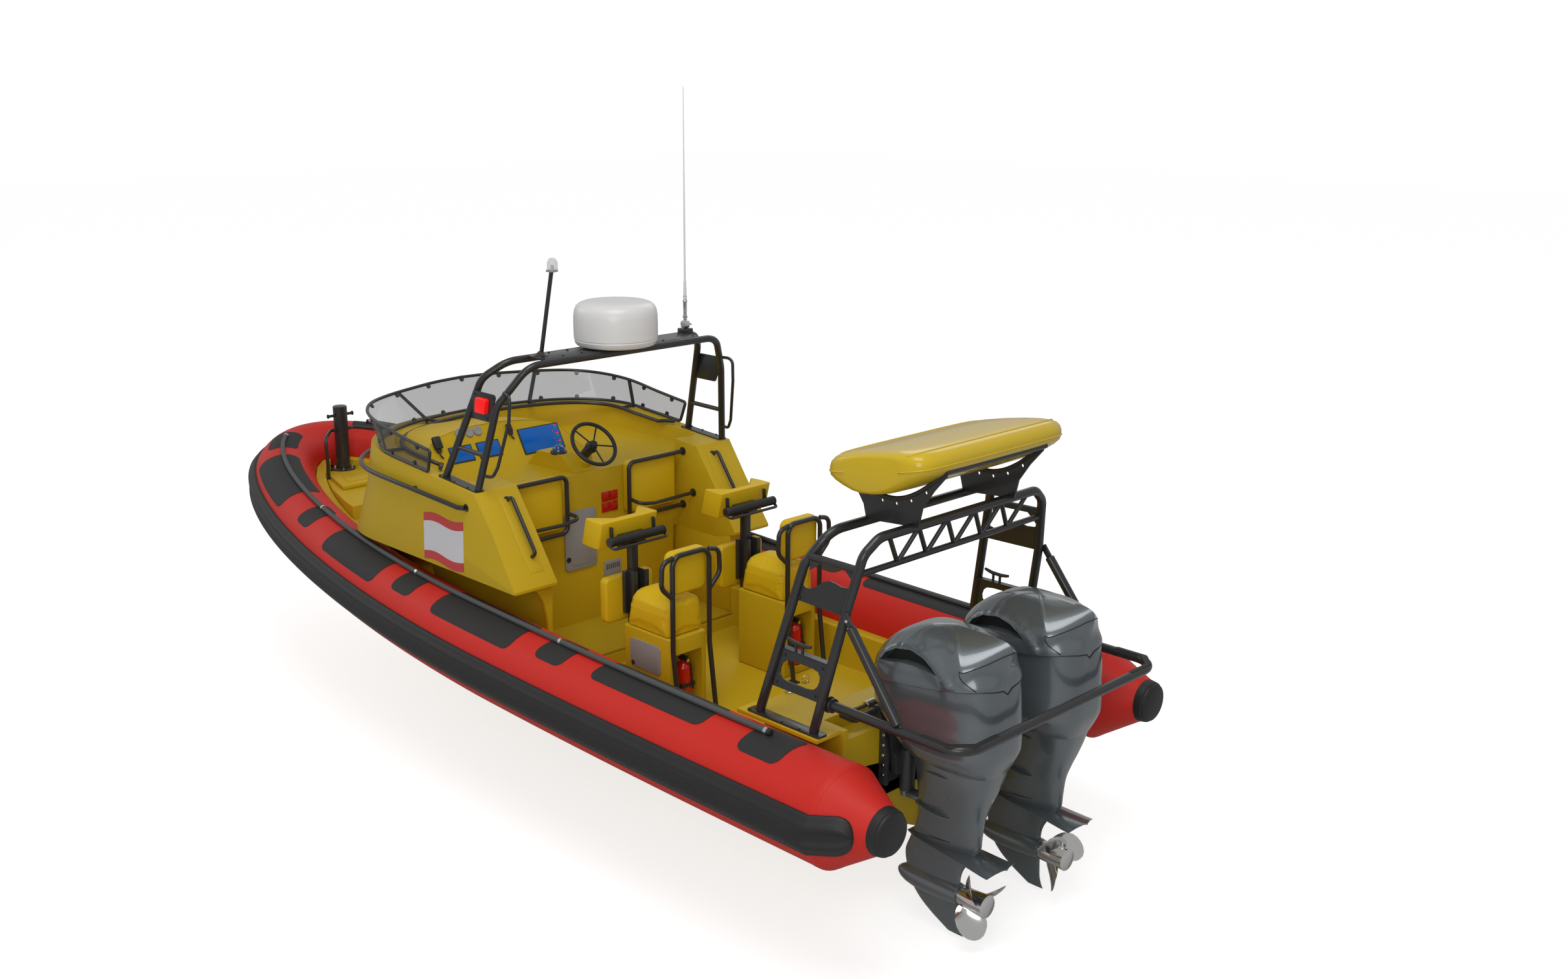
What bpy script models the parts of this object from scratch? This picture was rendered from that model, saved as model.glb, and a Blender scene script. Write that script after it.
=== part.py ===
"""Inshore rescue boat: rigid inflatable hull, console, seats, frames and twin outboards.

Units are metres. +X is the bow, +Y is port, +Z is up. The origin is on the centreline,
at the transom's aft face and at the height of the waterline.
"""
import math

import bmesh
import bpy
from mathutils import Matrix, Vector

GAP = 0.0003

# Inflatable collar
TUBE_Y = 1.17
TUBE_Z = 0.175
TUBE_R = 0.28
BOW_TUBE_R = 0.24
BEND_X = 2.63
BOW_X = 6.96
BOW_SQUARENESS = 2.1
SHEER_START_X = -0.24
SHEER_RISE = 0.435
SHEER_POWER = 2.58
CONE_X = -0.35
CONE_END_X = -0.64
CONE_END_R = 0.125
CONE_END_Y = 1.187
CONE_END_Z = 0.21
TUBE_SIDES = 16

# Hull
KEEL_Z = -0.44
STEM_RISE = 0.80
STEM_X = 6.72
KEEL_BEND_X = 2.6
CHINE_Z = -0.06
CHINE_RISE = 0.47
CHINE_BEND_X = 0.8
CHINE_SHARE = 0.97
CHINE_TAPER = 0.037
CHINE_TAPER_X = 4.0
CHINE_FLAT = 0.03
BOTTOM_BELLY = 0.012
SIDE_THICK = 0.09
NARROWEST_TUB = 0.3
COAMING_LAP = 0.02
SOLE_Z = -0.06
FLOOR_STEP_X = 2.55
FLOOR_Z = 0.05
FLOOR_BASE_Z = 0.03
TRANSOM_TOP_Z = 0.36
AFT_DECK_Z = 0.42
AFT_DECK_X = 0.60
AFT_DECK_Y = 0.985
LINER_THICK = 0.012
LOCKER_X = (5.90, 6.27)
LOCKER_Y = 0.37
LOCKER_FRONT_Y = 0.27
LOCKER_Z = 0.52
LID_THICK = 0.035

# Console
CONSOLE_FRONT_X = 4.62
WALL_Y = 0.785
COAMING_Y = 1.075
SKIRT_Y = 1.12
SKIRT_Z = 0.63
DASH_FACE_X = 3.15
DASH_Z = 1.13
COAMING_Z = 1.22

# Engines
ENGINE_Y = 0.373
TILT_X = 0.035
TILT_Z = 0.445
STEER_X = -0.10
SHAFT_Z = -0.52
PROP_X = -0.5104
PROP_R = 0.20
BLADE_ROWS = ((0.045, 0.10, 62, 0.008), (0.08, 0.135, 56, 0.006), (0.11, 0.150, 50, 0.005), (0.14, 0.150, 45, 0.004),
              (0.165, 0.135, 41, 0.0035), (0.185, 0.10, 38, 0.003), (PROP_R, 0.045, 36, 0.0025))
SWIVEL_LOW = -0.02
SWIVEL_TOP = 0.225
COWL_LOW_Z = 0.50
TILT_TUBE_R = 0.019
RAM_X = 0.125
RAM_Z = 0.44

# Frames
PIPE = 0.024
ARCH_PIPE = 0.027


def clear_scene():
    for obj in list(bpy.data.objects):
        bpy.data.objects.remove(obj, do_unlink=True)


def material(name, colour, roughness=0.5, metallic=0.0, alpha=1.0):
    mat = bpy.data.materials.new(name)
    mat.use_nodes = True
    shader = mat.node_tree.nodes["Principled BSDF"]
    shader.inputs["Base Color"].default_value = (*colour, 1.0)
    shader.inputs["Roughness"].default_value = roughness
    shader.inputs["Metallic"].default_value = metallic
    shader.inputs["Alpha"].default_value = alpha
    return mat


LOOKS = {
    "yellow": ((0.62, 0.46, 0.03), 0.4, 0.0),
    "pad": ((0.75, 0.55, 0.02), 0.6, 0.0),
    "red": ((0.55, 0.03, 0.02), 0.55, 0.0),
    "black_rubber": ((0.02, 0.02, 0.02), 0.7, 0.0),
    "hose": ((0.08, 0.09, 0.09), 0.6, 0.0),
    "black_paint": ((0.02, 0.022, 0.022), 0.35, 0.3),
    "plastic": ((0.03, 0.03, 0.03), 0.5, 0.0),
    "grey_plastic": ((0.25, 0.25, 0.27), 0.5, 0.0),
    "white": ((0.8, 0.8, 0.8), 0.4, 0.0),
    "engine_grey": ((0.10, 0.12, 0.13), 0.25, 0.6),
    "steel": ((0.6, 0.6, 0.6), 0.2, 1.0),
    "glass": ((0.05, 0.05, 0.05), 0.1, 0.0, 0.4),
    "signal_red": ((0.7, 0.01, 0.01), 0.35, 0.0),
}


def finish(obj, look):
    obj.data.materials.clear()
    obj.data.materials.append(material(obj.name + "_" + look, *LOOKS[look]))
    obj.data.shade_smooth()
    obj.data.set_sharp_from_angle(angle=math.radians(35))
    return obj


def from_bmesh(name, bm):
    bmesh.ops.recalc_face_normals(bm, faces=bm.faces)
    mesh = bpy.data.meshes.new(name)
    bm.to_mesh(mesh)
    bm.free()
    obj = bpy.data.objects.new(name, mesh)
    bpy.context.scene.collection.objects.link(obj)
    return obj


def loft(name, rings, closed=False):
    """Skin rings of equal length, in order, with a flat cap at each end."""
    bm = bmesh.new()
    rows = [[bm.verts.new(p) for p in ring] for ring in rings]
    pairs = list(zip(rows, rows[1:]))
    if closed:
        pairs.append((rows[-1], rows[0]))
    count = len(rows[0])
    for a, b in pairs:
        for i in range(count):
            j = (i + 1) % count
            bm.faces.new((a[i], a[j], b[j], b[i]))
    if not closed:
        bm.faces.new(rows[0])
        bm.faces.new(rows[-1])
    return from_bmesh(name, bm)


def box(name, low, high):
    x0, y0, z0 = low
    x1, y1, z1 = high
    ring = [(x0, y0), (x1, y0), (x1, y1), (x0, y1)]
    return loft(name, [[(x, y, z0) for x, y in ring], [(x, y, z1) for x, y in ring]])


def prism(name, outline, axis, low, high):
    """Extrude a 2-D outline along one axis; the outline's order is the other two axes' order."""
    def place(p, t):
        if axis == "x":
            return (t, p[0], p[1])
        if axis == "y":
            return (p[0], t, p[1])
        return (p[0], p[1], t)
    return loft(name, [[place(p, low) for p in outline], [place(p, high) for p in outline]])


def rounded(points, radius, steps=4):
    """Replace a polyline's inner corners with arcs of the given radius."""
    pts = [Vector(p) for p in points]
    out = [pts[0]]
    for before, corner, after in zip(pts, pts[1:], pts[2:]):
        a = (before - corner).normalized()
        b = (after - corner).normalized()
        angle = a.angle(b)
        if angle > math.radians(172):
            out.append(corner)
            continue
        reach = radius / math.tan(angle / 2)
        reach = min(reach, 0.45 * (before - corner).length, 0.45 * (after - corner).length)
        r = reach * math.tan(angle / 2)
        middle = corner + (a + b).normalized() * (r / math.sin(angle / 2))
        start = corner + a * reach - middle
        end = corner + b * reach - middle
        turn = start.angle(end)
        for k in range(steps + 1):
            t = k / steps
            first = math.sin((1 - t) * turn) / math.sin(turn)
            second = math.sin(t * turn) / math.sin(turn)
            out.append(middle + start * first + end * second)
    out.append(pts[-1])
    return out


def pipe(name, points, radius, sides=8, closed=False):
    """A round bar along a polyline, with its section carried without twist."""
    pts = [Vector(p) for p in points]
    count = len(pts)
    tangents = []
    for i in range(count):
        if closed:
            step = pts[(i + 1) % count] - pts[i - 1]
        else:
            step = pts[min(i + 1, count - 1)] - pts[max(i - 1, 0)]
        tangents.append(step.normalized())
    side = tangents[0].orthogonal().normalized()
    rings = []
    for i, (p, t) in enumerate(zip(pts, tangents)):
        side = (side - t * side.dot(t)).normalized()
        up = t.cross(side)
        ring = []
        for k in range(sides):
            a = 2 * math.pi * (k + 0.5) / sides
            ring.append(p + side * (radius * math.cos(a)) + up * (radius * math.sin(a)))
        rings.append(ring)
    return loft(name, rings, closed)


def disc(name, start, end, radius, sides=16, end_radius=None):
    """A cylinder or cone between two points."""
    a, b = Vector(start), Vector(end)
    t = (b - a).normalized()
    side = t.orthogonal().normalized()
    up = t.cross(side)
    last = radius if end_radius is None else end_radius
    rings = []
    for centre, r in ((a, radius), (b, last)):
        ring = []
        for k in range(sides):
            ang = 2 * math.pi * k / sides
            ring.append(centre + side * (r * math.cos(ang)) + up * (r * math.sin(ang)))
        rings.append(ring)
    return loft(name, rings)


def evaluated(obj):
    graph = bpy.context.evaluated_depsgraph_get()
    graph.update()
    return bpy.data.meshes.new_from_object(obj.evaluated_get(graph))


def combine(base, others, operation):
    for other in others:
        mod = base.modifiers.new("Boolean", "BOOLEAN")
        mod.operation = operation
        mod.solver = "EXACT"
        mod.object = other
    mesh = evaluated(base)
    base.modifiers.clear()
    base.data = mesh
    for other in others:
        bpy.data.objects.remove(other, do_unlink=True)
    return base


def fuse(base, *others):
    return combine(base, others, "UNION")


def cut(base, *others):
    return combine(base, others, "DIFFERENCE")


def mirrored(obj, name):
    """A copy of a piece on the other side of the centreline."""
    mesh = obj.data.copy()
    mesh.transform(Matrix.Scale(-1, 4, Vector((0, 1, 0))))
    mesh.flip_normals()
    twin = bpy.data.objects.new(name, mesh)
    bpy.context.scene.collection.objects.link(twin)
    return twin


def set_origin(obj, point):
    obj.data.transform(Matrix.Translation(-Vector(point)))
    obj.location = point
    return obj


# Collar path

def sheer(x):
    reach = max(0.0, (x - SHEER_START_X) / (BOW_X - SHEER_START_X))
    return TUBE_Z + SHEER_RISE * reach ** SHEER_POWER


def tube_radius(x):
    reach = min(1.0, max(0.0, (x - BEND_X) / (BOW_X - BEND_X)))
    return TUBE_R + (BOW_TUBE_R - TUBE_R) * reach


def collar_stations():
    """Centre, outboard direction and radius of each ring, from the port stern to the bow."""
    path = [(CONE_END_X, CONE_END_Y, CONE_END_Z, CONE_END_R)]
    for x in (CONE_X, 0.0, 0.6, 1.2, 1.8, 2.3):
        path.append((x, TUBE_Y, sheer(x), TUBE_R))
    turns = 16
    for k in range(turns + 1):
        a = 0.5 * math.pi * k / turns
        x = BEND_X + (BOW_X - BEND_X) * math.sin(a) ** (2 / BOW_SQUARENESS)
        y = TUBE_Y * max(0.0, math.cos(a)) ** (2 / BOW_SQUARENESS)
        path.append((x, y if k < turns else 0.0, sheer(x), tube_radius(x)))
    centres = [Vector(p[:3]) for p in path]
    stations = []
    for i, p in enumerate(path):
        if i == len(path) - 1:
            step = Vector((0, -1, 0))
        else:
            step = centres[min(i + 1, len(path) - 1)] - centres[max(i - 1, 0)]
        if i < 7:
            step = Vector((1, 0, 0))
        out = Vector((-step.y, step.x, 0)).normalized()
        stations.append((centres[i], out, p[3]))
    return stations


def both_sides(stations):
    flip = Vector((1, -1, 1))
    other = [(c * flip, n * flip, r) for c, n, r in reversed(stations[:-1])]
    return stations + other


def polar(station, angle, extra=0.0):
    """A point on a ring: angle 0 is outboard, 90 degrees is up."""
    centre, out, radius = station
    r = radius + extra
    return centre + out * (r * math.cos(angle)) + Vector((0, 0, r * math.sin(angle)))


PORT_STATIONS = collar_stations()
STATIONS = both_sides(PORT_STATIONS)


def inner_half_breadth(x):
    """The collar's inboard edge and centre height at one place along the boat."""
    edge = [polar(s, math.pi) for s in PORT_STATIONS[1:]]
    for a, b in zip(edge, edge[1:]):
        if a.x <= x <= b.x:
            t = (x - a.x) / max(b.x - a.x, 1e-9)
            return a.y + (b.y - a.y) * t
    return edge[-1].y


def make_collar():
    rings = []
    for station in STATIONS:
        ring = [polar(station, 2 * math.pi * k / TUBE_SIDES) for k in range(TUBE_SIDES)]
        rings.append(ring)
    flip = Vector((1, -1, 1))
    for x, scale in ((-0.675, 0.94), (-0.70, 0.72)):
        centre = Vector((x, CONE_END_Y, CONE_END_Z))
        ring = []
        for k in range(TUBE_SIDES):
            a = 2 * math.pi * k / TUBE_SIDES
            r = CONE_END_R * scale
            ring.append(centre + Vector((0, r * math.cos(a), r * math.sin(a))))
        rings.insert(0, ring)
        rings.append([p * flip for p in ring])
    return finish(loft("collar", rings), "red")


def make_strake():
    """A wide rubbing fender with two ridges, round the whole outside of the collar."""
    step = 2 * math.pi / TUBE_SIDES
    profile = [(-step, GAP), (-step, 0.018), (-0.62 * step, 0.030), (-0.40 * step, 0.045),
               (-0.12 * step, 0.030), (0.12 * step, 0.030), (0.40 * step, 0.045),
               (0.62 * step, 0.030), (step, 0.018), (step, GAP), (0.0, GAP)]
    rings = []
    stations = both_sides(PORT_STATIONS)
    first = PORT_STATIONS[0]
    second = PORT_STATIONS[1]
    t = 0.22
    tip = (first[0].lerp(second[0], t), Vector((0, 1, 0)), first[2] + (second[2] - first[2]) * t)
    flip = Vector((1, -1, 1))
    stations[0] = tip
    stations[-1] = (tip[0] * flip, tip[1] * flip, tip[2])
    for station in stations:
        rings.append([polar(station, a, extra) for a, extra in profile])
    return finish(loft("rub_strake", rings), "black_rubber")


HOSE_R = 0.018


def make_hoses():
    pts = []
    for station in PORT_STATIONS[2:19]:
        pts.append(polar(station, math.radians(90), HOSE_R * 0.94))
    pts[0] = pts[0] + (pts[1] - pts[0]) * 0.28
    port = pipe("grab_hose_port", pts, HOSE_R, 8)
    star = mirrored(port, "grab_hose_starboard")
    return [finish(port, "hose"), finish(star, "hose")]


# Hull

HULL_X = (0.0, 0.8, 1.6, 2.545, 2.55, 3.2, 3.9, 4.16, 4.5, 5.1, 5.6, 6.0, 6.35, 6.55, 6.68)
HULL_SOLES = (SOLE_Z, SOLE_Z, SOLE_Z, SOLE_Z, FLOOR_BASE_Z, FLOOR_BASE_Z, FLOOR_BASE_Z, FLOOR_BASE_Z, 0.13, 0.19, 0.25,
              0.30, 0.35, 0.41, 0.45)


def keel_z(x):
    reach = max(0.0, (x - KEEL_BEND_X) / (STEM_X - KEEL_BEND_X))
    return KEEL_Z + STEM_RISE * reach ** 2.8


def chine_z(x):
    reach = max(0.0, (x - CHINE_BEND_X) / (STEM_X - CHINE_BEND_X))
    return CHINE_Z + CHINE_RISE * reach ** 2.2


def hull_side(x):
    return max(inner_half_breadth(x) - 2 * GAP, 0.01)


def tub_side(x):
    """Half-breadth of the hull's open tub at a station."""
    side = hull_side(x)
    return max(side - SIDE_THICK, side * NARROWEST_TUB)


def section(x, half):
    """A closed ring across the boat from its port half, which starts and ends on the centreline."""
    return [(x, y, z) for y, z in half] + [(x, -y, z) for y, z in reversed(half[1:-1])]


def make_hull():
    """Deep-vee bottom up to the underside of the deck liner."""
    rings = []
    for x, sole in zip(HULL_X, HULL_SOLES):
        side = hull_side(x)
        chine = side * (CHINE_SHARE - CHINE_TAPER * max(0.0, x - CHINE_TAPER_X))
        keel = keel_z(x)
        low = chine_z(x)
        mid_z = keel + (low - keel) * 0.5
        top = sole - LINER_THICK
        knuckle = min(low + CHINE_FLAT, top - 0.004)
        low = min(low, knuckle - 0.004)
        rings.append(section(x, [(0.0, keel), (chine * 0.52, mid_z + BOTTOM_BELLY), (chine, low), (side, knuckle),
                                 (side, top), (0.0, top)]))
    return finish(loft("hull", rings), "yellow")


def make_liner():
    """Deck liner's sole, with its side walls as two nodes that stand against the collar."""
    sole_rings, wall_rings = [], []
    for x, sole in zip(HULL_X, HULL_SOLES):
        side = hull_side(x)
        inner = tub_side(x)
        low = sole - LINER_THICK + GAP
        top = sheer(x) + COAMING_LAP
        edge = inner - GAP
        sole_rings.append([(x, edge, low), (x, edge, sole), (x, -edge, sole), (x, -edge, low)])
        wall_rings.append([(x, side, low), (x, side, top), (x, inner, top), (x, inner, low)])
    finish(loft("deck_liner", sole_rings), "yellow")
    wall = finish(loft("side_liner_port", wall_rings), "yellow")
    mirrored(wall, "side_liner_starboard")


def make_floor():
    """Raised cockpit floor under the console and in front of the seats."""
    outline = [(x, hull_inside(x) - 2 * GAP) for x in (FLOOR_STEP_X + 0.002, 3.2, 3.9, 4.15)]
    outline += [(x, -y) for x, y in reversed(outline)]
    return finish(prism("raised_floor", outline, "z", FLOOR_BASE_Z + GAP, FLOOR_Z), "yellow")


def make_aft_deck():
    inner = tub_side(0.0) - GAP
    deck = box("aft_deck", (0.0, -inner, SOLE_Z + GAP), (AFT_DECK_X, inner, AFT_DECK_Z - 0.05))
    top = box("aft_deck_top", (0.0, -0.80, TRANSOM_TOP_Z), (AFT_DECK_X, 0.80, AFT_DECK_Z))
    wings = []
    for sign in (1, -1):
        y0, y1 = sorted((sign * 0.78, sign * AFT_DECK_Y))
        wings.append(box("aft_wing", (0.02, y0, AFT_DECK_Z - 0.022), (AFT_DECK_X + 0.03, y1, AFT_DECK_Z)))
    well = box("well", (-0.1, -0.76, TRANSOM_TOP_Z + 0.002), (0.18, 0.76, 1.0))
    trough = box("trough", (0.06, -0.76, TRANSOM_TOP_Z - 0.03), (0.18, 0.76, 1.0))
    footwell = box("footwell", (0.32, -0.55, 0.12), (1.0, 0.55, 1.0))
    return finish(cut(fuse(deck, top, *wings), well, trough, footwell), "yellow")


def hull_inside(x):
    """Half-breadth of the tub between the hull's own stations."""
    for a, b in zip(HULL_X, HULL_X[1:]):
        if a <= x <= b:
            return tub_side(a) + (tub_side(b) - tub_side(a)) * (x - a) / (b - a)
    return tub_side(HULL_X[-1])


def make_foredeck():
    """Foredeck between the bow tubes, with a step up to an open locker."""
    rings = []
    for x, low, top in ((4.80, 0.345, 0.40), (5.1, 0.345, 0.40), (5.42, 0.345, 0.40), (5.43, 0.345, 0.52),
                        (5.6, 0.345, 0.52), (6.0, 0.345, 0.52), (6.35, 0.36, 0.52), (6.53, 0.42, 0.52)):
        y = hull_inside(x) - GAP
        rings.append([(x, y, low), (x, y, top), (x, -y, top), (x, -y, low)])
    deck = loft("foredeck", rings)
    lx0, lx1 = LOCKER_X
    locker = box("locker_cut", (lx0 + 0.03, -LOCKER_FRONT_Y + 0.02, 0.385),
                 (lx1 - 0.03, LOCKER_FRONT_Y - 0.02, 0.7))
    return finish(cut(deck, locker), "yellow")


def make_lid():
    lx0, lx1 = LOCKER_X
    outline = [(lx0, -LOCKER_Y), (lx0, LOCKER_Y), (lx1, LOCKER_FRONT_Y), (lx1, -LOCKER_FRONT_Y)]
    lid = prism("locker_lid", outline, "z", LOCKER_Z + GAP, LOCKER_Z + LID_THICK)
    return set_origin(finish(lid, "yellow"), (lx1, 0, LOCKER_Z + LID_THICK))


def make_samson_post():
    x = 6.53
    post = disc("samson_post", (x, 0, 0.5203), (x, 0, 1.07), 0.058, 16)
    flange = disc("flange", (x, 0, 0.5203), (x, 0, 0.535), 0.10, 16)
    pin = disc("pin", (x, -0.12, 0.99), (x, 0.12, 0.99), 0.012, 8)
    parts = [post, flange, pin]
    for sign in (1, -1):
        path = [(x, sign * 0.03, 0.86), (x, sign * 0.10, 0.87), (x - 0.20, sign * 0.26, 0.86),
                (x - 0.22, sign * 0.265, 0.60), (x - 0.22, sign * 0.265, LOCKER_Z + GAP)]
        parts.append(pipe("stay", rounded(path, 0.06), 0.014, 8))
    return finish(fuse(*parts), "black_paint")


# Console

def console_plan(front_x, half, aft_x, radius=0.45, steps=5):
    """Half-rounded plan outline, from the port aft corner round the bow end to starboard."""
    points = [(aft_x, half)]
    cx, cy = front_x - radius, half - radius
    for k in range(steps + 1):
        a = math.pi / 2 * (1 - k / steps)
        points.append((cx + radius * math.cos(a), cy + radius * math.sin(a)))
    for x, y in reversed(points[:]):
        points.append((x, -y))
    return points


def coaming_top(x):
    return COAMING_Z + 0.12 * max(0.0, (x - 2.9) / (CONSOLE_FRONT_X - 2.9))


AFT_EDGE = ((SKIRT_Z + 0.01, 2.50), (0.98, 2.74), (COAMING_Z + 0.0014, 2.92))


def aft_edge(z):
    """The wings' aft edge rakes forward as it rises; gives its x and its outward normal."""
    for (z0, x0), (z1, x1) in zip(AFT_EDGE, AFT_EDGE[1:]):
        if z <= z1:
            break
    normal = Vector((-(z1 - z0), 0, x1 - x0)).normalized()
    return x0 + (x1 - x0) * (z - z0) / (z1 - z0), normal


def make_console():
    levels = ((FLOOR_Z + GAP, 0.70, 4.10, 2.72), (0.30, 0.76, 4.30, 2.72), (0.585, 0.77, 4.42, 2.72),
              (AFT_EDGE[0][0], SKIRT_Y, 4.86, AFT_EDGE[0][1]), (AFT_EDGE[1][0], 1.09, 4.72, AFT_EDGE[1][1]))
    rings = []
    for z, half, front, aft in levels:
        rings.append([(x, y, z) for x, y in console_plan(front, half, aft, min(0.5, half * 0.6))])
    top = console_plan(CONSOLE_FRONT_X, COAMING_Y, AFT_EDGE[2][1], 0.5)
    rings.append([(x, y, coaming_top(x)) for x, y in top])
    body = loft("console", rings)
    inner = console_plan(CONSOLE_FRONT_X - 0.10, COAMING_Y - 0.10, DASH_FACE_X, 0.42)
    dash = loft("dash_cut", [[(x, y, DASH_Z + 0.06 * (x - DASH_FACE_X)) for x, y in inner],
                             [(x, y, 1.6) for x, y in inner]])
    well = box("well_cut", (2.0, -WALL_Y, -0.2), (DASH_FACE_X, WALL_Y, 1.6))
    locker = box("locker_cut", (DASH_FACE_X - 0.01, -0.02, 0.46), (DASH_FACE_X + 0.42, 0.225, 0.86))
    body = cut(body, dash, well, locker)
    fairing = prism("fairing", [(3.12, 1.01), (3.12, 1.13), (3.228, 1.25), (3.45, 1.25), (3.62, 1.14), (3.5, 1.0)],
                    "y", -0.12, 0.17)
    return finish(fuse(body, fairing), "yellow")


def make_console_hatch():
    x1 = DASH_FACE_X - GAP
    panel = box("console_hatch", (x1 - 0.014, -0.035, 0.445), (x1, 0.240, 0.875))
    return set_origin(finish(panel, "grey_plastic"), (x1 - 0.014, -0.035, 0.66))


SCREEN_R = 0.012


def screen_curve(front_x, half, aft_x, rise, base, radius=0.5, steps=7):
    """Port half of a plan curve with its heights, from aft to the centreline."""
    points = [(aft_x, half)]
    cx, cy = front_x - radius, half - 0.05 - radius
    points.append((aft_x + 0.35 * (cx - aft_x), half - 0.015))
    for k in range(steps + 1):
        a = math.pi / 2 * (1 - k / steps)
        points.append((cx + radius * math.cos(a), cy + radius * math.sin(a)))
    points.append((front_x, 0.0))
    out = []
    for x, y in points:
        t = max(0.0, min(1.0, (x - aft_x) / (front_x - aft_x)))
        out.append(Vector((x, y, base + rise * t)))
    return out


def full_curve(half):
    flip = Vector((1, -1, 1))
    return half + [p * flip for p in reversed(half[:-1])]


SCREEN_LOW = full_curve(screen_curve(4.56, 1.07, 3.46, 0.095, 1.285))
SCREEN_TOP = full_curve(screen_curve(4.78, 1.13, 3.43, 0.135, 1.425))


def make_screen():
    rings = []
    lows, tops = list(SCREEN_LOW), list(SCREEN_TOP)
    for line in (lows, tops):
        line[0] = line[0].lerp(line[1], (SCREEN_R + 0.003) / (line[1] - line[0]).length)
        line[-1] = line[-1].lerp(line[-2], (SCREEN_R + 0.003) / (line[-2] - line[-1]).length)
    last = len(lows) - 1
    for i, (low, top) in enumerate(zip(lows, tops)):
        run = (top - low).normalized()
        before, after = max(i - 1, 0), min(i + 1, last)
        slant_low = run.cross((lows[after] - lows[before]).normalized()).length
        slant_top = run.cross((tops[after] - tops[before]).normalized()).length
        a = low + run * ((SCREEN_R + 0.0015) / slant_low)
        b = top - run * ((SCREEN_R + 0.0015) / slant_top)
        out = Vector((a.x - 3.6, a.y, 0)).normalized() * 0.0025
        rings.append([a - out, b - out, b + out, a + out])
    return finish(loft("windscreen", rings), "glass")


def make_screen_frame():
    low = list(SCREEN_LOW)
    top = list(SCREEN_TOP)
    loop = top + [p for p in reversed(low)]
    frame = pipe("windscreen_frame", loop, SCREEN_R, 6, closed=True)
    bars = []
    rail = []
    for p in SCREEN_LOW[1:-1]:
        centre = Vector((3.6, 0, p.z))
        inward = (Vector((centre.x, centre.y * 0, p.z)) - p).normalized()
        rail.append(p + inward * 0.10 + Vector((0, 0, 0.005)))
    rail_pipe = pipe("dash_rail", rail, 0.014, 8)
    for k in (2, 6, 14, 18):
        k = min(k, len(SCREEN_LOW) - 2)
        p = SCREEN_LOW[k]
        q = rail[k - 1]
        bars.append(pipe("link", [p, q], 0.011, 6))
        t = SCREEN_TOP[k]
        normal = (t - p).cross(SCREEN_LOW[k + 1] - SCREEN_LOW[k - 1]).normalized() * 0.0165
        if normal.z < 0:
            normal = -normal
        bars.append(pipe("upright", [p + normal, t + normal], 0.011, 6))
        foot = Vector((p.x, p.y, coaming_top(p.x) + 0.0011))
        bars.append(pipe("foot", [p, foot], 0.010, 6))
    return finish(fuse(frame, rail_pipe, *bars), "black_paint")


def make_console_rail():
    """One rail that wraps round the console's outside, on flanged stand-offs."""
    half = [(3.02, 1.105, 1.11)]
    for x, y in console_plan(4.77, 1.145, 3.06, 0.52, 6)[:8]:
        half.append((x, y, 1.11 + 0.04 * (x - 3.0)))
    path = half + [(x, -y, z) for x, y, z in reversed(half)]
    rail = pipe("console_rail", path, 0.016, 8)
    posts = []
    for x, y, z, px, py in ((3.60, 1.145, 1.134, 3.60, 1.0836), (4.77, 0.30, 1.181, 4.6674, 0.30)):
        for sign in (1, -1):
            posts.append(pipe("post", [(x, sign * y, z), (px, sign * py, z)], 0.012, 8))
    return finish(fuse(rail, *posts), "black_paint")


def make_wheel():
    centre = Vector((3.10, 0.0, 1.335))
    tilt = math.radians(42)
    axis = Vector((-math.cos(tilt), 0, math.sin(tilt)))
    side = Vector((0, 1, 0))
    up = axis.cross(side).normalized()
    ring = []
    for k in range(24):
        a = 2 * math.pi * (k + 0.37) / 24
        ring.append(centre + side * (0.165 * math.cos(a)) + up * (0.165 * math.sin(a)))
    wheel = pipe("steering_wheel", ring, 0.014, 6, closed=True)
    hub = disc("hub", centre - axis * 0.1515, centre + axis * 0.012, 0.035, 12, 0.028)
    spokes = []
    for k in range(5):
        a = math.radians(90 + 72 * k)
        end = centre + side * (0.158 * math.cos(a)) + up * (0.158 * math.sin(a))
        spokes.append(pipe("spoke", [centre - axis * 0.013, end], 0.008, 6))
    wheel = fuse(wheel, hub, *spokes)
    return set_origin(finish(wheel, "plastic"), centre)


def make_pad_panels():
    made = []
    for sign, side in ((1, "port"), (-1, "starboard")):
        y0, y1 = sorted((sign * 0.285, sign * 0.735))
        pad = box("dash_pad_" + side, (3.085, y0, 0.78), (3.15 - GAP, y1, 1.16))
        made.append(finish(pad, "pad"))
        path = rounded([(3.06, sign * 0.7843, 1.16), (3.06, sign * 0.275, 1.16), (3.06, sign * 0.275, 0.76),
                        (3.06, sign * 0.7843, 0.76)], 0.05)
        frame = pipe("pad_frame_" + side, path, 0.016, 8)
        loop = rounded([(3.06, sign * 0.275, 0.90), (2.93, sign * 0.262, 0.89), (2.93, sign * 0.40, 0.87),
                        (2.95, sign * 0.7843, 0.87)], 0.05)
        made.append(finish(fuse(frame, pipe("loop", loop, 0.013, 8)), "black_paint"))
    return made


def make_aft_rails():
    made = []
    for sign, side in ((1, "port"), (-1, "starboard")):
        ends = []
        for z in (1.15, 0.82):
            x, normal = aft_edge(z)
            foot = Vector((x, sign * 0.90, z))
            ends.append((foot + normal * GAP, foot + normal * 0.06))
        path = [ends[0][0], ends[0][1], ends[1][1], ends[1][0]]
        made.append(finish(pipe("aft_rail_" + side, rounded(path, 0.03), 0.013, 8), "black_paint"))
    return made


# Radar arch

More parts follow.
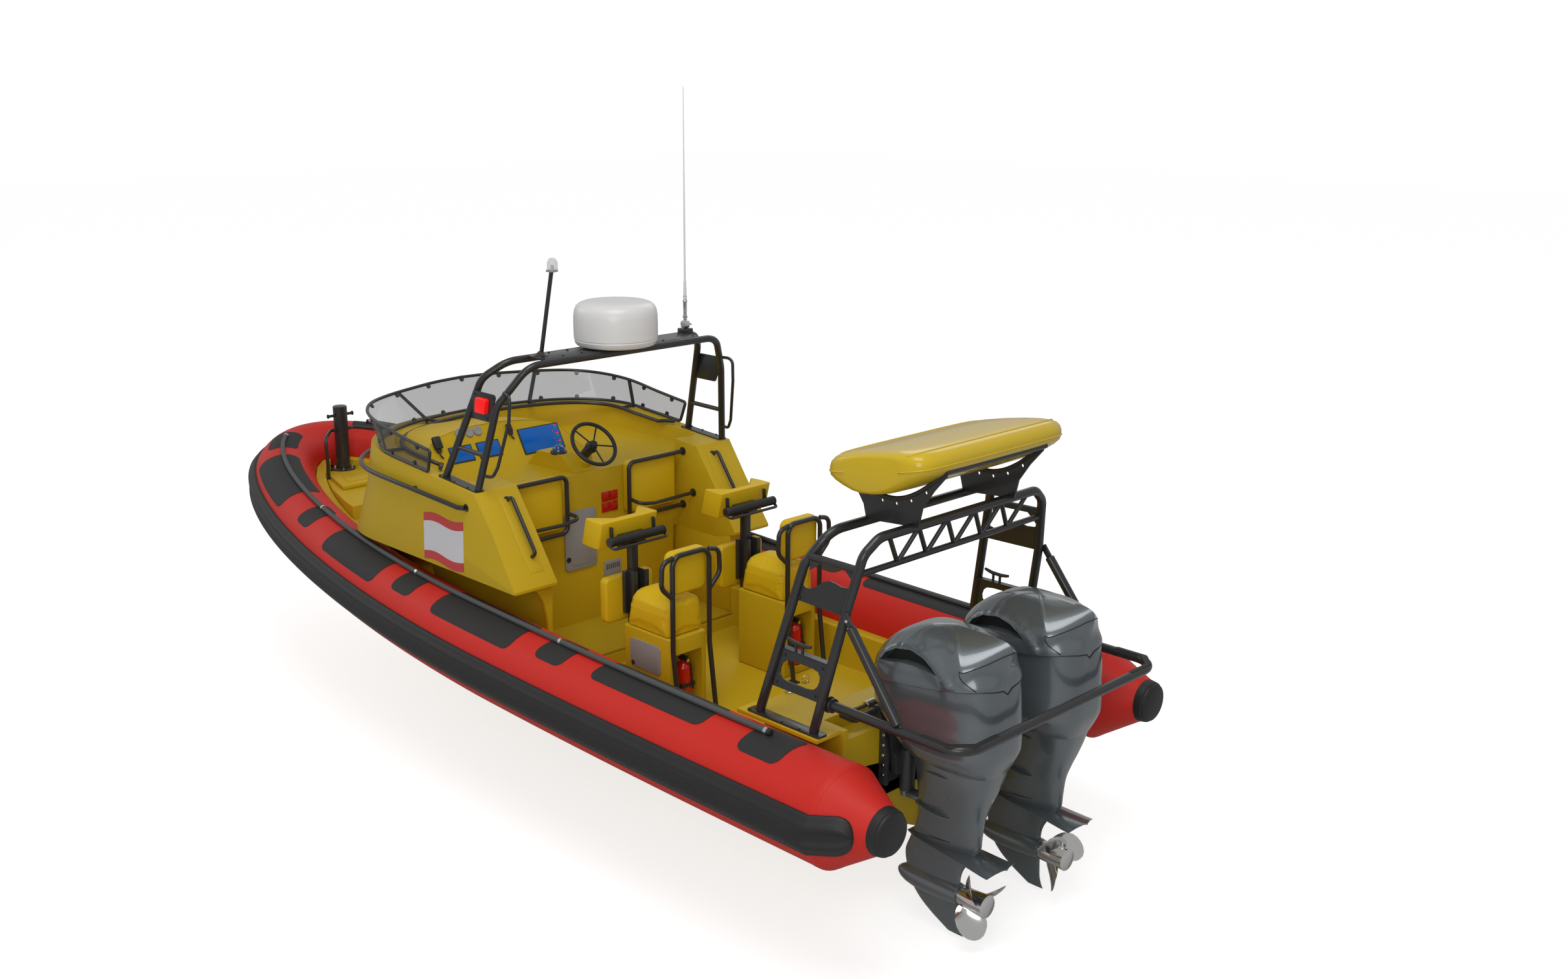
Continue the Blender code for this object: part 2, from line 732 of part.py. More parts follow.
def make_radar_arch():
    top_z = 2.035
    front = [(3.31, 1.04, 1.262), (3.05, 0.93, 1.93), (2.95, 0.80, top_z), (2.95, 0.0, top_z)]
    rear = [(2.956, 1.04, 1.235), (2.84, 0.965, 1.78), (2.72, 0.80, top_z), (2.72, 0.0, top_z)]
    parts = []
    for half in (front, rear):
        path = half + [(x, -y, z) for x, y, z in reversed(half[:-1])]
        parts.append(pipe("radar_arch", rounded(path, 0.16, 5), PIPE, 8))
    parts.append(box("platform", (2.71, -0.70, top_z + 0.012), (2.96, 0.70, top_z + 0.0245)))
    for sign in (1, -1):
        parts.append(pipe("step", [(3.215, sign * 1.0, 1.51), (2.90, sign * 1.002, 1.50)], 0.016, 8))
        parts.append(pipe("step", [(3.13, sign * 0.964, 1.73), (2.85, sign * 0.976, 1.72)], 0.016, 8))
        loop = []
        for z, back in ((1.74, 0.0), (1.76, 0.06), (1.32, 0.06), (1.30, 0.0)):
            t = (z - rear[0][2]) / (rear[1][2] - rear[0][2])
            x = rear[0][0] + (rear[1][0] - rear[0][0]) * t - back
            loop.append((x, sign * (rear[0][1] + (rear[1][1] - rear[0][1]) * t), z))
        parts.append(pipe("grab_loop", rounded(loop, 0.04), 0.011, 8))
        y0, y1 = sorted((sign * 0.976, sign * 0.990))
        parts.append(box("plate", (2.875, y0, 1.505), (3.175, y1, 1.725)))
        y0, y1 = sorted((sign * 1.005, sign * 1.070))
        low0, low1 = coaming_top(2.925) + GAP, coaming_top(3.36) + GAP
        bar = [(2.925, y0, low0), (3.36, y0, low1), (3.36, y0, low1 + 0.011), (2.925, y0, low0 + 0.011)]
        parts.append(loft("foot_plate", [bar, [(x, y1, z) for x, y, z in bar]]))
    parts.append(disc("mast", (2.86, 0.60, top_z + 0.02), (2.72, 0.60, 2.62), 0.014, 8))
    parts.append(disc("mast_base", (2.86, 0.60, top_z + 0.018), (2.86, 0.60, top_z + 0.045), 0.045, 10))
    parts.append(disc("mast_lamp", (2.722, 0.60, 2.61), (2.70, 0.60, 2.70), 0.035, 10))
    parts.append(box("whip_foot", (2.905, -0.755, top_z + 0.010), (2.985, -0.675, top_z + 0.045)))
    return finish(fuse(*parts), "black_paint")


def make_radome():
    rings = []
    for z, r in ((2.0598, 0.225), (2.075, 0.262), (2.13, 0.28), (2.27, 0.278), (2.325, 0.262), (2.352, 0.22),
                 (2.362, 0.12)):
        ring = []
        for k in range(24):
            a = 2 * math.pi * k / 24
            ring.append((2.835 + r * math.cos(a), r * math.sin(a), z))
        rings.append(ring)
    return finish(loft("radome", rings), "white")


WHIP_X = 2.945
WHIP_Y = -0.715
WHIP_Z = 2.1103


def make_whip():
    """Whip aerial on its ratchet: the foot is on the arch, this part lays down about the pivot."""
    knuckle = disc("whip_aerial", (WHIP_X, WHIP_Y - 0.022, WHIP_Z), (WHIP_X, WHIP_Y + 0.022, WHIP_Z), 0.030, 24)
    stem = disc("stem", (WHIP_X, WHIP_Y, WHIP_Z), (WHIP_X, WHIP_Y, WHIP_Z + 0.16), 0.013, 8)
    ferrule = disc("ferrule", (WHIP_X, WHIP_Y, WHIP_Z + 0.15), (WHIP_X, WHIP_Y, WHIP_Z + 0.30), 0.014, 8, 0.009)
    rod = disc("rod", (WHIP_X, WHIP_Y, WHIP_Z + 0.29), (WHIP_X, WHIP_Y, WHIP_Z + 1.62), 0.007, 8, 0.002)
    whip = fuse(knuckle, stem, ferrule, rod)
    return set_origin(finish(whip, "white"), (WHIP_X, WHIP_Y, WHIP_Z))


SEAT_Y = 0.496


def make_front_seats():
    made = []
    for sign, side in ((1, "port"), (-1, "starboard")):
        y = sign * SEAT_Y
        post = box("seat_post_" + side, (2.075, y - 0.032, 0.40), (2.135, y + 0.032, 0.955))
        track = box("track", (2.0203, y - 0.06, 0.45), (2.09, y + 0.06, 0.72))
        head = box("head", (2.085, y - 0.10, 0.930), (2.1397, y + 0.10, 1.02))
        bar = pipe("bar", [(2.065, y - 0.235, 0.985), (2.065, y + 0.235, 0.985)], 0.028, 8)
        loop = rounded([(2.055, y + 0.225, 0.985), (1.955, y + 0.225, 0.965), (1.955, y - 0.225, 0.965),
                        (2.055, y - 0.225, 0.985)], 0.05)
        post = fuse(post, track, head, bar, pipe("loop", loop, 0.010, 6))
        made.append(finish(post, "black_paint"))
        squab = box("seat_squab_" + side, (2.1353, y - 0.18, 0.40), (2.205, y + 0.18, 0.73))
        made.append(finish(squab, "pad"))
        outline = [(2.14, y - 0.235), (2.40, y - 0.235), (2.40, y - 0.175), (2.235, y - 0.14), (2.235, y + 0.14),
                   (2.40, y + 0.175), (2.40, y + 0.235), (2.14, y + 0.235)]
        made.append(finish(prism("seat_back_" + side, outline, "z", 0.935, 1.12), "pad"))
    return made


POD_X = (1.58, 2.02)
POD_HALF = 0.15


def make_pods():
    made = []
    x0, x1 = POD_X
    for sign, side in ((1, "port"), (-1, "starboard")):
        y = sign * SEAT_Y
        pod = box("pod_" + side, (x0, y - POD_HALF, SOLE_Z + GAP), (x1, y + POD_HALF, 0.470))
        recess = box("recess", (x0 - 0.05, y - 0.11, -0.01), (x0 + 0.13, y + 0.11, 0.36))
        made.append(finish(cut(pod, recess), "yellow"))
        rings = []
        for z, half, front, rear in ((0.4703, 0.15, 2.02, 1.60), (0.60, 0.145, 2.00, 1.60), (0.68, 0.125, 1.975, 1.60),
                                     (0.725, 0.085, 1.935, 1.61), (0.735, 0.04, 1.89, 1.63)):
            rings.append([(rear, y - half, z), (front - 0.03, y - half, z), (front, y - half * 0.7, z),
                          (front, y + half * 0.7, z), (front - 0.03, y + half, z), (rear, y + half, z)])
        made.append(finish(loft("pod_cushion_" + side, rings), "pad"))
        pad = box("pod_back_" + side, (1.5703, y - 0.155, 0.745), (1.645, y + 0.155, 1.03))
        made.append(finish(pad, "pad"))
        foot_z = SOLE_Z + 0.004
        path = [(1.49, y - 0.150, foot_z), (1.552, y - 0.150, 0.40), (1.552, y - 0.150, 1.01),
                (1.552, y + 0.150, 1.01), (1.552, y + 0.150, 0.40), (1.49, y + 0.150, foot_z)]
        frame = pipe("pod_frame_" + side, rounded(path, 0.07), 0.018, 8)
        loops = []
        for s in (1, -1):
            loop = rounded([(1.552, y + s * 0.145, 0.99), (1.552, y + s * 0.235, 0.96), (1.552, y + s * 0.235, 0.80),
                            (1.552, y + s * 0.15, 0.72)], 0.07)
            loops.append(pipe("loop", loop, 0.015, 8))
        loops.append(pipe("rung", [(1.552, y - 0.15, 0.80), (1.552, y + 0.15, 0.80)], 0.014, 8))
        for s in (1, -1):
            loops.append(box("foot", (1.455, y + s * 0.15 - 0.028, SOLE_Z + GAP),
                             (1.525, y + s * 0.15 + 0.028, SOLE_Z + 0.010)))
        made.append(finish(fuse(frame, *loops), "black_paint"))
        bottle = disc("extinguisher_" + side, (1.645, y - 0.01, -0.0097), (1.645, y - 0.01, 0.235), 0.052, 14)
        neck = disc("neck", (1.645, y - 0.01, 0.23), (1.645, y - 0.01, 0.285), 0.052, 14, 0.018)
        valve = box("valve", (1.60, y - 0.025, 0.28), (1.68, y + 0.005, 0.325))
        made.append(finish(fuse(bottle, neck, valve), "signal_red"))
    return made


# Aft frame

FORE_BAR = [(0.50, 0.935, AFT_DECK_Z + 0.012), (0.30, 0.80, 1.30), (0.21, 0.70, 1.480), (0.21, 0.0, 1.480)]
AFT_BAR = [(0.09, 0.935, AFT_DECK_Z + 0.012), (-0.045, 0.85, 1.10), (-0.10, 0.78, 1.43), (-0.12, 0.68, 1.510),
           (-0.12, 0.0, 1.510)]


def make_aft_arch():
    parts = []
    for half, bend in ((AFT_BAR, 0.10), (FORE_BAR, 0.15)):
        path = half + [(x, -y, z) for x, y, z in reversed(half[:-1])]
        parts.append(pipe("aft_arch", rounded(path, bend, 4), ARCH_PIPE, 8))
    low = [(-0.075, 0.815, 1.32), (-0.075, -0.815, 1.32)]
    parts.append(pipe("truss_low", low, 0.018, 8))
    count = 5
    for i in range(count):
        for j in (0, 1):
            ya = 0.60 - 0.24 * (i + 0.5 * j)
            yb = ya - 0.12
            za, zb = (1.50, 1.32) if j == 0 else (1.32, 1.50)
            xa, xb = (-0.118, -0.075) if j == 0 else (-0.075, -0.118)
            parts.append(pipe("brace", [(xa, ya, za), (xb, yb, zb)], 0.010, 6))
    for sign in (1, -1):
        parts.append(pipe("side_bar", [(0.285, sign * 0.79, 1.33), (-0.08, sign * 0.80, 1.33)], 0.018, 8))
        y0, y1 = sorted((sign * 0.905, sign * 0.965))
        parts.append(box("foot", (0.02, y0, AFT_DECK_Z + GAP), (0.57, y1, AFT_DECK_Z + 0.013)))
        plate = loft("low_plate", [[(0.43, sign * 0.895, 0.66), (0.39, sign * 0.868, 0.87),
                                    (0.02, sign * 0.880, 0.87), (0.05, sign * 0.905, 0.66)],
                                   [(0.43, sign * 0.885, 0.66), (0.39, sign * 0.858, 0.87),
                                    (0.02, sign * 0.870, 0.87), (0.05, sign * 0.895, 0.66)]])
        hole = box("slot", (0.12, min(0, sign), 0.71), (0.34, max(0, sign), 0.80))
        parts.append(cut(plate, hole))
        plate = loft("high_plate", [[(0.37, sign * 0.858, 1.00), (0.335, sign * 0.832, 1.14),
                                     (-0.03, sign * 0.852, 1.14), (0.0, sign * 0.866, 1.00)],
                                    [(0.37, sign * 0.848, 1.00), (0.335, sign * 0.822, 1.14),
                                     (-0.03, sign * 0.842, 1.14), (0.0, sign * 0.856, 1.00)]])
        parts.append(plate)
        parts.append(pipe("cleat_leg", [(0.22, sign * 0.868, 0.86), (0.22, sign * 0.868, 0.93)], 0.010, 6))
        parts.append(pipe("cleat_leg", [(0.16, sign * 0.868, 0.86), (0.16, sign * 0.868, 0.93)], 0.010, 6))
        parts.append(pipe("cleat", [(0.29, sign * 0.868, 0.93), (0.09, sign * 0.868, 0.93)], 0.012, 6))
    return finish(fuse(*parts), "black_paint")


def make_cradle():
    """Raft cradle: two saddles notched over the arch's top bars, joined by two rails."""
    parts = [make_saddle(y) for y in (0.42, -0.42)]
    for x, z in ((0.325, 1.74), (-0.345, 1.86)):
        parts.append(pipe("cradle_rail", [(x, 0.44, z), (x, -0.44, z)], 0.014, 8))
    bars = []
    for half in (AFT_BAR, FORE_BAR):
        x, _, z = half[-1]
        bars.append(pipe("bar", [(x, 0.55, z), (x, -0.55, z)], ARCH_PIPE + 0.0015, 12))
    return finish(cut(fuse(*parts), *bars), "black_paint")


def saddle_curve():
    pts = []
    for k in range(9):
        t = k / 8
        x = 0.325 - 0.67 * t
        z = 1.74 + 0.12 * t - 0.155 * math.sin(math.pi * t)
        pts.append((x, z))
    return pts


def make_saddle(y):
    curve = saddle_curve()
    low = [(-0.165, 1.510), (0.255, 1.480)]
    outline = [(x, z) for x, z in curve] + low
    plate = prism("raft_cradle", outline, "y", y - 0.006, y + 0.006)
    bar = pipe("saddle_bar", [(x, y, z) for x, z in curve], 0.014, 8)
    return fuse(plate, bar)


def make_raft_pod():
    """A hard-shelled raft pack lying across the cradle, tilted to follow its saddles."""
    rings = []
    for y, scale in ((0.64, 0.45), (0.61, 0.75), (0.52, 0.93), (0.30, 1.0), (-0.30, 1.0), (-0.52, 0.93),
                     (-0.61, 0.75), (-0.64, 0.45)):
        ring = []
        for u, w in ((0.36, 0.02), (0.33, 0.10), (0.20, 0.14), (-0.20, 0.14), (-0.33, 0.10), (-0.36, 0.02),
                     (-0.28, -0.045), (-0.15, -0.105), (0.0, -0.125), (0.15, -0.105), (0.28, -0.045)):
            x = -0.01 + u * scale
            z = 1.80 + 0.0215 - 0.12 / 0.67 * (x + 0.01) + w * (0.6 + 0.4 * scale) - 0.0023
            ring.append((x, y, z))
        rings.append(ring)
    return finish(loft("raft_pod", rings), "pad")


def make_guard():
    z = 0.595
    path = [(0.0265, 0.884, z), (-0.875, 0.884, z), (-0.875, -0.884, z), (0.0265, -0.884, z)]
    parts = [pipe("engine_guard", rounded(path, 0.14, 5), ARCH_PIPE, 8)]
    for sign in (1, -1):
        parts.append(pipe("strut", [(-0.102, sign * 0.868, 1.10), (-0.481, sign * 0.884, z)], 0.018, 8))
        outline = [(-0.62, sign * 0.875), (-0.78, sign * 0.875), (-0.862, sign * 0.78), (-0.862, sign * 0.62)]
        parts.append(prism("tread", outline, "z", z + 0.012, z + 0.022))
    return finish(fuse(*parts), "black_paint")


# Outboards

def plan_ring(y, z, front, rear, half, power=2.5, taper=0.0, count=20):
    """A rounded plan outline at one height, narrowing towards the stern by the taper."""
    middle, reach = (front + rear) / 2, (front - rear) / 2
    ring = []
    for k in range(count):
        t = 2 * math.pi * k / count
        c, s = math.cos(t), math.sin(t)
        u = math.copysign(abs(c) ** (2 / power), c)
        v = math.copysign(abs(s) ** (2 / power), s)
        ring.append((middle + reach * u, y + half * v * (1 - taper * (1 - u) / 2), z))
    return ring


def stack(name, y, levels, power, taper=0.0):
    return loft(name, [plan_ring(y, z, f, r, h, power, taper) for z, f, r, h in levels])


def make_cowl(y, side):
    hood = stack("engine_cowl_" + side, y, (
        (COWL_LOW_Z, 0.005, -0.785, 0.285), (0.54, 0.022, -0.79, 0.297), (0.66, 0.030, -0.795, 0.30),
        (0.80, 0.020, -0.79, 0.295), (0.90, -0.025, -0.77, 0.275), (0.97, -0.09, -0.72, 0.235),
        (1.01, -0.17, -0.65, 0.175), (1.03, -0.26, -0.56, 0.09)), 2.6, 0.18)
    skirt = stack("skirt", y, (
        (0.27, -0.22, -0.66, 0.17), (0.32, -0.19, -0.71, 0.215), (0.40, -0.155, -0.76, 0.26),
        (COWL_LOW_Z + 0.02, -0.135, -0.785, 0.285)), 2.6, 0.18)
    return set_origin(finish(fuse(hood, skirt), "engine_grey"), (STEER_X, y, COWL_LOW_Z))


def make_leg(y, side):
    """Midsection, gearcase, skeg and anti-ventilation plate, with the yokes that hold the swivel tube."""
    leg = stack("engine_leg_" + side, y, (
        (0.2697, -0.24, -0.66, 0.15), (0.20, -0.22, -0.70, 0.13), (0.08, -0.205, -0.67, 0.105),
        (-0.08, -0.20, -0.64, 0.085), (-0.22, -0.17, -0.63, 0.06), (-0.36, -0.11, -0.50, 0.042),
        (-0.60, -0.17, -0.50, 0.024), (-0.70, -0.30, -0.505, 0.013), (-0.767, -0.41, -0.53, 0.006)), 2.2)
    torpedo = []
    for x, r in ((-0.065, 0.008), (-0.085, 0.03), (-0.14, 0.055), (-0.25, 0.068), (-0.40, 0.068), (-0.51, 0.058)):
        torpedo.append([(x, y + r * math.cos(2 * math.pi * k / 14), SHAFT_Z + r * math.sin(2 * math.pi * k / 14))
                        for k in range(14)])
    plate = prism("plate", [(-0.10, y - 0.05), (-0.30, y - 0.12), (-0.62, y - 0.12), (-0.79, y - 0.06),
                            (-0.81, y), (-0.79, y + 0.06), (-0.62, y + 0.12), (-0.30, y + 0.12), (-0.10, y + 0.05)],
                  "z", -0.278, -0.262)
    upper = box("upper_yoke", (-0.30, y - 0.034, SWIVEL_TOP + GAP), (STEER_X + 0.004, y + 0.034, SWIVEL_TOP + 0.035))
    lower = box("lower_yoke", (-0.26, y - 0.033, SWIVEL_LOW - 0.036), (STEER_X + 0.004, y + 0.033, SWIVEL_LOW - GAP))
    riser = disc("riser", (STEER_X, y, SWIVEL_TOP + 0.004), (STEER_X, y, COWL_LOW_Z - 0.004), 0.032, 14)
    foot = disc("foot", (STEER_X, y, SWIVEL_LOW - 0.038), (STEER_X, y, SWIVEL_LOW - 0.003), 0.038, 14)
    arm = box("steering_arm", (STEER_X - 0.005, y - 0.021, COWL_LOW_Z - 0.018), (0.085, y + 0.021, COWL_LOW_Z - 0.0045))
    leg = fuse(leg, loft("torpedo", torpedo), plate, upper, lower, riser, foot, arm)
    return set_origin(finish(leg, "engine_grey"), (STEER_X, y, SHAFT_Z))


def make_propeller(y, side, hand):
    """Three twisted blades on a through-hub, turning about the shaft line."""
    hub = disc("propeller_" + side, (PROP_X, y, SHAFT_Z), (PROP_X - 0.18, y, SHAFT_Z), 0.056, 18, 0.066)
    blades = [make_blade(y, hand, 2 * math.pi * k / 3) for k in range(3)]
    return set_origin(finish(fuse(hub, *blades), "steel"), (PROP_X, y, SHAFT_Z))


def make_blade(y, hand, base):
    """One blade; both faces are split along the same diagonals, so the thin blade can't cross itself."""
    bm = bmesh.new()
    faces = []
    for side in (1, -1):
        grid = []
        for r, chord, pitch, thick in BLADE_ROWS:
            t = math.radians(pitch)
            row = []
            for u, w in ((-0.5, 0.3), (-0.25, 0.9), (0.0, 1.0), (0.25, 0.8), (0.5, 0.3)):
                lift = side * w * thick
                along = u * chord * math.sin(t) + lift * math.cos(t)
                around = hand * (u * chord * math.cos(t) - lift * math.sin(t))
                a = base + around / r
                row.append(bm.verts.new((PROP_X - 0.09 + along, y + r * math.cos(a), SHAFT_Z + r * math.sin(a))))
            grid.append(row)
        faces.append(grid)
    for grid in faces:
        for low, high in zip(grid, grid[1:]):
            for i in range(4):
                bm.faces.new((low[i], low[i + 1], high[i + 1]))
                bm.faces.new((low[i], high[i + 1], high[i]))
    front, back = faces
    for i in (0, 4):
        for k in range(len(BLADE_ROWS) - 1):
            bm.faces.new((front[k][i], front[k + 1][i], back[k + 1][i], back[k][i]))
    for k in (0, -1):
        for i in range(4):
            bm.faces.new((front[k][i], front[k][i + 1], back[k][i + 1], back[k][i]))
    return from_bmesh("blade", bm)


def make_clamp(y, side):
    """Transom bracket: two cheeks hooked over the transom, bored for the tilt tube."""
    cheeks = []
    for s in (1, -1):
        y0, y1 = sorted((y + s * 0.105, y + s * 0.130))
        outline = [(-GAP, 0.02), (-0.055, 0.02), (-0.060, 0.20), (-0.020, 0.40), (0.0, 0.44), (0.012, 0.465),
                   (0.026, 0.474), (0.044, 0.474), (0.058, 0.465), (0.066, 0.44), (0.074, 0.43), (0.074, 0.412),
                   (0.050, TRANSOM_TOP_Z + 0.0023), (-GAP, TRANSOM_TOP_Z + 0.0023)]
        cheek = prism("clamp_bracket_" + side, outline, "y", y0, y1)
        bore_r = TILT_TUBE_R / math.cos(math.pi / 16) + GAP
        bore = disc("bore", (TILT_X, y0 - 0.02, TILT_Z), (TILT_X, y1 + 0.02, TILT_Z), bore_r, 16)
        cheeks.append(cut(cheek, bore))
    tie = box("tie", (-0.045, y - 0.11, 0.03), (-0.012, y + 0.11, 0.09))
    return finish(fuse(*cheeks, tie), "black_paint")


def make_swivel(y, side):
    """Swivel bracket with its tilt tube, steering tube and the rod that carries the steering ram."""
    tube = disc("swivel_bracket_" + side, (TILT_X, y - 0.31, TILT_Z), (TILT_X, y + 0.31, TILT_Z), TILT_TUBE_R, 16)
    boss = disc("boss", (TILT_X, y - 0.1047, TILT_Z), (TILT_X, y + 0.1047, TILT_Z), 0.029, 16)
    post = disc("post", (STEER_X, y, SWIVEL_LOW), (STEER_X, y, SWIVEL_TOP), 0.045, 16)
    neck = prism("neck", [(-0.093, 0.08), (-0.05, 0.10), (-0.012, 0.30), (-0.008, 0.370), (0.02, 0.373), (0.05, 0.42),
                          (0.055, 0.44), (0.030, 0.465), (0.005, 0.455), (-0.03, 0.36), (-0.045, 0.215),
                          (-0.093, 0.20)], "y", y - 0.083, y + 0.083)
    parts = [tube, boss, post, neck]
    for s in (1, -1):
        y0, y1 = sorted((y + s * 0.288, y + s * 0.303))
        outline = [(0.012, TILT_Z - 0.015), (0.012, TILT_Z + 0.024), (0.06, TILT_Z + 0.024),
                   (RAM_X + 0.018, RAM_Z + 0.018), (RAM_X + 0.018, RAM_Z - 0.018), (0.06, TILT_Z - 0.026)]
        parts.append(prism("rod_arm", outline, "y", y0, y1))
    parts.append(disc("ram_rod", (RAM_X, y - 0.29, RAM_Z), (RAM_X, y + 0.29, RAM_Z), 0.009, 10))
    return set_origin(finish(fuse(*parts), "black_paint"), (TILT_X, y, TILT_Z))


def make_ram(y, side):
    """Steering cylinder: its barrel slides on the rod and pushes the steering arm."""
    barrel = disc("steering_ram_" + side, (RAM_X, y - 0.11, RAM_Z), (RAM_X, y + 0.11, RAM_Z), 0.026, 16)
    lug = box("lug", (RAM_X - 0.022, y - 0.018, RAM_Z), (RAM_X + 0.018, y + 0.018, RAM_Z + 0.046))
    bore = disc("bore", (RAM_X, y - 0.2, RAM_Z), (RAM_X, y + 0.2, RAM_Z), 0.0093, 10)
    ram = cut(fuse(barrel, lug), bore)
    return set_origin(finish(ram, "steel"), (RAM_X, y, RAM_Z))


def build():
    clear_scene()
    make_collar()
    make_strake()
    make_hoses()
    make_hull()
    make_liner()
    make_floor()
    make_aft_deck()
    make_foredeck()
    make_lid()
    make_samson_post()
    make_console()
    make_console_hatch()
    make_screen()
    make_screen_frame()
    make_console_rail()
    make_wheel()
    make_pad_panels()
    make_aft_rails()
    make_radar_arch()
    make_radome()
    make_whip()
    make_front_seats()
    make_pods()
    make_aft_arch()
    make_cradle()
    make_raft_pod()
    make_guard()
    for sign, side in ((1, "port"), (-1, "starboard")):
        y = sign * ENGINE_Y
        make_cowl(y, side)
        make_leg(y, side)
        make_propeller(y, side, sign)
        make_clamp(y, side)
        make_swivel(y, side)
        make_ram(y, side)


build()
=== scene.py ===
"""Inshore rescue boat: the finished look of its hull, collar, console, frames, seats and engines.

Units are metres. +X is the bow, +Y is port, +Z is up. Each operator makes one group of
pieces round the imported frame, and each piece rides on the body that carries it.
"""
from math import copysign, cos, degrees, exp, pi, radians, sin, sqrt, tan

import bmesh
import bpy
from bpy.props import FloatProperty, FloatVectorProperty, IntProperty, PointerProperty
from mathutils import Matrix, Vector


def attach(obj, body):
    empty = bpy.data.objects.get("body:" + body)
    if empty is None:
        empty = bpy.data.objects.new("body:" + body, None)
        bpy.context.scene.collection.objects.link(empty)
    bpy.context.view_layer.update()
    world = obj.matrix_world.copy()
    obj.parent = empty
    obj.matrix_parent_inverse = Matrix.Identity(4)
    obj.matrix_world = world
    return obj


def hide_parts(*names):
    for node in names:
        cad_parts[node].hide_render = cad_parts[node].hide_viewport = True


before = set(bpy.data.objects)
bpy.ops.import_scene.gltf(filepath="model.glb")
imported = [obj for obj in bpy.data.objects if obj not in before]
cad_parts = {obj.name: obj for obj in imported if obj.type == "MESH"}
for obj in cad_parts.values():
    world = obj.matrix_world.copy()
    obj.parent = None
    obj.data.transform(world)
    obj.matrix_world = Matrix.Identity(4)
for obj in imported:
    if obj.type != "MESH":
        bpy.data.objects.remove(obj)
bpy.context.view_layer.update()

bl_info = {
    "name": "Inshore rescue boat",
    "version": (1, 0, 0),
    "blender": (4, 5, 0),
    "location": "3D View > Sidebar > Boat",
    "description": "Builds the finished pieces of a rigid inflatable rescue boat round its frame",
    "category": "Object",
}

SIDES = ((1, "port"), (-1, "starboard"))
MIRROR = Vector((1, -1, 1))
FLIPS = (Vector((1, 1, 1)), MIRROR)

# Collar, as in the frame
TUBE_Y, TUBE_Z, TUBE_R, BOW_R = 1.17, 0.175, 0.28, 0.24
BEND_X, BOW_X, SQUARE = 2.63, 6.96, 2.1
CONE_X, CONE_END = -0.35, (-0.64, 1.187, 0.21, 0.125)
HOSE_R = 0.018

# Hull and decks
SOLE_Z, FLOOR_Z, AFT_DECK_Z = -0.06, 0.05, 0.42
LINER, GAP = 0.012, 0.0003
POST_X = 6.53
HULL_X = (0.0, 0.8, 1.6, 2.545, 2.55, 3.2, 3.9, 4.16, 4.5, 5.1, 5.6, 6.0, 6.35, 6.55, 6.68)
SOLES = (-0.06, -0.06, -0.06, -0.06, 0.03, 0.03, 0.03, 0.03, 0.13, 0.19, 0.25, 0.30, 0.35, 0.41, 0.45)

# Console
WALL_Y, COAMING_Y, COAMING_Z = 0.785, 1.115, 1.22
DASH_X, DASH_Z = 3.15, 1.13
FRONT_X = 4.62
AFT_EDGE = ((0.64, 2.50), (0.98, 2.74), (1.2214, 2.92))
PANEL_X = 3.64

# Seats and engines
SEAT_Y = 0.496
ENGINE_Y = 0.373
GUARD_Y, GUARD_Z = 0.884, 0.595
STEER_X = -0.10
SHAFT_Z, PROP_X = -0.52, -0.5104


# Settings

def colour(name, description, default):
    """A colour of the panel."""
    return FloatVectorProperty(name=name, description=description, subtype="COLOR", size=3, min=0, max=1,
                               default=default)


def length(name, description, default):
    """A length of the panel."""
    return FloatProperty(name=name, description=description, default=default, unit="LENGTH")


def power(name, description, default):
    """The power of a light, in the panel."""
    return FloatProperty(name=name, description=description, default=default, unit="POWER")


class HullSettings(bpy.types.PropertyGroup):
    gelcoat: colour("Gelcoat", "Colour of hull, decks and console", (0.60, 0.405, 0.012))
    tube: colour("Tube fabric", "Colour of the coated tube fabric", (0.64, 0.022, 0.014))
    edge: length("Edge radius", "Radius of the moulded edges", 0.008)
    patch: length("Patch thickness", "Height of the tread patches above the fabric", 0.003)


class FrameSettings(bpy.types.PropertyGroup):
    paint: colour("Frame paint", "Colour of the powder coat", (0.022, 0.023, 0.024))
    bolt: length("Bolt size", "Radius of the bolt heads", 0.0075)
    clip: length("Clip size", "Radius of the screen clips", 0.017)
    clips: IntProperty(name="Clips", description="Number of clips along each edge of the screen",
                       default=13, min=4)


class SeatSettings(bpy.types.PropertyGroup):
    cover: colour("Seat cover", "Colour of the coated upholstery", (0.74, 0.49, 0.010))
    crown: length("Crown", "Furthest that a cushion may swell", 0.008)


class EngineSettings(bpy.types.PropertyGroup):
    paint: colour("Engine paint", "Colour of the metallic paint", (0.145, 0.168, 0.182))
    seam: length("Seam", "Radius of the dark parting seams", 0.003)


class StageSettings(bpy.types.PropertyGroup):
    floor: length("Floor height", "Just below the skegs: the boat is shown out of the water", -0.80)
    key: power("Key light", "Power of the large soft light overhead", 420)
    fill: power("Fill light", "Power of each side light", 70)
    world: FloatProperty(name="Surroundings", description="Light that the white surroundings give",
                         default=0.44)
    backdrop: FloatProperty(name="Backdrop",
                            description="Brightness of the surroundings as the camera sees them",
                            default=1.0)


# Shader groups

def fill(tree, node, sockets):
    """Set or link a node's inputs."""
    for key, value in sockets.items():
        if isinstance(value, bpy.types.NodeSocket):
            tree.links.new(value, node.inputs[key])
        else:
            node.inputs[key].default_value = value
    return node


def put(tree, kind, sockets=None, **settings):
    """Add a node, set its properties, and set or link its inputs."""
    made = tree.nodes.new(kind)
    for key, value in settings.items():
        setattr(made, key, value)
    return fill(tree, made, sockets or {})


def maths(tree, operation, *values):
    """The result of one step of arithmetic."""
    return put(tree, "ShaderNodeMath", dict(enumerate(values)), operation=operation).outputs[0]


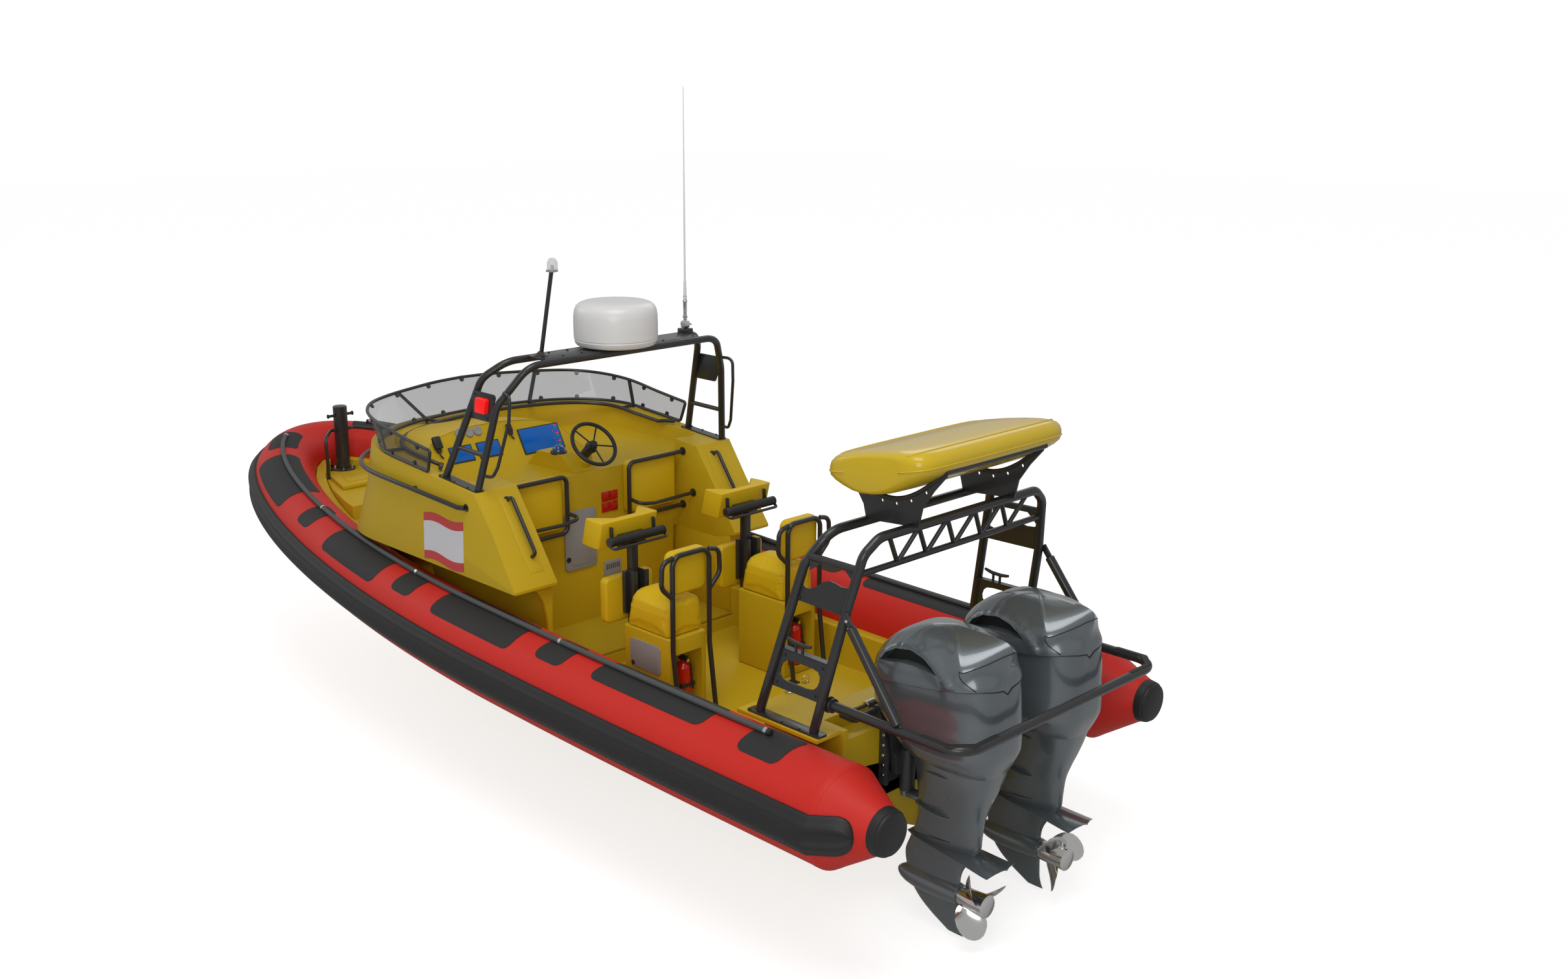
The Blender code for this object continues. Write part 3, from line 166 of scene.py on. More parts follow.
def shader_group(name, inputs, outputs):
    """A node group that reads a place and (label, value) inputs, with (label, kind) outputs."""
    group = bpy.data.node_groups.new(name, "ShaderNodeTree")
    group.interface.new_socket("Vector", in_out="INPUT", socket_type="NodeSocketVector")
    for label, value in inputs:
        kind = "NodeSocketColor" if label == "Colour" else "NodeSocketFloat"
        group.interface.new_socket(label, in_out="INPUT", socket_type=kind).default_value = value
    for label in outputs:
        kind = "NodeSocketColor" if label == "Colour" else "NodeSocketFloat"
        group.interface.new_socket(label, in_out="OUTPUT", socket_type=kind)
    start = group.nodes.new("NodeGroupInput")
    return group, start.outputs, group.nodes.new("NodeGroupOutput").inputs


def noise(tree, where, scale, detail):
    """The value of a noise texture."""
    return put(tree, "ShaderNodeTexNoise",
               {"Vector": where, "Scale": scale, "Detail": detail}).outputs["Fac"]


def coat_group():
    """Broad shading, fine grain and uneven gloss of a moulded or painted surface."""
    group, given, result = shader_group("surface_coat", (
        ("Colour", (0.5, 0.5, 0.5, 1)), ("Shade", 0.05), ("Patch Scale", 3.0), ("Grain Scale", 300.0),
        ("Speckle", 0.05), ("Roughness", 0.4), ("Gloss Spread", 0.08)), ("Colour", "Roughness", "Height"))
    fine = noise(group, given["Vector"], given["Grain Scale"], 2.0)
    centred = maths(group, "SUBTRACT", noise(group, given["Vector"], given["Patch Scale"], 3.0), 0.5)
    shade = maths(group, "MULTIPLY_ADD", centred, given["Shade"], 1.0)
    shade = maths(group, "MULTIPLY_ADD", maths(group, "SUBTRACT", fine, 0.5), given["Speckle"], shade)
    tint = put(group, "ShaderNodeVectorMath", {0: given["Colour"], "Scale": shade}, operation="SCALE")
    group.links.new(tint.outputs[0], result["Colour"])
    group.links.new(maths(group, "MULTIPLY_ADD", centred, given["Gloss Spread"], given["Roughness"]),
                    result["Roughness"])
    group.links.new(fine, result["Height"])
    return group


def weave_group():
    """Crossed threads of coated cloth, as a height."""
    group, given, result = shader_group("cloth_weave", (("Threads", 180.0),), ("Height",))
    waves = [put(group, "ShaderNodeTexWave", {"Vector": given["Vector"], "Scale": given["Threads"],
                                              "Distortion": 0.6, "Detail": 1.0},
                 wave_type="BANDS", bands_direction=direction).outputs["Fac"] for direction in "XYZ"]
    total = maths(group, "ADD", maths(group, "ADD", waves[0], waves[1]), waves[2])
    group.links.new(total, result["Height"])
    return group


def hide_group():
    """Pebbled grain of coated upholstery, as a height."""
    group, given, result = shader_group("pebble_grain", (("Size", 260.0),), ("Height",))
    cells = put(group, "ShaderNodeTexVoronoi", {"Vector": given["Vector"], "Scale": given["Size"]},
                feature="SMOOTH_F1")
    group.links.new(cells.outputs["Distance"], result["Height"])
    return group


def scuff_group():
    """Fine stray scratches, as a mask."""
    group, given, result = shader_group("scuffs", (("Amount", 0.3),), ("Mask",))
    drawn = put(group, "ShaderNodeMapping", {"Vector": given["Vector"], "Scale": (4.0, 60.0, 22.0),
                                             "Rotation": (0.4, 0.2, 0.7)})
    streaks = noise(group, drawn.outputs[0], 3.0, 4.0)
    sharp = put(group, "ShaderNodeMapRange", {"Value": streaks, "From Min": 0.62, "From Max": 0.72,
                                              "To Max": given["Amount"]})
    group.links.new(sharp.outputs[0], result["Mask"])
    return group


def brushed_group():
    """Fine lines drawn along one direction, as a height."""
    group, given, result = shader_group("brushed_lines", (("Fineness", 40.0),), ("Height",))
    drawn = put(group, "ShaderNodeMapping", {"Vector": given["Vector"], "Scale": (1.0, 14.0, 14.0)})
    group.links.new(noise(group, drawn.outputs[0], given["Fineness"], 3.0), result["Height"])
    return group


GROUPS = {}
LOOKS = {}


def make_groups():
    """The shader groups that the looks share."""
    GROUPS.update(coat=coat_group(), weave=weave_group(), hide=hide_group(), scuffs=scuff_group(),
                  brushed=brushed_group())


def look(name, colour, roughness, metallic=0.0, coat=0.0, shade=0.10, speckle=0.05, patch=2.5, grain=350.0,
         spread=0.08, bump=0.0003, relief=None, size=260.0, scuffs=0.0, **extra):
    """One finish: its groups change over the surface and its plain numbers sit on the shader."""
    mat = bpy.data.materials.new(name)
    mat.use_nodes = True
    tree = mat.node_tree
    where = put(tree, "ShaderNodeTexCoord").outputs["Object"]
    coated = put(tree, "ShaderNodeGroup", node_tree=GROUPS["coat"])
    settings = {"Vector": where, "Colour": (*colour, 1), "Shade": shade, "Patch Scale": patch,
                "Grain Scale": grain, "Speckle": speckle, "Roughness": roughness, "Gloss Spread": spread}
    fill(tree, coated, settings)
    gloss, height = coated.outputs["Roughness"], coated.outputs["Height"]
    if scuffs:
        worn = put(tree, "ShaderNodeGroup", node_tree=GROUPS["scuffs"])
        fill(tree, worn, {"Vector": where, "Amount": scuffs})
        gloss = maths(tree, "ADD", gloss, worn.outputs["Mask"])
    if relief:
        pattern = put(tree, "ShaderNodeGroup", node_tree=GROUPS[relief])
        fill(tree, pattern, {"Vector": where, 1: size})
        height = pattern.outputs["Height"]
    raised = put(tree, "ShaderNodeBump", {"Strength": 0.35, "Distance": bump, "Height": height})
    fill(tree, tree.nodes["Principled BSDF"], {
        "Base Color": coated.outputs["Colour"], "Roughness": gloss, "Normal": raised.outputs[0],
        "Metallic": metallic, "Coat Weight": coat, "Coat Roughness": 0.06,
        **{key.replace("_", " "): value for key, value in extra.items()}})
    LOOKS[name] = mat


def make_looks(scene):
    """Every finish of the boat, by name."""
    hull, frames, seats, engine = scene.boat_hull, scene.boat_frames, scene.boat_seats, scene.boat_engines
    dull = {"Specular_IOR_Level": 0.28}
    look("gelcoat", hull.gelcoat, 0.42, shade=0.10, speckle=0.30, grain=230.0, bump=0.0004, scuffs=0.12,
         **dull)
    look("deck_tread", (0.47, 0.32, 0.010), 0.55, shade=0.14, speckle=0.32, bump=0.0012, relief="hide",
         size=210.0, **dull)
    look("tube_fabric", hull.tube, 0.46, shade=0.06, speckle=0.08, relief="weave", size=120.0, bump=0.0003,
         scuffs=0.10, **dull)
    look("rubber", (0.012, 0.012, 0.0125), 0.52, shade=0.2, speckle=0.3, bump=0.0005, grain=420.0,
         scuffs=0.15)
    look("tread_rubber", (0.016, 0.016, 0.0165), 0.62, shade=0.2, speckle=0.3, relief="hide", size=240.0,
         bump=0.0009)
    look("hose_rubber", (0.075, 0.080, 0.082), 0.5, relief="weave", size=150.0, bump=0.0004)
    look("frame_paint", frames.paint, 0.32, coat=0.25, shade=0.1, speckle=0.1, bump=0.0002, grain=500.0,
         scuffs=0.10)
    look("black_plastic", (0.020, 0.020, 0.021), 0.42, shade=0.1, relief="hide", size=500.0, bump=0.0002)
    look("grey_plastic", (0.30, 0.30, 0.315), 0.5, shade=0.05, speckle=0.05, bump=0.0003)
    look("seat_cover", seats.cover, 0.45, shade=0.07, speckle=0.06, relief="hide", size=420.0, bump=0.0006,
         **dull)
    look("raft_shell", (0.66, 0.46, 0.014), 0.24, coat=0.45, shade=0.05, speckle=0.05, bump=0.0002, **dull)
    look("white_shell", (0.80, 0.80, 0.80), 0.34, shade=0.03, speckle=0.02, coat=0.2, bump=0.0001)
    look("engine_paint", engine.paint, 0.28, metallic=0.5, coat=0.8, shade=0.04, speckle=0.5, grain=900.0,
         bump=0.00005)
    look("engine_dark", (0.030, 0.037, 0.043), 0.34, metallic=0.4, coat=0.5, shade=0.05, bump=0.0001)
    # Near-black: the dark joints, and also painted shade in the slots of the vent and the slides and, with a
    # dark grille, at the back of the engine intakes.
    look("seam", (0.006, 0.007, 0.008), 0.7)
    look("steel", (0.75, 0.75, 0.74), 0.13, metallic=1.0, shade=0.05, speckle=0.04, relief="brushed",
         size=60.0,
         bump=0.00008)
    look("glass_sheet", (0.035, 0.036, 0.036), 0.06, shade=0.02, speckle=0.0, bump=0.00002, Alpha=0.38)
    look("clear_lens", (0.62, 0.64, 0.65), 0.08, bump=0.00005, Alpha=0.45)
    look("screen_blue", (0.0, 0.09, 0.38), 0.22, shade=0.02, speckle=0.02, bump=0.00002,
         Emission_Color=(0.0, 0.08, 0.36, 1), Emission_Strength=0.25)
    look("lamp_red", (0.75, 0.004, 0.004), 0.2, shade=0.05, bump=0.0001,
         Emission_Color=(1.0, 0.008, 0.006, 1),
         Emission_Strength=0.45)
    look("signal_red", (0.56, 0.008, 0.006), 0.25, coat=0.5, bump=0.0001)
    look("dome_blue", (0.0, 0.05, 0.24), 0.08, coat=1.0, bump=0.00002)
    look("panel_white", (0.70, 0.71, 0.74), 0.4, shade=0.05, relief="weave", size=200.0, bump=0.0003)
    look("screen_green", (0.02, 0.40, 0.08), 0.3, bump=0.00002)
    look("screen_violet", (0.10, 0.08, 0.55), 0.3, bump=0.00002)
    look("grey_casting", (0.055, 0.060, 0.064), 0.42, metallic=0.4, shade=0.1, bump=0.0004)


# Mesh helpers

def rounded(points, radius, steps=8, closed=False):
    """Replace a polyline's corners with arcs of the given radius."""
    pts = [Vector(p) for p in points]
    if closed:
        corners = [(pts[i - 1], p, pts[(i + 1) % len(pts)]) for i, p in enumerate(pts)]
        out = []
    else:
        corners = list(zip(pts, pts[1:], pts[2:]))
        out = [pts[0]]
    for before, corner, after in corners:
        a, b = (before - corner).normalized(), (after - corner).normalized()
        angle = a.angle(b)
        if angle > radians(174):
            out.append(corner)
            continue
        reach = min(radius / tan(angle / 2), 0.47 * (before - corner).length,
                    0.47 * (after - corner).length)
        r = reach * tan(angle / 2)
        middle = corner + (a + b).normalized() * (r / sin(angle / 2))
        start, end = corner + a * reach - middle, corner + b * reach - middle
        turn = start.angle(end)
        for k in range(steps + 1):
            t = k / steps
            first, second = sin((1 - t) * turn) / sin(turn), sin(t * turn) / sin(turn)
            out.append(middle + start * first + end * second)
    return out if closed else out + [pts[-1]]


def flat_rounded(points, radius, steps=6):
    """A closed flat outline with its corners rounded."""
    return [(p.x, p.y) for p in rounded([(a, b, 0) for a, b in points], radius, steps, True)]


def round_box(low, high, radius, steps=6):
    """A flat box outline with rounded corners, between two opposite corners."""
    (a0, b0), (a1, b1) = low, high
    return flat_rounded([(a0, b0), (a1, b0), (a1, b1), (a0, b1)], radius, steps)


def span(sign, near, far):
    """The same stretch on the port side (1) or mirrored to starboard (-1), low end first."""
    return sorted((sign * near, sign * far))


def whole(half):
    """A port half that ends on the centre-line, and its mirror image."""
    return half + [(x, -y, z) for x, y, z in reversed(half[:-1])]


def ring_round(centre, normal, radius, sides, turn=0.5):
    """A circle of points about a centre, square to a direction."""
    normal = Vector(normal).normalized()
    side = normal.orthogonal().normalized()
    up = normal.cross(side)
    out = []
    for k in range(sides):
        a = 2 * pi * (k + turn) / sides
        out.append(Vector(centre) + side * (radius * cos(a)) + up * (radius * sin(a)))
    return out


def round_edges(bm, width, segments, angle):
    """Round the edges that turn more than an angle in degrees."""
    edges = [e for e in bm.edges if e.is_manifold and e.calc_face_angle(0) > radians(angle)]
    bmesh.ops.bevel(bm, geom=edges, offset=width, segments=segments, profile=0.5, affect="EDGES",
                    clamp_overlap=True)


def to_mesh(bm, name):
    """Write a bmesh to a new mesh with its faces outward, and free it."""
    bmesh.ops.recalc_face_normals(bm, faces=bm.faces)
    mesh = bpy.data.meshes.new(name)
    bm.to_mesh(mesh)
    bm.free()
    return mesh


def linked(name, data):
    """A new object in the scene."""
    obj = bpy.data.objects.new(name, data)
    bpy.context.scene.collection.objects.link(obj)
    return obj


class Shape:
    """Gathers the closed shells of one piece, each with its own finish."""

    def __init__(self, *looks):
        self.bm = bmesh.new()
        self.looks = list(looks)
        self.mark = 0

    def use(self, name):
        """Give what follows another finish."""
        if name not in self.looks:
            self.looks.append(name)
        self.mark = self.looks.index(name)
        return self

    def skin(self, rings, closed=False):
        """Join rings of points in order, with flat ends or closed on itself."""
        rows = [[self.bm.verts.new(p) for p in ring] for ring in rings]
        pairs = list(zip(rows, rows[1:])) + ([(rows[-1], rows[0])] if closed else [])
        faces = []
        count = len(rows[0])
        for a, b in pairs:
            for i in range(count):
                j = (i + 1) % count
                faces.append(self.bm.faces.new((a[i], a[j], b[j], b[i])))
        if not closed:
            faces += [self.bm.faces.new(rows[0]), self.bm.faces.new(rows[-1])]
        for f in faces:
            f.material_index = self.mark
        return self

    def tube(self, points, radius, sides=14, closed=False, bend=0.0, steps=8):
        """Sweep a circle along a path; bend rounds its corners, and radius may be a list."""
        pts = rounded(points, bend, steps, closed) if bend else [Vector(p) for p in points]
        count = len(pts)
        radii = list(radius) if hasattr(radius, "__len__") else [radius] * count
        tangents = []
        for i in range(count):
            if closed:
                step = pts[(i + 1) % count] - pts[i - 1]
            else:
                step = pts[min(i + 1, count - 1)] - pts[max(i - 1, 0)]
            tangents.append(step.normalized())
        side = tangents[0].orthogonal().normalized()
        rings = []
        for p, t, r in zip(pts, tangents, radii):
            side = (side - t * side.dot(t)).normalized()
            up = t.cross(side)
            angles = [2 * pi * k / sides for k in range(sides)]
            rings.append([p + side * (r * cos(a)) + up * (r * sin(a)) for a in angles])
        if not closed:
            soft = 0.18 * min(radii[0], radii[-1])
            for at, way in ((0, 1), (-1, -1)):
                centre, t = pts[at], tangents[at] * way
                edge = [centre + (p - centre) * 0.82 for p in rings[at]]
                rings[at] = [p + t * soft for p in rings[at]]
                rings.insert(0, edge) if at == 0 else rings.append(edge)
        return self.skin(rings, closed)

    def turned(self, profile, origin, axis=(0, 0, 1), steps=32):
        """Turn (height, radius) pairs about an axis."""
        axis = Vector(axis).normalized()
        return self.skin([ring_round(Vector(origin) + axis * h, axis, r, steps) for h, r in profile])

    def merge(self, other, bevel=0.0, segments=2, angle=30):
        """Take in another bmesh, with its sharp edges rounded."""
        if bevel:
            round_edges(other, bevel, segments, angle)
        for f in other.faces:
            f.material_index = self.mark
        mesh = bpy.data.meshes.new("part")
        other.to_mesh(mesh)
        other.free()
        self.bm.from_mesh(mesh)
        bpy.data.meshes.remove(mesh)
        return self

    def slab(self, outline, axis, low, high, bevel=0.002, segments=2, turn=None):
        """Extrude an outline along one axis and round its edges; turn is an optional matrix."""
        at = "xyz".index(axis)
        other = bmesh.new()
        a, b = ([other.verts.new((*p[:at], t, *p[at:])) for p in outline] for t in (low, high))
        other.faces.new(a)
        other.faces.new(b)
        for i in range(len(a)):
            j = (i + 1) % len(a)
            other.faces.new((a[i], a[j], b[j], b[i]))
        bmesh.ops.recalc_face_normals(other, faces=other.faces)
        if turn is not None:
            other.transform(turn)
        return self.merge(other, bevel, segments)

    def block(self, low, high, bevel=0.003, segments=2, turn=None):
        """A box between two corners."""
        (x0, y0, z0), (x1, y1, z1) = low, high
        return self.slab([(x0, y0), (x1, y0), (x1, y1), (x0, y1)], "z", z0, z1, bevel, segments, turn)

    def done(self, name, body, slot, *nodes, angle=38):
        """Make the object, let it ride on its body and stand for its nodes."""
        return place_piece(name, to_mesh(self.bm, name), self.looks, body, slot, *nodes, angle=angle)


def place_piece(name, mesh, looks, body, slot, *nodes, angle=38):
    """The finished piece: covered, shaded, riding on its body and standing for its nodes."""
    obj = linked(name, mesh)
    for key in looks:
        mesh.materials.append(LOOKS[key])
    mesh.shade_smooth()
    mesh.set_sharp_from_angle(angle=radians(angle))
    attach(obj, body)
    if nodes:
        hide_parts(*nodes)
    return obj


def loose(name, shape):
    """A shape as a scratch object, for cutting or fusing."""
    return linked(name, to_mesh(shape.bm, name))


def taken(obj):
    """The bare mesh of a scratch object, which goes."""
    mesh = obj.data
    bpy.data.objects.remove(obj)
    mesh.materials.clear()
    return mesh


def settled(obj):
    """The mesh that an object's modifiers give."""
    graph = bpy.context.evaluated_depsgraph_get()
    graph.update()
    mesh = bpy.data.meshes.new_from_object(obj.evaluated_get(graph))
    obj.modifiers.clear()
    return mesh


def carve(obj, cutters):
    """Cut other scratch objects out of one, and remove them."""
    for cutter in cutters:
        mod = obj.modifiers.new("Cut", "BOOLEAN")
        mod.operation, mod.solver, mod.object = "DIFFERENCE", "EXACT", cutter
    obj.data = settled(obj)
    for cutter in cutters:
        bpy.data.objects.remove(cutter, do_unlink=True)
    return obj


def bevelled(mesh, width, segments=2, angle=30):
    """Dissolve flat joins, then round a mesh's sharp edges."""
    bm = bmesh.new()
    bm.from_mesh(mesh)
    bmesh.ops.remove_doubles(bm, verts=bm.verts, dist=1e-5)
    bmesh.ops.dissolve_limit(bm, angle_limit=radians(1), verts=bm.verts, edges=bm.edges)
    round_edges(bm, width, segments, angle)
    bmesh.ops.recalc_face_normals(bm, faces=bm.faces)
    bm.to_mesh(mesh)
    bm.free()
    return mesh


def refined(node, name, finish, body, slot, width=0.003, segments=2):
    """A node's own shape with its edges rounded."""
    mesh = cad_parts[node].data.copy()
    mesh.materials.clear()
    return place_piece(name, bevelled(mesh, width, segments), [finish], body, slot, node)


# Geometry Nodes

def new_tree(name, *inputs):
    """A geometry tree with (label, kind) inputs, a finish and one geometry output."""
    tree = bpy.data.node_groups.new(name, "GeometryNodeTree")
    for label, kind in (("Geometry", "Geometry"), *inputs, ("Finish", "Material")):
        tree.interface.new_socket(label, in_out="INPUT", socket_type="NodeSocket" + kind)
    tree.interface.new_socket("Geometry", in_out="OUTPUT", socket_type="NodeSocketGeometry")
    return tree, tree.nodes.new("NodeGroupInput").outputs


def end_tree(tree, made, finish):
    """Realize what was made, give it its finish and send it out."""
    real = put(tree, "GeometryNodeRealizeInstances", {"Geometry": made.outputs[0]})
    painted = put(tree, "GeometryNodeSetMaterial", {"Geometry": real.outputs[0], "Material": finish})
    put(tree, "NodeGroupOutput", {0: painted.outputs[0]})
    return tree


def head_tree():
    """Short rounded studs on points, each turned to face along the points' facing attribute."""
    tree, given = new_tree("stud_on_points", ("Radius", "Float"), ("Height", "Float"), ("Sides", "Int"))
    height = given["Height"]
    base, cap = (put(tree, "GeometryNodeMeshCylinder",
                     {"Vertices": given["Sides"], "Radius": size, "Depth": height})
                 for size in (given["Radius"], maths(tree, "MULTIPLY", given["Radius"], 0.8)))
    lift = put(tree, "ShaderNodeCombineXYZ", {"Z": maths(tree, "MULTIPLY", height, 0.3)})
    moved = put(tree, "GeometryNodeTransform",
                {"Geometry": cap.outputs["Mesh"], "Translation": lift.outputs[0]})
    both = put(tree, "GeometryNodeJoinGeometry", {0: base.outputs["Mesh"]})
    tree.links.new(moved.outputs[0], both.inputs[0])
    facing = put(tree, "GeometryNodeInputNamedAttribute", {"Name": "facing"}, data_type="FLOAT_VECTOR")
    turned = put(tree, "FunctionNodeAlignRotationToVector", {"Vector": facing.outputs["Attribute"]},
                 axis="Z")
    spread = put(tree, "GeometryNodeInstanceOnPoints",
                 {"Points": given["Geometry"], "Instance": both.outputs[0],
                                                        "Rotation": turned.outputs[0]})
    return end_tree(tree, spread, given["Finish"])


def path_tree():
    """A round section swept along a curve."""
    tree, given = new_tree("section_along_path", ("Radius", "Float"), ("Sides", "Int"))
    section = put(tree, "GeometryNodeCurvePrimitiveCircle", {"Resolution": given["Sides"],
                                                             "Radius": given["Radius"]})
    run = put(tree, "GeometryNodeCurveToMesh",
              {"Curve": given["Geometry"], "Profile Curve": section.outputs[0],
                                                "Fill Caps": True})
    return end_tree(tree, run, given["Finish"])


def slat_tree():
    """A row of thin slats, evenly spaced."""
    tree, given = new_tree("slat_row", ("Size", "Vector"), ("Count", "Int"), ("Pitch", "Vector"),
                           ("Start", "Vector"))
    slat = put(tree, "GeometryNodeMeshCube", {"Size": given["Size"]})
    row = put(tree, "GeometryNodeMeshLine", {"Count": given["Count"], "Start Location": given["Start"],
                                             "Offset": given["Pitch"]}, mode="OFFSET")
    spread = put(tree, "GeometryNodeInstanceOnPoints", {"Points": row.outputs[0],
                                                        "Instance": slat.outputs["Mesh"]})
    return end_tree(tree, spread, given["Finish"])


TREES = {}


def grown(name, tree, source, values, finish, body, slot, *nodes):
    """Run a tree on a scratch object and keep the plain mesh."""
    values["Finish"] = LOOKS[finish]
    mod = source.modifiers.new("Repeat", "NODES")
    mod.node_group = TREES[tree]
    for item in TREES[tree].interface.items_tree:
        if item.in_out == "INPUT" and item.name in values:
            mod[item.identifier] = values[item.name]
    bpy.context.view_layer.update()
    mesh = settled(source)
    bpy.data.objects.remove(source, do_unlink=True)
    return place_piece(name, mesh, [finish], body, slot, *nodes)


def studs(name, points, radius, height, body, slot, finish, sides=6):
    """Bolt heads, clips or rings at (place, facing) pairs."""
    mesh = bpy.data.meshes.new(name + "_points")
    mesh.from_pydata([Vector(p) for p, _ in points], [], [])
    facing = mesh.attributes.new("facing", "FLOAT_VECTOR", "POINT")
    for i, (_, way) in enumerate(points):
        facing.data[i].vector = Vector(way).normalized()
    return grown(name, "heads", linked(name + "_points", mesh),
                 {"Radius": radius, "Height": height, "Sides": sides}, finish, body, slot)


def swept(name, points, radius, body, slot, finish, *nodes, sides=16):
    """A tube along a curve, by nodes."""
    curve = bpy.data.curves.new(name + "_path", "CURVE")
    curve.dimensions = "3D"
    line = curve.splines.new("POLY")
    line.points.add(len(points) - 1)
    for spot, p in zip(line.points, points):
        spot.co = (*p, 1.0)
    return grown(name, "path", linked(name + "_path", curve), {"Radius": radius, "Sides": sides}, finish,
                 body,
                 slot, *nodes)


# Collar path

def sheer(x):
    """Height of the tube's middle line at a place along the boat."""
    return TUBE_Z + 0.435 * max(0.0, (x + 0.24) / 7.2) ** 2.58


def tube_radius(x):
    """The tube's radius at a place along the boat."""
    return TUBE_R + (BOW_R - TUBE_R) * min(1.0, max(0.0, (x - BEND_X) / (BOW_X - BEND_X)))


def port_path(straight=24, turns=72):
    """Centre, outboard direction and radius of each section, from the cone's root to the bow."""
    rows = []
    for k in range(straight):
        x = CONE_X + (BEND_X - CONE_X) * k / straight
        rows.append((Vector((x, TUBE_Y, sheer(x))), Vector((0, 1, 0)), TUBE_R))
    for k in range(turns + 1):
        a = 0.5 * pi * k / turns
        x = BEND_X + (BOW_X - BEND_X) * sin(a) ** (2 / SQUARE)
        y = TUBE_Y * max(0.0, cos(a)) ** (2 / SQUARE)
        out = Vector(((TUBE_Y / (BOW_X - BEND_X)) * sin(a) ** (2 - 2 / SQUARE) if k else 0.0,
                      cos(a) ** (2 - 2 / SQUARE) if k < turns else 0.0, 0)).normalized()
        rows.append((Vector((x, y if k < turns else 0.0, sheer(x))), out, tube_radius(x)))
    return rows


PATH = port_path()
LENGTHS = [0.0]
for first, second in zip(PATH, PATH[1:]):
    LENGTHS.append(LENGTHS[-1] + (second[0] - first[0]).length)


def at_length(s):
    """The section at a distance along the port tube from the cone's root."""
    for i in range(len(PATH) - 1):
        if s <= LENGTHS[i + 1] or i == len(PATH) - 2:
            t = (s - LENGTHS[i]) / (LENGTHS[i + 1] - LENGTHS[i])
            a, b = PATH[i], PATH[i + 1]
            return a[0].lerp(b[0], t), a[1].lerp(b[1], t).normalized(), a[2] + (b[2] - a[2]) * t


def cone_at(t):
    """A section on the stern cone: t is 0 at its root and 1 at its end."""
    x, y, z, r = CONE_END
    return PATH[0][0].lerp(Vector((x, y, z)), t), Vector((0, 1, 0)), TUBE_R + (r - TUBE_R) * t


def polar(section, angle, extra=0.0):
    """A point on a section: 0 degrees is outboard and 90 is up."""
    centre, out, radius = section
    a = radians(angle)
    return centre + out * ((radius + extra) * cos(a)) + Vector((0, 0, (radius + extra) * sin(a)))


def both_sides(rows):
    """The port rows and their mirror images on starboard, as one line."""
    return rows + [(c * MIRROR, n * MIRROR, *rest) for c, n, *rest in reversed(rows[:-1])]


def inner_half(x):
    """The collar's inboard edge at one place along the boat."""
    edge = [polar(s, 180) for s in PATH]
    for a, b in zip(edge, edge[1:]):
        if a.x <= x <= b.x:
            return a.y + (b.y - a.y) * (x - a.x) / max(b.x - a.x, 1e-9)
    return edge[-1].y


class Collar(bpy.types.Operator):
    """Red tube, black cones, rubbing fender, tread patches and grab hoses"""
    bl_idname = "boat.collar"
    bl_label = "Collar"

    def execute(self, context):
        make_tube()
        make_fender()
        make_patches(context.scene.boat_hull.patch)
        make_grab_hoses()
        return {"FINISHED"}


def make_tube():
    """The air tube, its seam tapes and its cone ends."""
    sides = 56
    rows = [cone_at(t) for t in (1.0, 0.75, 0.5, 0.25, 0.06, 0.0)] + PATH[1:]
    tube = Shape("tube_fabric")
    tube.skin([[polar(s, 360 * k / sides) for k in range(sides)] for s in both_sides(rows)])
    tape = 0.0016
    for flip in FLIPS:
        rings = []
        for s, extra in ((cone_at(0.09), -0.002), (cone_at(0.09), tape), (cone_at(0.0), tape),
                         (at_length(0.03), tape), (at_length(0.03), -0.002)):
            rings.append([polar(s, 360 * k / sides, extra) * flip for k in range(sides)])
        tube.skin(rings)
        x, y, z, r = CONE_END
        tube.use("rubber")
        tube.turned([(0.012, r + 0.001), (0.010, r + 0.005), (-0.012, r + 0.003), (-0.035, r * 0.99),
                     (-0.040, r * 0.93), (-0.052, r * 0.90), (-0.057, r * 0.74), (-0.060, r * 0.70),
                     (-0.060, 0.01)],
                    Vector((x, y, z)) * flip, (1, 0, 0), 48)
        tube.use("tube_fabric")
    tube.done("tube_and_cones", "boat", "tube_red", "collar")


def make_fender():
    """The rubbing fender's two ridges and groove, run out to rounded tips on the cones."""
    half = [(0.0, 0.0285), (2.5, 0.029), (4.5, 0.032), (6.0, 0.039), (7.5, 0.0440), (9.0, 0.0455),
            (11.0, 0.0440), (12.8, 0.0395), (14.5, 0.033), (16.5, 0.0285), (19.0, 0.0240), (21.3, 0.0190),
            (22.3, 0.0120), (22.6, -0.004)]
    profile = [(-a, e) for a, e in reversed(half[1:])] + half
    under = [(a, -0.006) for a in (15.0, 7.5, 0.0, -7.5, -15.0)]
    tips = [(0.78, 0.10), (0.76, 0.34), (0.72, 0.58), (0.66, 0.78), (0.58, 0.92), (0.48, 1.0), (0.36, 1.0),
            (0.2, 1.0), (0.06, 1.0)]
    rows = [(*cone_at(t), w) for t, w in tips] + [(*s, 1.0) for s in PATH]
    rings = []
    for centre, out, radius, w in both_sides(rows):
        section = (centre, out, radius)
        swell = TUBE_R / radius
        ring = [polar(section, a * w * swell, e * (0.35 + 0.65 * w) if e > 0 else e) for a, e in profile]
        ring += [polar(section, a * w * swell, e) for a, e in under]
        rings.append(ring)
    Shape("rubber").skin(rings).done("rubbing_fender", "boat", "strake_black", "rub_strake", angle=50)


PATCHES = ((7.00, 7.38, 60, 118), (5.93, 6.82, 36, 120), (5.36, 5.58, 45, 105), (4.22, 5.03, 38, 104),
           (3.77, 4.01, 48, 104), (2.63, 3.50, 46, 112), (2.15, 2.41, 55, 110), (0.94, 1.90, 60, 116),
           (0.33, 0.64, 54, 112))


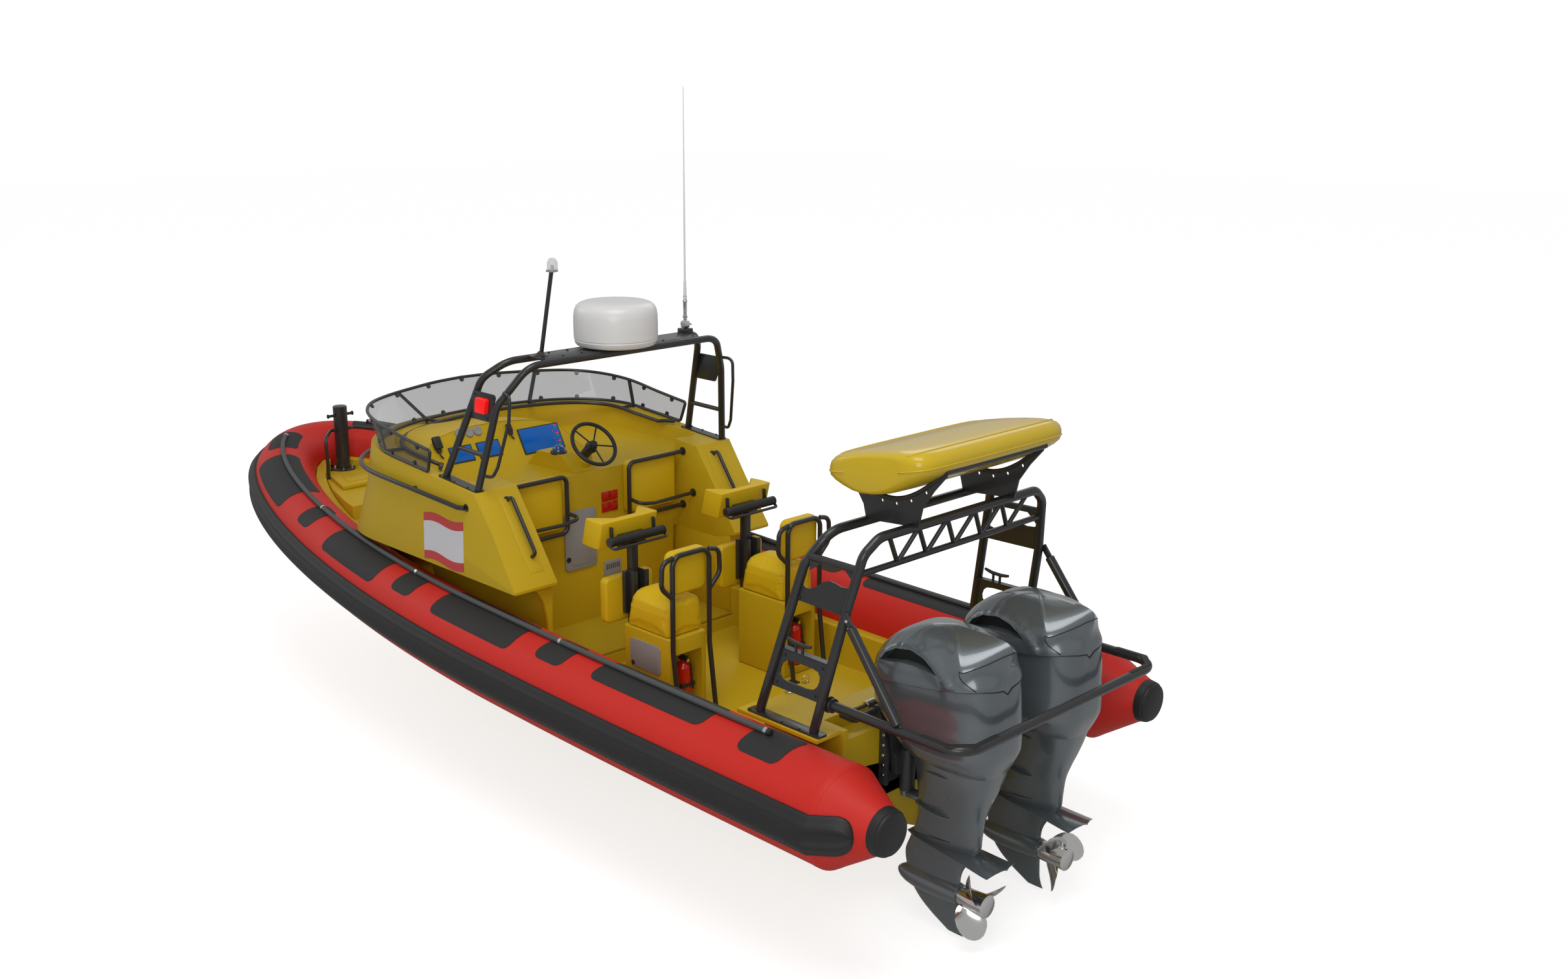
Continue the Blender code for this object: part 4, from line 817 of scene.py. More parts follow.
def make_patches(thick):
    """Tread patches on the tube."""
    shape = Shape("tread_rubber")
    corner = 0.055
    for s0, s1, a0, a1 in PATCHES:
        rows = []
        count = 8 + int((s1 - s0) / 0.05)
        stops = [s0 + corner * (1 - cos(0.5 * pi * k / 5)) for k in range(6)]
        stops += [s0 + corner + (s1 - s0 - 2 * corner) * k / count for k in range(1, count)]
        stops += [s1 - corner * (1 - cos(0.5 * pi * (5 - k) / 5)) for k in range(6)]
        for s in stops:
            near = max(corner - (s - s0), corner - (s1 - s), 0.0)
            inset = corner - sqrt(max(corner ** 2 - near ** 2, 0.0))
            section = at_length(s)
            turn = degrees(inset / section[2])
            rows.append((section, a0 + turn, a1 - turn))
        for flip in FLIPS:
            rings = []
            for section, low, high in rows:
                top = [low + (high - low) * k / 14 for k in range(15)]
                ring = [polar(section, low, -0.004) * flip]
                ring += [polar(section, a, thick * (0.7 if a in (top[0], top[-1]) else 1.0)) * flip
                         for a in top]
                ring += [polar(section, high, -0.004) * flip,
                         polar(section, (low + high) / 2, -0.006) * flip]
                rings.append(ring)
            shape.skin(rings)
    shape.done("tread_patches", "boat", "strake_black", angle=60)


def make_grab_hoses():
    """The hoses along the tube, with their rings and plugs."""
    start, end = 0.545, 7.24
    count = 110
    rings, ends = [], []
    for sign, side in SIDES:
        flip = Vector((1, sign, 1))
        points = [polar(at_length(start + (end - start) * k / count), 90, HOSE_R * 0.95) * flip
                  for k in range(count + 1)]
        swept("grab_hose_run_" + side, points, HOSE_R, "boat", "hose_grey", "hose_rubber",
              "grab_hose_" + side)
        for s in (0.56, 2.33, 3.94, 5.48, 7.23):
            a, b = at_length(s - 0.02), at_length(s + 0.02)
            rings.append((polar(at_length(s), 90, HOSE_R * 0.95) * flip, (b[0] - a[0]) * flip))
        for s, way in ((start, -1), (end, 1)):
            a, b = at_length(s - 0.02), at_length(s + 0.02)
            along = ((b[0] - a[0]) * flip).normalized() * way
            ends.append((polar(at_length(s), 90, HOSE_R * 0.95) * flip + along * 0.008, along))
    studs("hose_rings", rings, HOSE_R * 1.22, 0.022, "boat", "steel", "steel", 24)
    studs("hose_plugs", ends, HOSE_R * 1.05, 0.02, "boat", "strake_black", "black_plastic", 20)


# Hull and decks

def keel_z(x):
    """Height of the keel at a place along the boat."""
    return -0.44 + 0.80 * max(0.0, (x - 2.6) / 4.12) ** 2.8


def chine_z(x):
    """Height of the chine at a place along the boat."""
    return -0.06 + 0.47 * max(0.0, (x - 0.8) / 5.92) ** 2.2


def along(xs, values, x):
    """The value at x on the straight lines between the given pairs."""
    for (x0, v0), (x1, v1) in zip(zip(xs, values), zip(xs[1:], values[1:])):
        if x <= x1:
            return v0 + (v1 - v0) * (x - x0) / (x1 - x0)
    return values[-1]


def bottom_half(x):
    """Port half of the bottom's section: keel, pad, chine, flat and side."""
    side = max(inner_half(x) - 0.0008, 0.01)
    chine = side * (0.97 if x < 4 else 0.97 - 0.10 * (x - 4) / 2.7)
    keel, low = keel_z(x), chine_z(x)
    top = along(HULL_X, SOLES, x) - LINER
    knuckle = min(low + 0.03, top - 0.004)
    low = min(low, knuckle - 0.004)
    points = [(0.0, keel)]
    for t in (0.06, 0.15, 0.28, 0.42, 0.56, 0.70, 0.82, 0.92, 1.0):
        bow = 0.018 * sin(pi * t)
        points.append((chine * t, keel + (low - keel) * t + bow))
    return points + [(min(chine + 0.012, side), low + 0.001), (side, knuckle), (side, top), (0.0, top)]


class Hull(bpy.types.Operator):
    """Deep-vee bottom with spray rails, deck liner, decks and foredeck fittings"""
    bl_idname = "boat.hull"
    bl_label = "Hull and decks"

    def execute(self, context):
        make_bottom()
        edge = context.scene.boat_hull.edge
        make_liner(edge)
        refined("raised_floor", "floor_tread", "deck_tread", "boat", "gelcoat_yellow", 0.004, 2)
        refined("aft_deck", "aft_bench", "gelcoat", "boat", "gelcoat_yellow", edge, 3)
        refined("foredeck", "foredeck_moulding", "gelcoat", "boat", "gelcoat_yellow", edge, 3)
        refined("locker_lid", "lid_moulding", "gelcoat", "locker_lid", "gelcoat_yellow", edge, 3)
        make_samson_post()
        make_deck_fittings(context.scene.boat_frames.bolt)
        return {"FINISHED"}


def make_bottom():
    """The hull's deep vee and its spray rails."""
    xs = sorted(set(list(HULL_X) + [0.16 * k for k in range(1, 42)]))
    rings = []
    for x in xs:
        half = bottom_half(x)
        rings.append([(x, y, z) for y, z in half] + [(x, -y, z) for y, z in reversed(half[1:-1])])
    shape = Shape("gelcoat").skin(rings)
    for share, start, stop in ((0.42, 0.0, 5.4), (0.70, 0.0, 5.9)):
        for sign in (1, -1):
            rings = []
            count = 44
            for k in range(count + 1):
                x = start + (stop - start) * k / count
                half = bottom_half(x)
                chine, low, keel = half[9][0], half[9][1], half[0][1]
                y = chine * share
                z = keel + (low - keel) * share + 0.018 * sin(pi * share)
                fade = min(1.0, (stop - x) / 0.5) + 0.02
                rise = (low - keel) / chine
                rings.append([(x, sign * (y - 0.034 * fade), z - 0.034 * fade * rise + 0.004),
                              (x, sign * (y + 0.002), z - 0.020 * fade),
                              (x, sign * (y + 0.008), z - 0.018 * fade),
                              (x, sign * (y + 0.010), z + 0.012)])
            shape.skin(rings)
    shape.done("hull_bottom", "boat", "gelcoat_yellow", "hull", angle=24)


def make_liner(edge):
    """Deck liner in one moulding: the sole and the side walls that stand against the collar."""
    step_x, step = 2.55, 0.16
    xs = sorted({*HULL_X, *(step * k for k in range(1, 42) if abs(step * k - step_x) > 0.02)})
    rings = []
    for x in xs:
        side = max(inner_half(x) - 0.0008, 0.01)
        inner = max(side - 0.09, side * 0.3)
        sole = along(HULL_X, SOLES, x)
        low, top = sole - LINER + GAP, sheer(x) + 0.02
        half = [(side, low), (side, top), (inner, top), (inner, sole)]
        rings.append([(x, y, z) for y, z in half] + [(x, -y, z) for y, z in reversed(half)])
    mesh = bevelled(taken(loose("liner", Shape("gelcoat").skin(rings))), edge, 3)
    place_piece("liner_moulding", mesh, ["gelcoat"], "boat", "gelcoat_yellow", "deck_liner",
                "side_liner_port",
                "side_liner_starboard")


def make_samson_post():
    """Towing post with its cross pin, two bent stays and their feet."""
    foot, cap, pin_z = 0.5203, 1.070, 0.99
    stay_x, stay_y = POST_X - 0.22, 0.265
    post = Shape("frame_paint")
    post.turned([(foot, 0.100), (0.532, 0.100), (0.5345, 0.096), (0.5350, 0.058), (cap - 0.008, 0.058),
                 (cap - 0.002, 0.052), (cap, 0.01)], (POST_X, 0, 0), steps=40)
    post.tube([(POST_X, -0.12, pin_z), (POST_X, 0.12, pin_z)], 0.012, 16)
    for sign in (1, -1):
        post.turned([(-0.004, 0.017), (0.004, 0.019), (0.010, 0.010)], (POST_X, sign * 0.112, pin_z),
                    (0, sign, 0), 16)
        path = [(POST_X, sign * 0.03, 0.86), (POST_X, sign * 0.10, 0.87),
                (POST_X - 0.20, sign * 0.26, 0.86), (stay_x, sign * stay_y, 0.60),
                (stay_x, sign * stay_y, 0.5205)]
        post.tube(path, 0.014, 14, bend=0.06)
        post.turned([(0.5205, 0.030), (0.527, 0.030), (0.529, 0.014)], (stay_x, sign * stay_y, 0), steps=24)
    post.done("samson_post_and_stays", "boat", "frame_black", "samson_post")


def make_deck_fittings(bolt):
    """Raised panel and latch of the locker lid, and the bolts round the post."""
    lid_z, latch_x = 0.5545, 6.03
    panel = Shape("gelcoat")
    panel.slab([(5.985, -0.28), (5.985, 0.28), (6.195, 0.20), (6.195, -0.20)], "z", lid_z, lid_z + 0.0055,
               0.004)
    panel.done("lid_panel", "locker_lid", "gelcoat_yellow")
    latch = Shape("grey_plastic")
    latch.turned([(0.5595, 0.026), (0.5625, 0.026), (0.5640, 0.022)], (latch_x, 0, 0), steps=28)
    latch.use("black_plastic").block((latch_x - 0.016, -0.006, 0.563), (latch_x + 0.016, 0.006, 0.568),
                                     0.0015)
    latch.done("lid_latch", "locker_lid", "hatch_grey")
    ring, count = 0.082, 6
    points = [((POST_X + ring * cos(a), ring * sin(a), 0.536), (0, 0, 1))
              for a in (pi * (k + 0.5) / 3 for k in range(count))]
    studs("post_bolts", points, bolt, 0.006, "boat", "steel", "steel")


# Console

def plan(front, half, aft, power=2.75, reach=0.80, steps=28):
    """Plan outline from the port aft corner round the full bow end to starboard."""
    points = [(aft, half)]
    for k in range(steps + 1):
        a = 0.5 * pi * k / steps
        points.append((front - reach + reach * sin(a) ** (2 / power),
                       half * max(0.0, cos(a)) ** (2 / power) if k < steps else 0.0))
    return points + [(x, -y) for x, y in reversed(points[:-1])]


def coaming_top(x):
    """Height of the console's upper edge at a place along the boat."""
    return COAMING_Z + 0.12 * max(0.0, (x - 2.9) / (FRONT_X - 2.9))


def aft_edge(z):
    """Place of the console's aft edge at one height, and the way that it faces."""
    for (z0, x0), (z1, x1) in zip(AFT_EDGE, AFT_EDGE[1:]):
        if z <= z1:
            break
    return x0 + (x1 - x0) * (z - z0) / (z1 - z0), Vector((-(z1 - z0), 0, x1 - x0)).normalized()


def console_levels():
    """Rings of the console's body, from the floor to its upper edge."""
    rows = ((FLOOR_Z + 0.0003, 0.70, 4.10, 2.72, 2.6, 0.45), (0.30, 0.76, 4.30, 2.72, 2.6, 0.48),
            (0.585, 0.77, 4.42, 2.72, 2.6, 0.5), (0.64, 1.12, 4.84, 2.50, 3.2, 0.8),
            (0.98, 1.108, 4.73, 2.74, 2.85, 0.8))
    rings = [[(x, y, z) for x, y in plan(front, half, aft, power, reach)]
             for z, half, front, aft, power, reach in rows]
    rings.append([(x, y, coaming_top(x)) for x, y in plan(4.635, COAMING_Y, AFT_EDGE[2][1])])
    return rings


BINNACLE = ((-0.44, 1.10), (-0.41, 1.125), (-0.345, 1.165), (-0.29, 1.215), (-0.245, 1.275),
            (-0.205, 1.325), (-0.150, 1.362), (-0.05, 1.388), (0.105, 1.408), (0.30, 1.425), (0.50, 1.425),
            (0.68, 1.412), (0.80, 1.392), (0.88, 1.355), (0.94, 1.28), (0.96, 1.10))


def panel_point(y, h, out=0.0):
    """A place on the sloping instrument panel: h is up the slope from its foot."""
    return Vector((PANEL_X + 0.5 * h - 0.866 * out, y, DASH_Z + 0.866 * h + 0.5 * out))


class Console(bpy.types.Operator):
    """Console moulding, instrument panel, hatch, pads, rails and panels"""
    bl_idname = "boat.console"
    bl_label = "Console"

    def execute(self, context):
        make_console_shell()
        make_binnacle()
        make_instruments()
        make_hatch()
        make_console_trim()
        make_rails()
        make_wheel()
        make_dash_cushions()
        return {"FINISHED"}


def make_console_shell():
    """Console moulding with its cuts, and the walls that stand between its wings and the sole."""
    dash, rim = plan(4.52, COAMING_Y - 0.125, DASH_X), 1.6
    cuts = (Shape().skin([[(x, y, DASH_Z + 0.02 * (x - DASH_X)) for x, y in dash],
                          [(x, y, rim) for x, y in dash]]),
            Shape().block((2.0, -WALL_Y, -0.2), (DASH_X, WALL_Y, rim), 0),
            Shape().block((DASH_X - 0.01, -0.02, 0.46), (DASH_X + 0.42, 0.225, 0.86), 0),
            Shape().block((2.90, WALL_Y - 0.01, 0.44), (3.08, WALL_Y + 0.06, 0.60), 0),
            Shape().slab([(2.40, 0.60), (2.40, 0.72), (2.512, 0.72), (2.512, 0.60)], "y", -1.3, 1.3, 0))
    body = loose("console_body", Shape("gelcoat").skin(console_levels()))
    carve(body, [loose("console_cut", shape) for shape in cuts])
    place_piece("console_moulding", bevelled(taken(body), 0.011, 3, 28), ["gelcoat"], "boat",
                "gelcoat_yellow",
                "console")
    walls = Shape("gelcoat")
    foot = FLOOR_Z + 0.0005
    side = [(2.585, foot), (DASH_X + 0.02, foot), (DASH_X + 0.02, 0.63), (2.565, 0.63)]
    flare = [(0.786, foot), (0.818, foot), (0.821, 0.30), (0.832, 0.42), (0.856, 0.52), (0.895, 0.59),
             (0.950, 0.6375), (0.786, 0.6375)]
    for sign in (1, -1):
        walls.slab(side, "y", *span(sign, WALL_Y + 0.0005, WALL_Y + 0.010), 0.003)
        walls.slab([(sign * y, z) for y, z in flare], "x", 2.570, 2.610, 0.006)
    walls.done("wing_walls", "boat", "gelcoat_yellow")


def make_binnacle():
    """Sloping instrument panel with a rounded top, and the angular fairing under the compass."""
    middle_y, middle_z = 0.28, 1.15
    rings = []
    for step, pull in ((0.012, 0.012), (0.003, 0.004), (0.0, 0.0), (0.012, 0.0), (0.30, 0.02),
                       (0.70, 0.10)):
        ring = []
        for y, z in BINNACLE:
            h = (z - DASH_Z) / 0.866
            base = Vector((PANEL_X + 0.5 * h + step * 1.1, y, z - max(0.0, z - 1.1) * 0.20 * step))
            if pull:
                base = base + Vector((0, middle_y - y, middle_z - z)).normalized() * pull
            ring.append(base)
        rings.append(ring)
    rings[0] = [p - Vector((0.012, 0, 0)) for p in rings[0]]
    shape = Shape("gelcoat").skin(rings)
    shape.skin([[(3.62, 0.195, 1.07), (3.190, 0.112, 1.07), (3.185, -0.10, 1.07), (3.62, -0.10, 1.07)],
                [(3.62, 0.195, 1.13), (3.195, 0.110, 1.13), (3.190, -0.099, 1.13), (3.62, -0.10, 1.13)],
                [(3.50, 0.184, 1.25), (3.262, 0.158, 1.25), (3.300, 0.040, 1.25), (3.50, 0.020, 1.25)]])
    shape.turned([(-0.06, 0.075), (0.04, 0.062), (0.095, 0.052), (0.10, 0.045)], (3.285, -0.02, 1.15),
                 (-0.743, 0.02, 0.669), 28)
    shape.done("dash_moulding", "boat", "gelcoat_yellow", angle=32)


def panel_slab(shape, y0, y1, h0, h1, out0, out1, finish, bevel=0.002):
    """A thin plate lying on the instrument panel."""
    shape.use(finish)
    turn = Matrix(((0.5, 0, -0.866, PANEL_X), (0, 1, 0, 0), (0.866, 0, 0.5, DASH_Z), (0, 0, 0, 1)))
    shape.block((h0, y0, out0), (h1, y1, out1), bevel, 2, turn)


def make_instruments():
    """Screens with their marks, gauges, handsets on their leads, and the compass."""
    shape = Shape("black_plastic")
    frame_wide = 0.008
    for y0, y1, h0, h1 in ((-0.186, 0.167, 0.060, 0.254), (0.345, 0.533, 0.095, 0.215),
                           (0.573, 0.757, 0.095, 0.215)):
        panel_slab(shape, y0, y1, h0, h1, -0.004, 0.006, "black_plastic")
        panel_slab(shape, y0 + frame_wide, y1 - frame_wide, h0 + frame_wide, h1 - frame_wide, 0.004, 0.0068,
                   "screen_blue", 0.0006)
    marks = Shape("lamp_red")
    finishes = ("lamp_red", "screen_green", "screen_violet")
    for i in range(8):
        h = 0.236 - 0.020 * i
        for y0, y1, below, above, turn in ((-0.166 + 0.004 * (i % 3), -0.144, 0.006, 0.004, 0),
                                           (-0.126, -0.120, 0.003, 0.003, 1)):
            panel_slab(marks, y0, y1, h - below, h + above, 0.0060, 0.0072, finishes[(i + turn) % 3],
                       0.0003)
    marks.done("screen_marks", "boat", "signal_red")
    for y, h in ((0.629, 0.306), (0.552, 0.296), (0.482, 0.298)):
        shape.use("grey_plastic")
        shape.turned([(-0.004, 0.033), (0.006, 0.033), (0.009, 0.029), (0.0075, 0.025), (0.0070, 0.004)],
                     panel_point(y, h), (-0.866, 0, 0.5))
    for y, h, size in ((0.232, 0.280, 0.72), (0.835, 0.270, 1.0)):
        panel_slab(shape, y - 0.030 * size, y + 0.030 * size, h - 0.055 * size, h + 0.035 * size, 0.004,
                   0.036 * size,
                   "black_plastic", 0.008)
        panel_slab(shape, y - 0.016, y + 0.016, h - 0.080 * size, h - 0.045 * size, 0.002, 0.022,
                   "black_plastic",
                   0.006)
        shape.tube([panel_point(y, h - 0.075 * size, 0.012), panel_point(y, h - 0.105 * size, 0.014),
                    panel_point(y - 0.02, h - 0.12 * size, 0.004)], 0.005, 10, bend=0.02)
    compass_x, compass_y, bowl = 3.345, 0.118, 0.045
    shape.use("black_plastic")
    shape.turned([(-0.004, 0.058), (0.008, 0.058), (0.013, 0.054), (0.016, 0.047), (0.016, 0.01)],
                 (compass_x, compass_y, 1.250), steps=36)
    shape.done("instruments", "boat", "wheel_black")
    dome = Shape("dome_blue")
    dome.turned([(0.0, bowl)] + [(0.044 * sin(a), bowl * cos(a)) for a in (0.25 * k for k in range(1, 6))]
                + [(0.044, 0.002)], (compass_x, compass_y, 1.264), steps=36)
    dome.done("compass_dome", "boat", "screen_glass", angle=60)


def make_hatch():
    """Grey hatch on the dash face, its latches, and the vent and switches beside it; the vent's slots are
    near-black bars of painted shade.
    """
    shape = Shape("grey_plastic")
    x = DASH_X - GAP
    shape.slab(round_box((-0.035, 0.445), (0.240, 0.875), 0.03), "x", x - 0.0125, x - 0.0006, 0.003)
    shape.slab(round_box((-0.005, 0.475), (0.200, 0.845), 0.03), "x", x - 0.0142, x - 0.0100, 0.001)
    shape.use("black_plastic")
    for z in (0.53, 0.79):
        shape.turned([(0.0, 0.020), (0.003, 0.019), (0.0035, 0.012), (0.002, 0.011), (0.002, 0.002)],
                     (x - 0.0125, 0.215, z), (-1, 0, 0), 28)
    shape.done("hatch_panel", "console_hatch", "hatch_grey", "console_hatch")
    vent = Shape("grey_plastic")
    vent.block((x - 0.008, -0.256, 0.336), (x, -0.103, 0.446), 0.003)
    vent.done("vent_plate", "boat", "hatch_grey")
    # The slots are not cut: near-black bars on the plate paint the shade where the openings would be.
    slot_shade_bars = {"Size": (0.002, 0.007, 0.040), "Count": 7, "Pitch": (0, 0.0185, 0),
             "Start": (x - 0.0081, -0.235, 0.404)}
    grown("vent_slot_shade", "slats", linked("vent_source", bpy.data.meshes.new("vent_source")), slot_shade_bars, "seam",
          "boat",
          "hatch_grey")
    switches = Shape("signal_red")
    for y in (-0.128, -0.202):
        for z in (0.846, 0.924):
            switches.block((x - 0.009, y - 0.034, z - 0.035), (x, y + 0.034, z + 0.035), 0.002)
            switches.turned([(0.0, 0.021), (0.008, 0.019), (0.011, 0.013)], (x - 0.008, y, z), (-1, 0, 0),
                            24)
            switches.block((x - 0.026, y - 0.005, z - 0.020), (x - 0.016, y + 0.005, z + 0.020), 0.002)
    switches.done("battery_switches", "boat", "signal_red")


def make_console_trim():
    """Raised panels on the wings' aft edges, and the plain banded panels on the sides."""
    shape = Shape("gelcoat")
    inner, outer, border = 0.845, 0.955, 0.012
    for sign in (1, -1):
        rings = []
        for z, lift in ((0.735, 0.002), (0.76, 0.010), (1.15, 0.010), (1.175, 0.002)):
            x, normal = aft_edge(z)
            ring = []
            for y, out in ((inner, -0.004), (inner, lift * 0.4), (inner + border, lift),
                           (outer - border, lift), (outer, lift * 0.4), (outer, -0.004)):
                p = Vector((x, 0, z)) + normal * out
                ring.append(Vector((p.x, sign * y, p.z)))
            rings.append(ring)
        shape.skin(rings)
    shape.done("wing_panels", "boat", "gelcoat_yellow", angle=50)
    make_side_panels()


def make_side_panels():
    """Slightly waved panels in three bands that lie on the console's sides."""
    aft_x, long, count = 3.53, 0.46, 24
    panel = Shape("panel_white")

    def side_y(z):
        return 1.12 + (1.108 - 1.12) * (z - 0.64) / 0.34

    for sign in (1, -1):
        for low, high, finish in ((0.0, 0.18, "signal_red"), (0.18, 0.82, "panel_white"),
                                  (0.82, 1.0, "signal_red")):
            rings = []
            for k in range(count + 1):
                t = k / count
                x, foot, tall = aft_x - long * t, 0.658 + 0.008 * t, 0.318 + 0.02 * t
                z0, z1 = (foot + tall * share + 0.014 * sin(2 * pi * t) for share in (low, high))
                rings.append([(x, sign * (side_y(z) + out), z)
                              for z, out in ((z0, -0.002), (z1, -0.002), (z1, 0.0022), (z0, 0.0022))])
            panel.use(finish).skin(rings)
    panel.done("side_panels", "boat", "radome_white", angle=50)


def make_rails():
    """The rail round the console, the grab rails on its wings and the frames of the dash cushions."""
    flange = [(0.0, 0.026), (0.006, 0.026), (0.008, 0.014)]
    rail = Shape("frame_paint")
    outline = plan(4.73, 1.15, 3.06, 2.8)
    rail.tube(whole([(3.02, 1.125, 1.11)] + [(x, y, 1.11 + 0.04 * (x - 3.0)) for x, y in outline[:30]]),
              0.016, 16)
    for x, y, z, px, py in ((3.60, 1.150, 1.134, 3.60, 1.103), (4.35, 0.975, 1.164, 4.262, 0.935)):
        for sign in (1, -1):
            rail.tube([(x, sign * y, z), (px, sign * py, z)], 0.012, 14)
            rail.turned(flange, (px, sign * py, z), Vector((x - px, sign * (y - py), 0)).normalized(), 24)
    for sign in (1, -1):
        rail.turned([(-0.018, 0.027), (-0.011, 0.027), (-0.009, 0.017)], (3.02, sign * 1.125, 1.11),
                    (0, sign, 0), 24)
    rail.done("console_wrap_rail", "boat", "frame_black", "console_rail")
    for sign, side in SIDES:
        grab = Shape("frame_paint")
        ends = []
        for z in (1.15, 0.82):
            x, normal = aft_edge(z)
            foot = Vector((x, sign * 0.90, z))
            ends.append((foot + normal * GAP, foot + normal * 0.06))
            grab.turned([(GAP, 0.028), (0.006, 0.028), (0.008, 0.014)], foot, normal, 24)
        grab.tube([ends[0][0], ends[0][1], ends[1][1], ends[1][0]], 0.013, 14, bend=0.035)
        grab.done("wing_rail_" + side, "boat", "frame_black", "aft_rail_" + side)
        x, inner, wall, top, low = 3.06, sign * 0.275, sign * 0.784, 1.16, 0.76
        pad_rail = Shape("frame_paint")
        pad_rail.tube([(x, wall, top), (x, inner, top), (x, inner, low), (x, wall, low)], 0.016, 16,
                      bend=0.05)
        pad_rail.tube([(x, inner, 0.90), (2.93, sign * 0.262, 0.89), (2.93, sign * 0.40, 0.87),
                       (2.95, wall, 0.87)], 0.013, 14, bend=0.05)
        for x, z in ((3.06, 1.16), (3.06, 0.76), (2.95, 0.87)):
            pad_rail.turned([(0.0, 0.030), (0.006, 0.030), (0.008, 0.017)], (x, sign * 0.7845, z),
                            (0, -sign, 0), 24)
        pad_rail.done("pad_frame_tubes_" + side, "boat", "frame_black", "pad_frame_" + side)


def make_wheel():
    """Helm wheel: rim, hub with its shaft, and five spokes."""
    centre = Vector((3.10, 0.0, 1.335))
    tilt = radians(42)
    axis = Vector((-cos(tilt), 0, sin(tilt)))
    side = Vector((0, 1, 0))
    up = axis.cross(side).normalized()

    def place(angle, radius):
        return centre + side * (radius * cos(angle)) + up * (radius * sin(angle))

    wheel = Shape("black_plastic")
    wheel.tube([place(2 * pi * k / 64, 0.165) for k in range(64)], 0.0138, 18, closed=True)
    wheel.turned([(-0.150, 0.034), (-0.060, 0.036), (-0.050, 0.044), (-0.040, 0.044), (0.004, 0.027),
                  (0.011, 0.023), (0.012, 0.004)], centre, axis)
    for k in range(5):
        wheel.tube([centre - axis * 0.014, place(radians(90 + 72 * k), 0.160)], 0.0058, 12)
    wheel.done("helm_wheel", "steering_wheel", "wheel_black", "steering_wheel")


def make_dash_cushions():
    """Padded cushions on the dash face."""
    for sign, side in SIDES:
        y0, y1 = span(sign, 0.287, 0.733)
        pad = Shape("seat_cover")
        pad.slab(round_box((y0, 0.782), (y1, 1.158), 0.035), "x", 3.088, DASH_X - GAP, 0.014, 4)
        piece = pad.done("dash_cushion_" + side, "boat", "pad_yellow", "dash_pad_" + side)


# Windscreen

SCREEN_X = 3.6
SCREEN_TOP = ((3.40, 1.118, 1.42), (3.72, 1.118, 1.457), (4.00, 1.112, 1.497), (4.19, 1.078, 1.517),
              (4.35, 1.005, 1.532), (4.48, 0.885, 1.545), (4.565, 0.70, 1.556), (4.625, 0.47, 1.566),
              (4.675, 0.24, 1.573), (4.695, 0, 1.576))
SCREEN_LOW = ((3.45, 1.108, 1.255), (3.72, 1.108, 1.283), (3.95, 1.103, 1.309), (4.10, 1.065, 1.322),
              (4.23, 0.98, 1.332), (4.335, 0.855, 1.341), (4.42, 0.68, 1.349), (4.47, 0.46, 1.357),
              (4.505, 0.23, 1.361), (4.518, 0, 1.363))


def screen_half(points):
    """The port half of one edge of the screen, smoothed through its given places."""
    return [Vector((x, y, max(z, coaming_top(x) + 0.0125))) for x, y, z in smooth_rows(points, 5)]


def spaced(line, count, margin):
    """Even places along a polyline, with the line's direction there."""
    lengths = [0.0]
    for a, b in zip(line, line[1:]):
        lengths.append(lengths[-1] + (b - a).length)
    out = []
    for k in range(count):
        s = margin + (lengths[-1] - 2 * margin) * k / (count - 1)
        i = max(j for j in range(len(line) - 1) if lengths[j] <= s)
        t = (s - lengths[i]) / (lengths[i + 1] - lengths[i])
        out.append((line[i].lerp(line[i + 1], t), (line[i + 1] - line[i]).normalized()))
    return out


class Windscreen(bpy.types.Operator):
    """Low wrap-round screen, its frame, inner rail, uprights and clips"""
    bl_idname = "boat.windscreen"
    bl_label = "Windscreen"

    def execute(self, context):
        settings = context.scene.boat_frames
        low, top = ([Vector(p) for p in whole(screen_half(line))] for line in (SCREEN_LOW, SCREEN_TOP))
        make_pane(low, top)
        make_screen_frame(low, top)
        make_screen_clips(low, top, settings.clips, settings.clip)
        return {"FINISHED"}


def make_pane(low, top):
    """The clear screen between its two edges."""
    rings = []
    for a, b in zip(low, top):
        out = Vector((a.x - SCREEN_X, a.y, 0)).normalized() * 0.0024
        rings.append([a - out, b - out, b + out, a + out])
    Shape("glass_sheet").skin(rings).done("screen_pane", "boat", "screen_glass", "windscreen", angle=60)


def make_screen_frame(low, top):
    """The tube round the screen, the rail inside it, and the uprights with their stand-offs."""
    shape = Shape("frame_paint")
    shape.tube(rounded(top + list(reversed(low)), 0.05, 6, True), 0.0115, 14, closed=True)
    last = len(low) - 1
    rail, places = [], []
    for i, p in enumerate(low):
        run = low[min(i + 1, last)] - low[max(i - 1, 0)]
        if p.x > 3.52:
            rail.append(p + Vector((run.y, -run.x, 0)).normalized() * 0.144)
            places.append(i)
    hook = [Vector((3.424, 1.030, 1.285)), Vector((3.50, 0.968, 1.285))]
    shape.tube(hook + rail + [q * MIRROR for q in reversed(hook)], 0.014, 16)
    for x, top_x in ((3.97, 4.028), (4.467, 4.594)):
        k = min(range(last // 2), key=lambda i: abs(low[i].x - x))
        j = min(range(last // 2), key=lambda i: abs(top[i].x - top_x))
        for flip in FLIPS:
            p, t = low[k] * flip, top[j] * flip
            shape.tube([p, rail[places.index(k)] * flip], 0.011, 12)
            run = ((low[k + 1] - low[k - 1]) * flip).normalized()
            inward = Vector((run.y, -run.x, 0)).normalized() * flip.y * 0.006
            wide = run * 0.016
            shape.skin([[end - wide, end + wide, end + wide + inward, end - wide + inward]
                        for end in (p, t)])
            shape.tube([p, (p.x, p.y - flip.y * 0.004, coaming_top(p.x) - 0.004)], 0.010, 12)
    shape.done("screen_frame", "boat", "frame_black", "windscreen_frame")


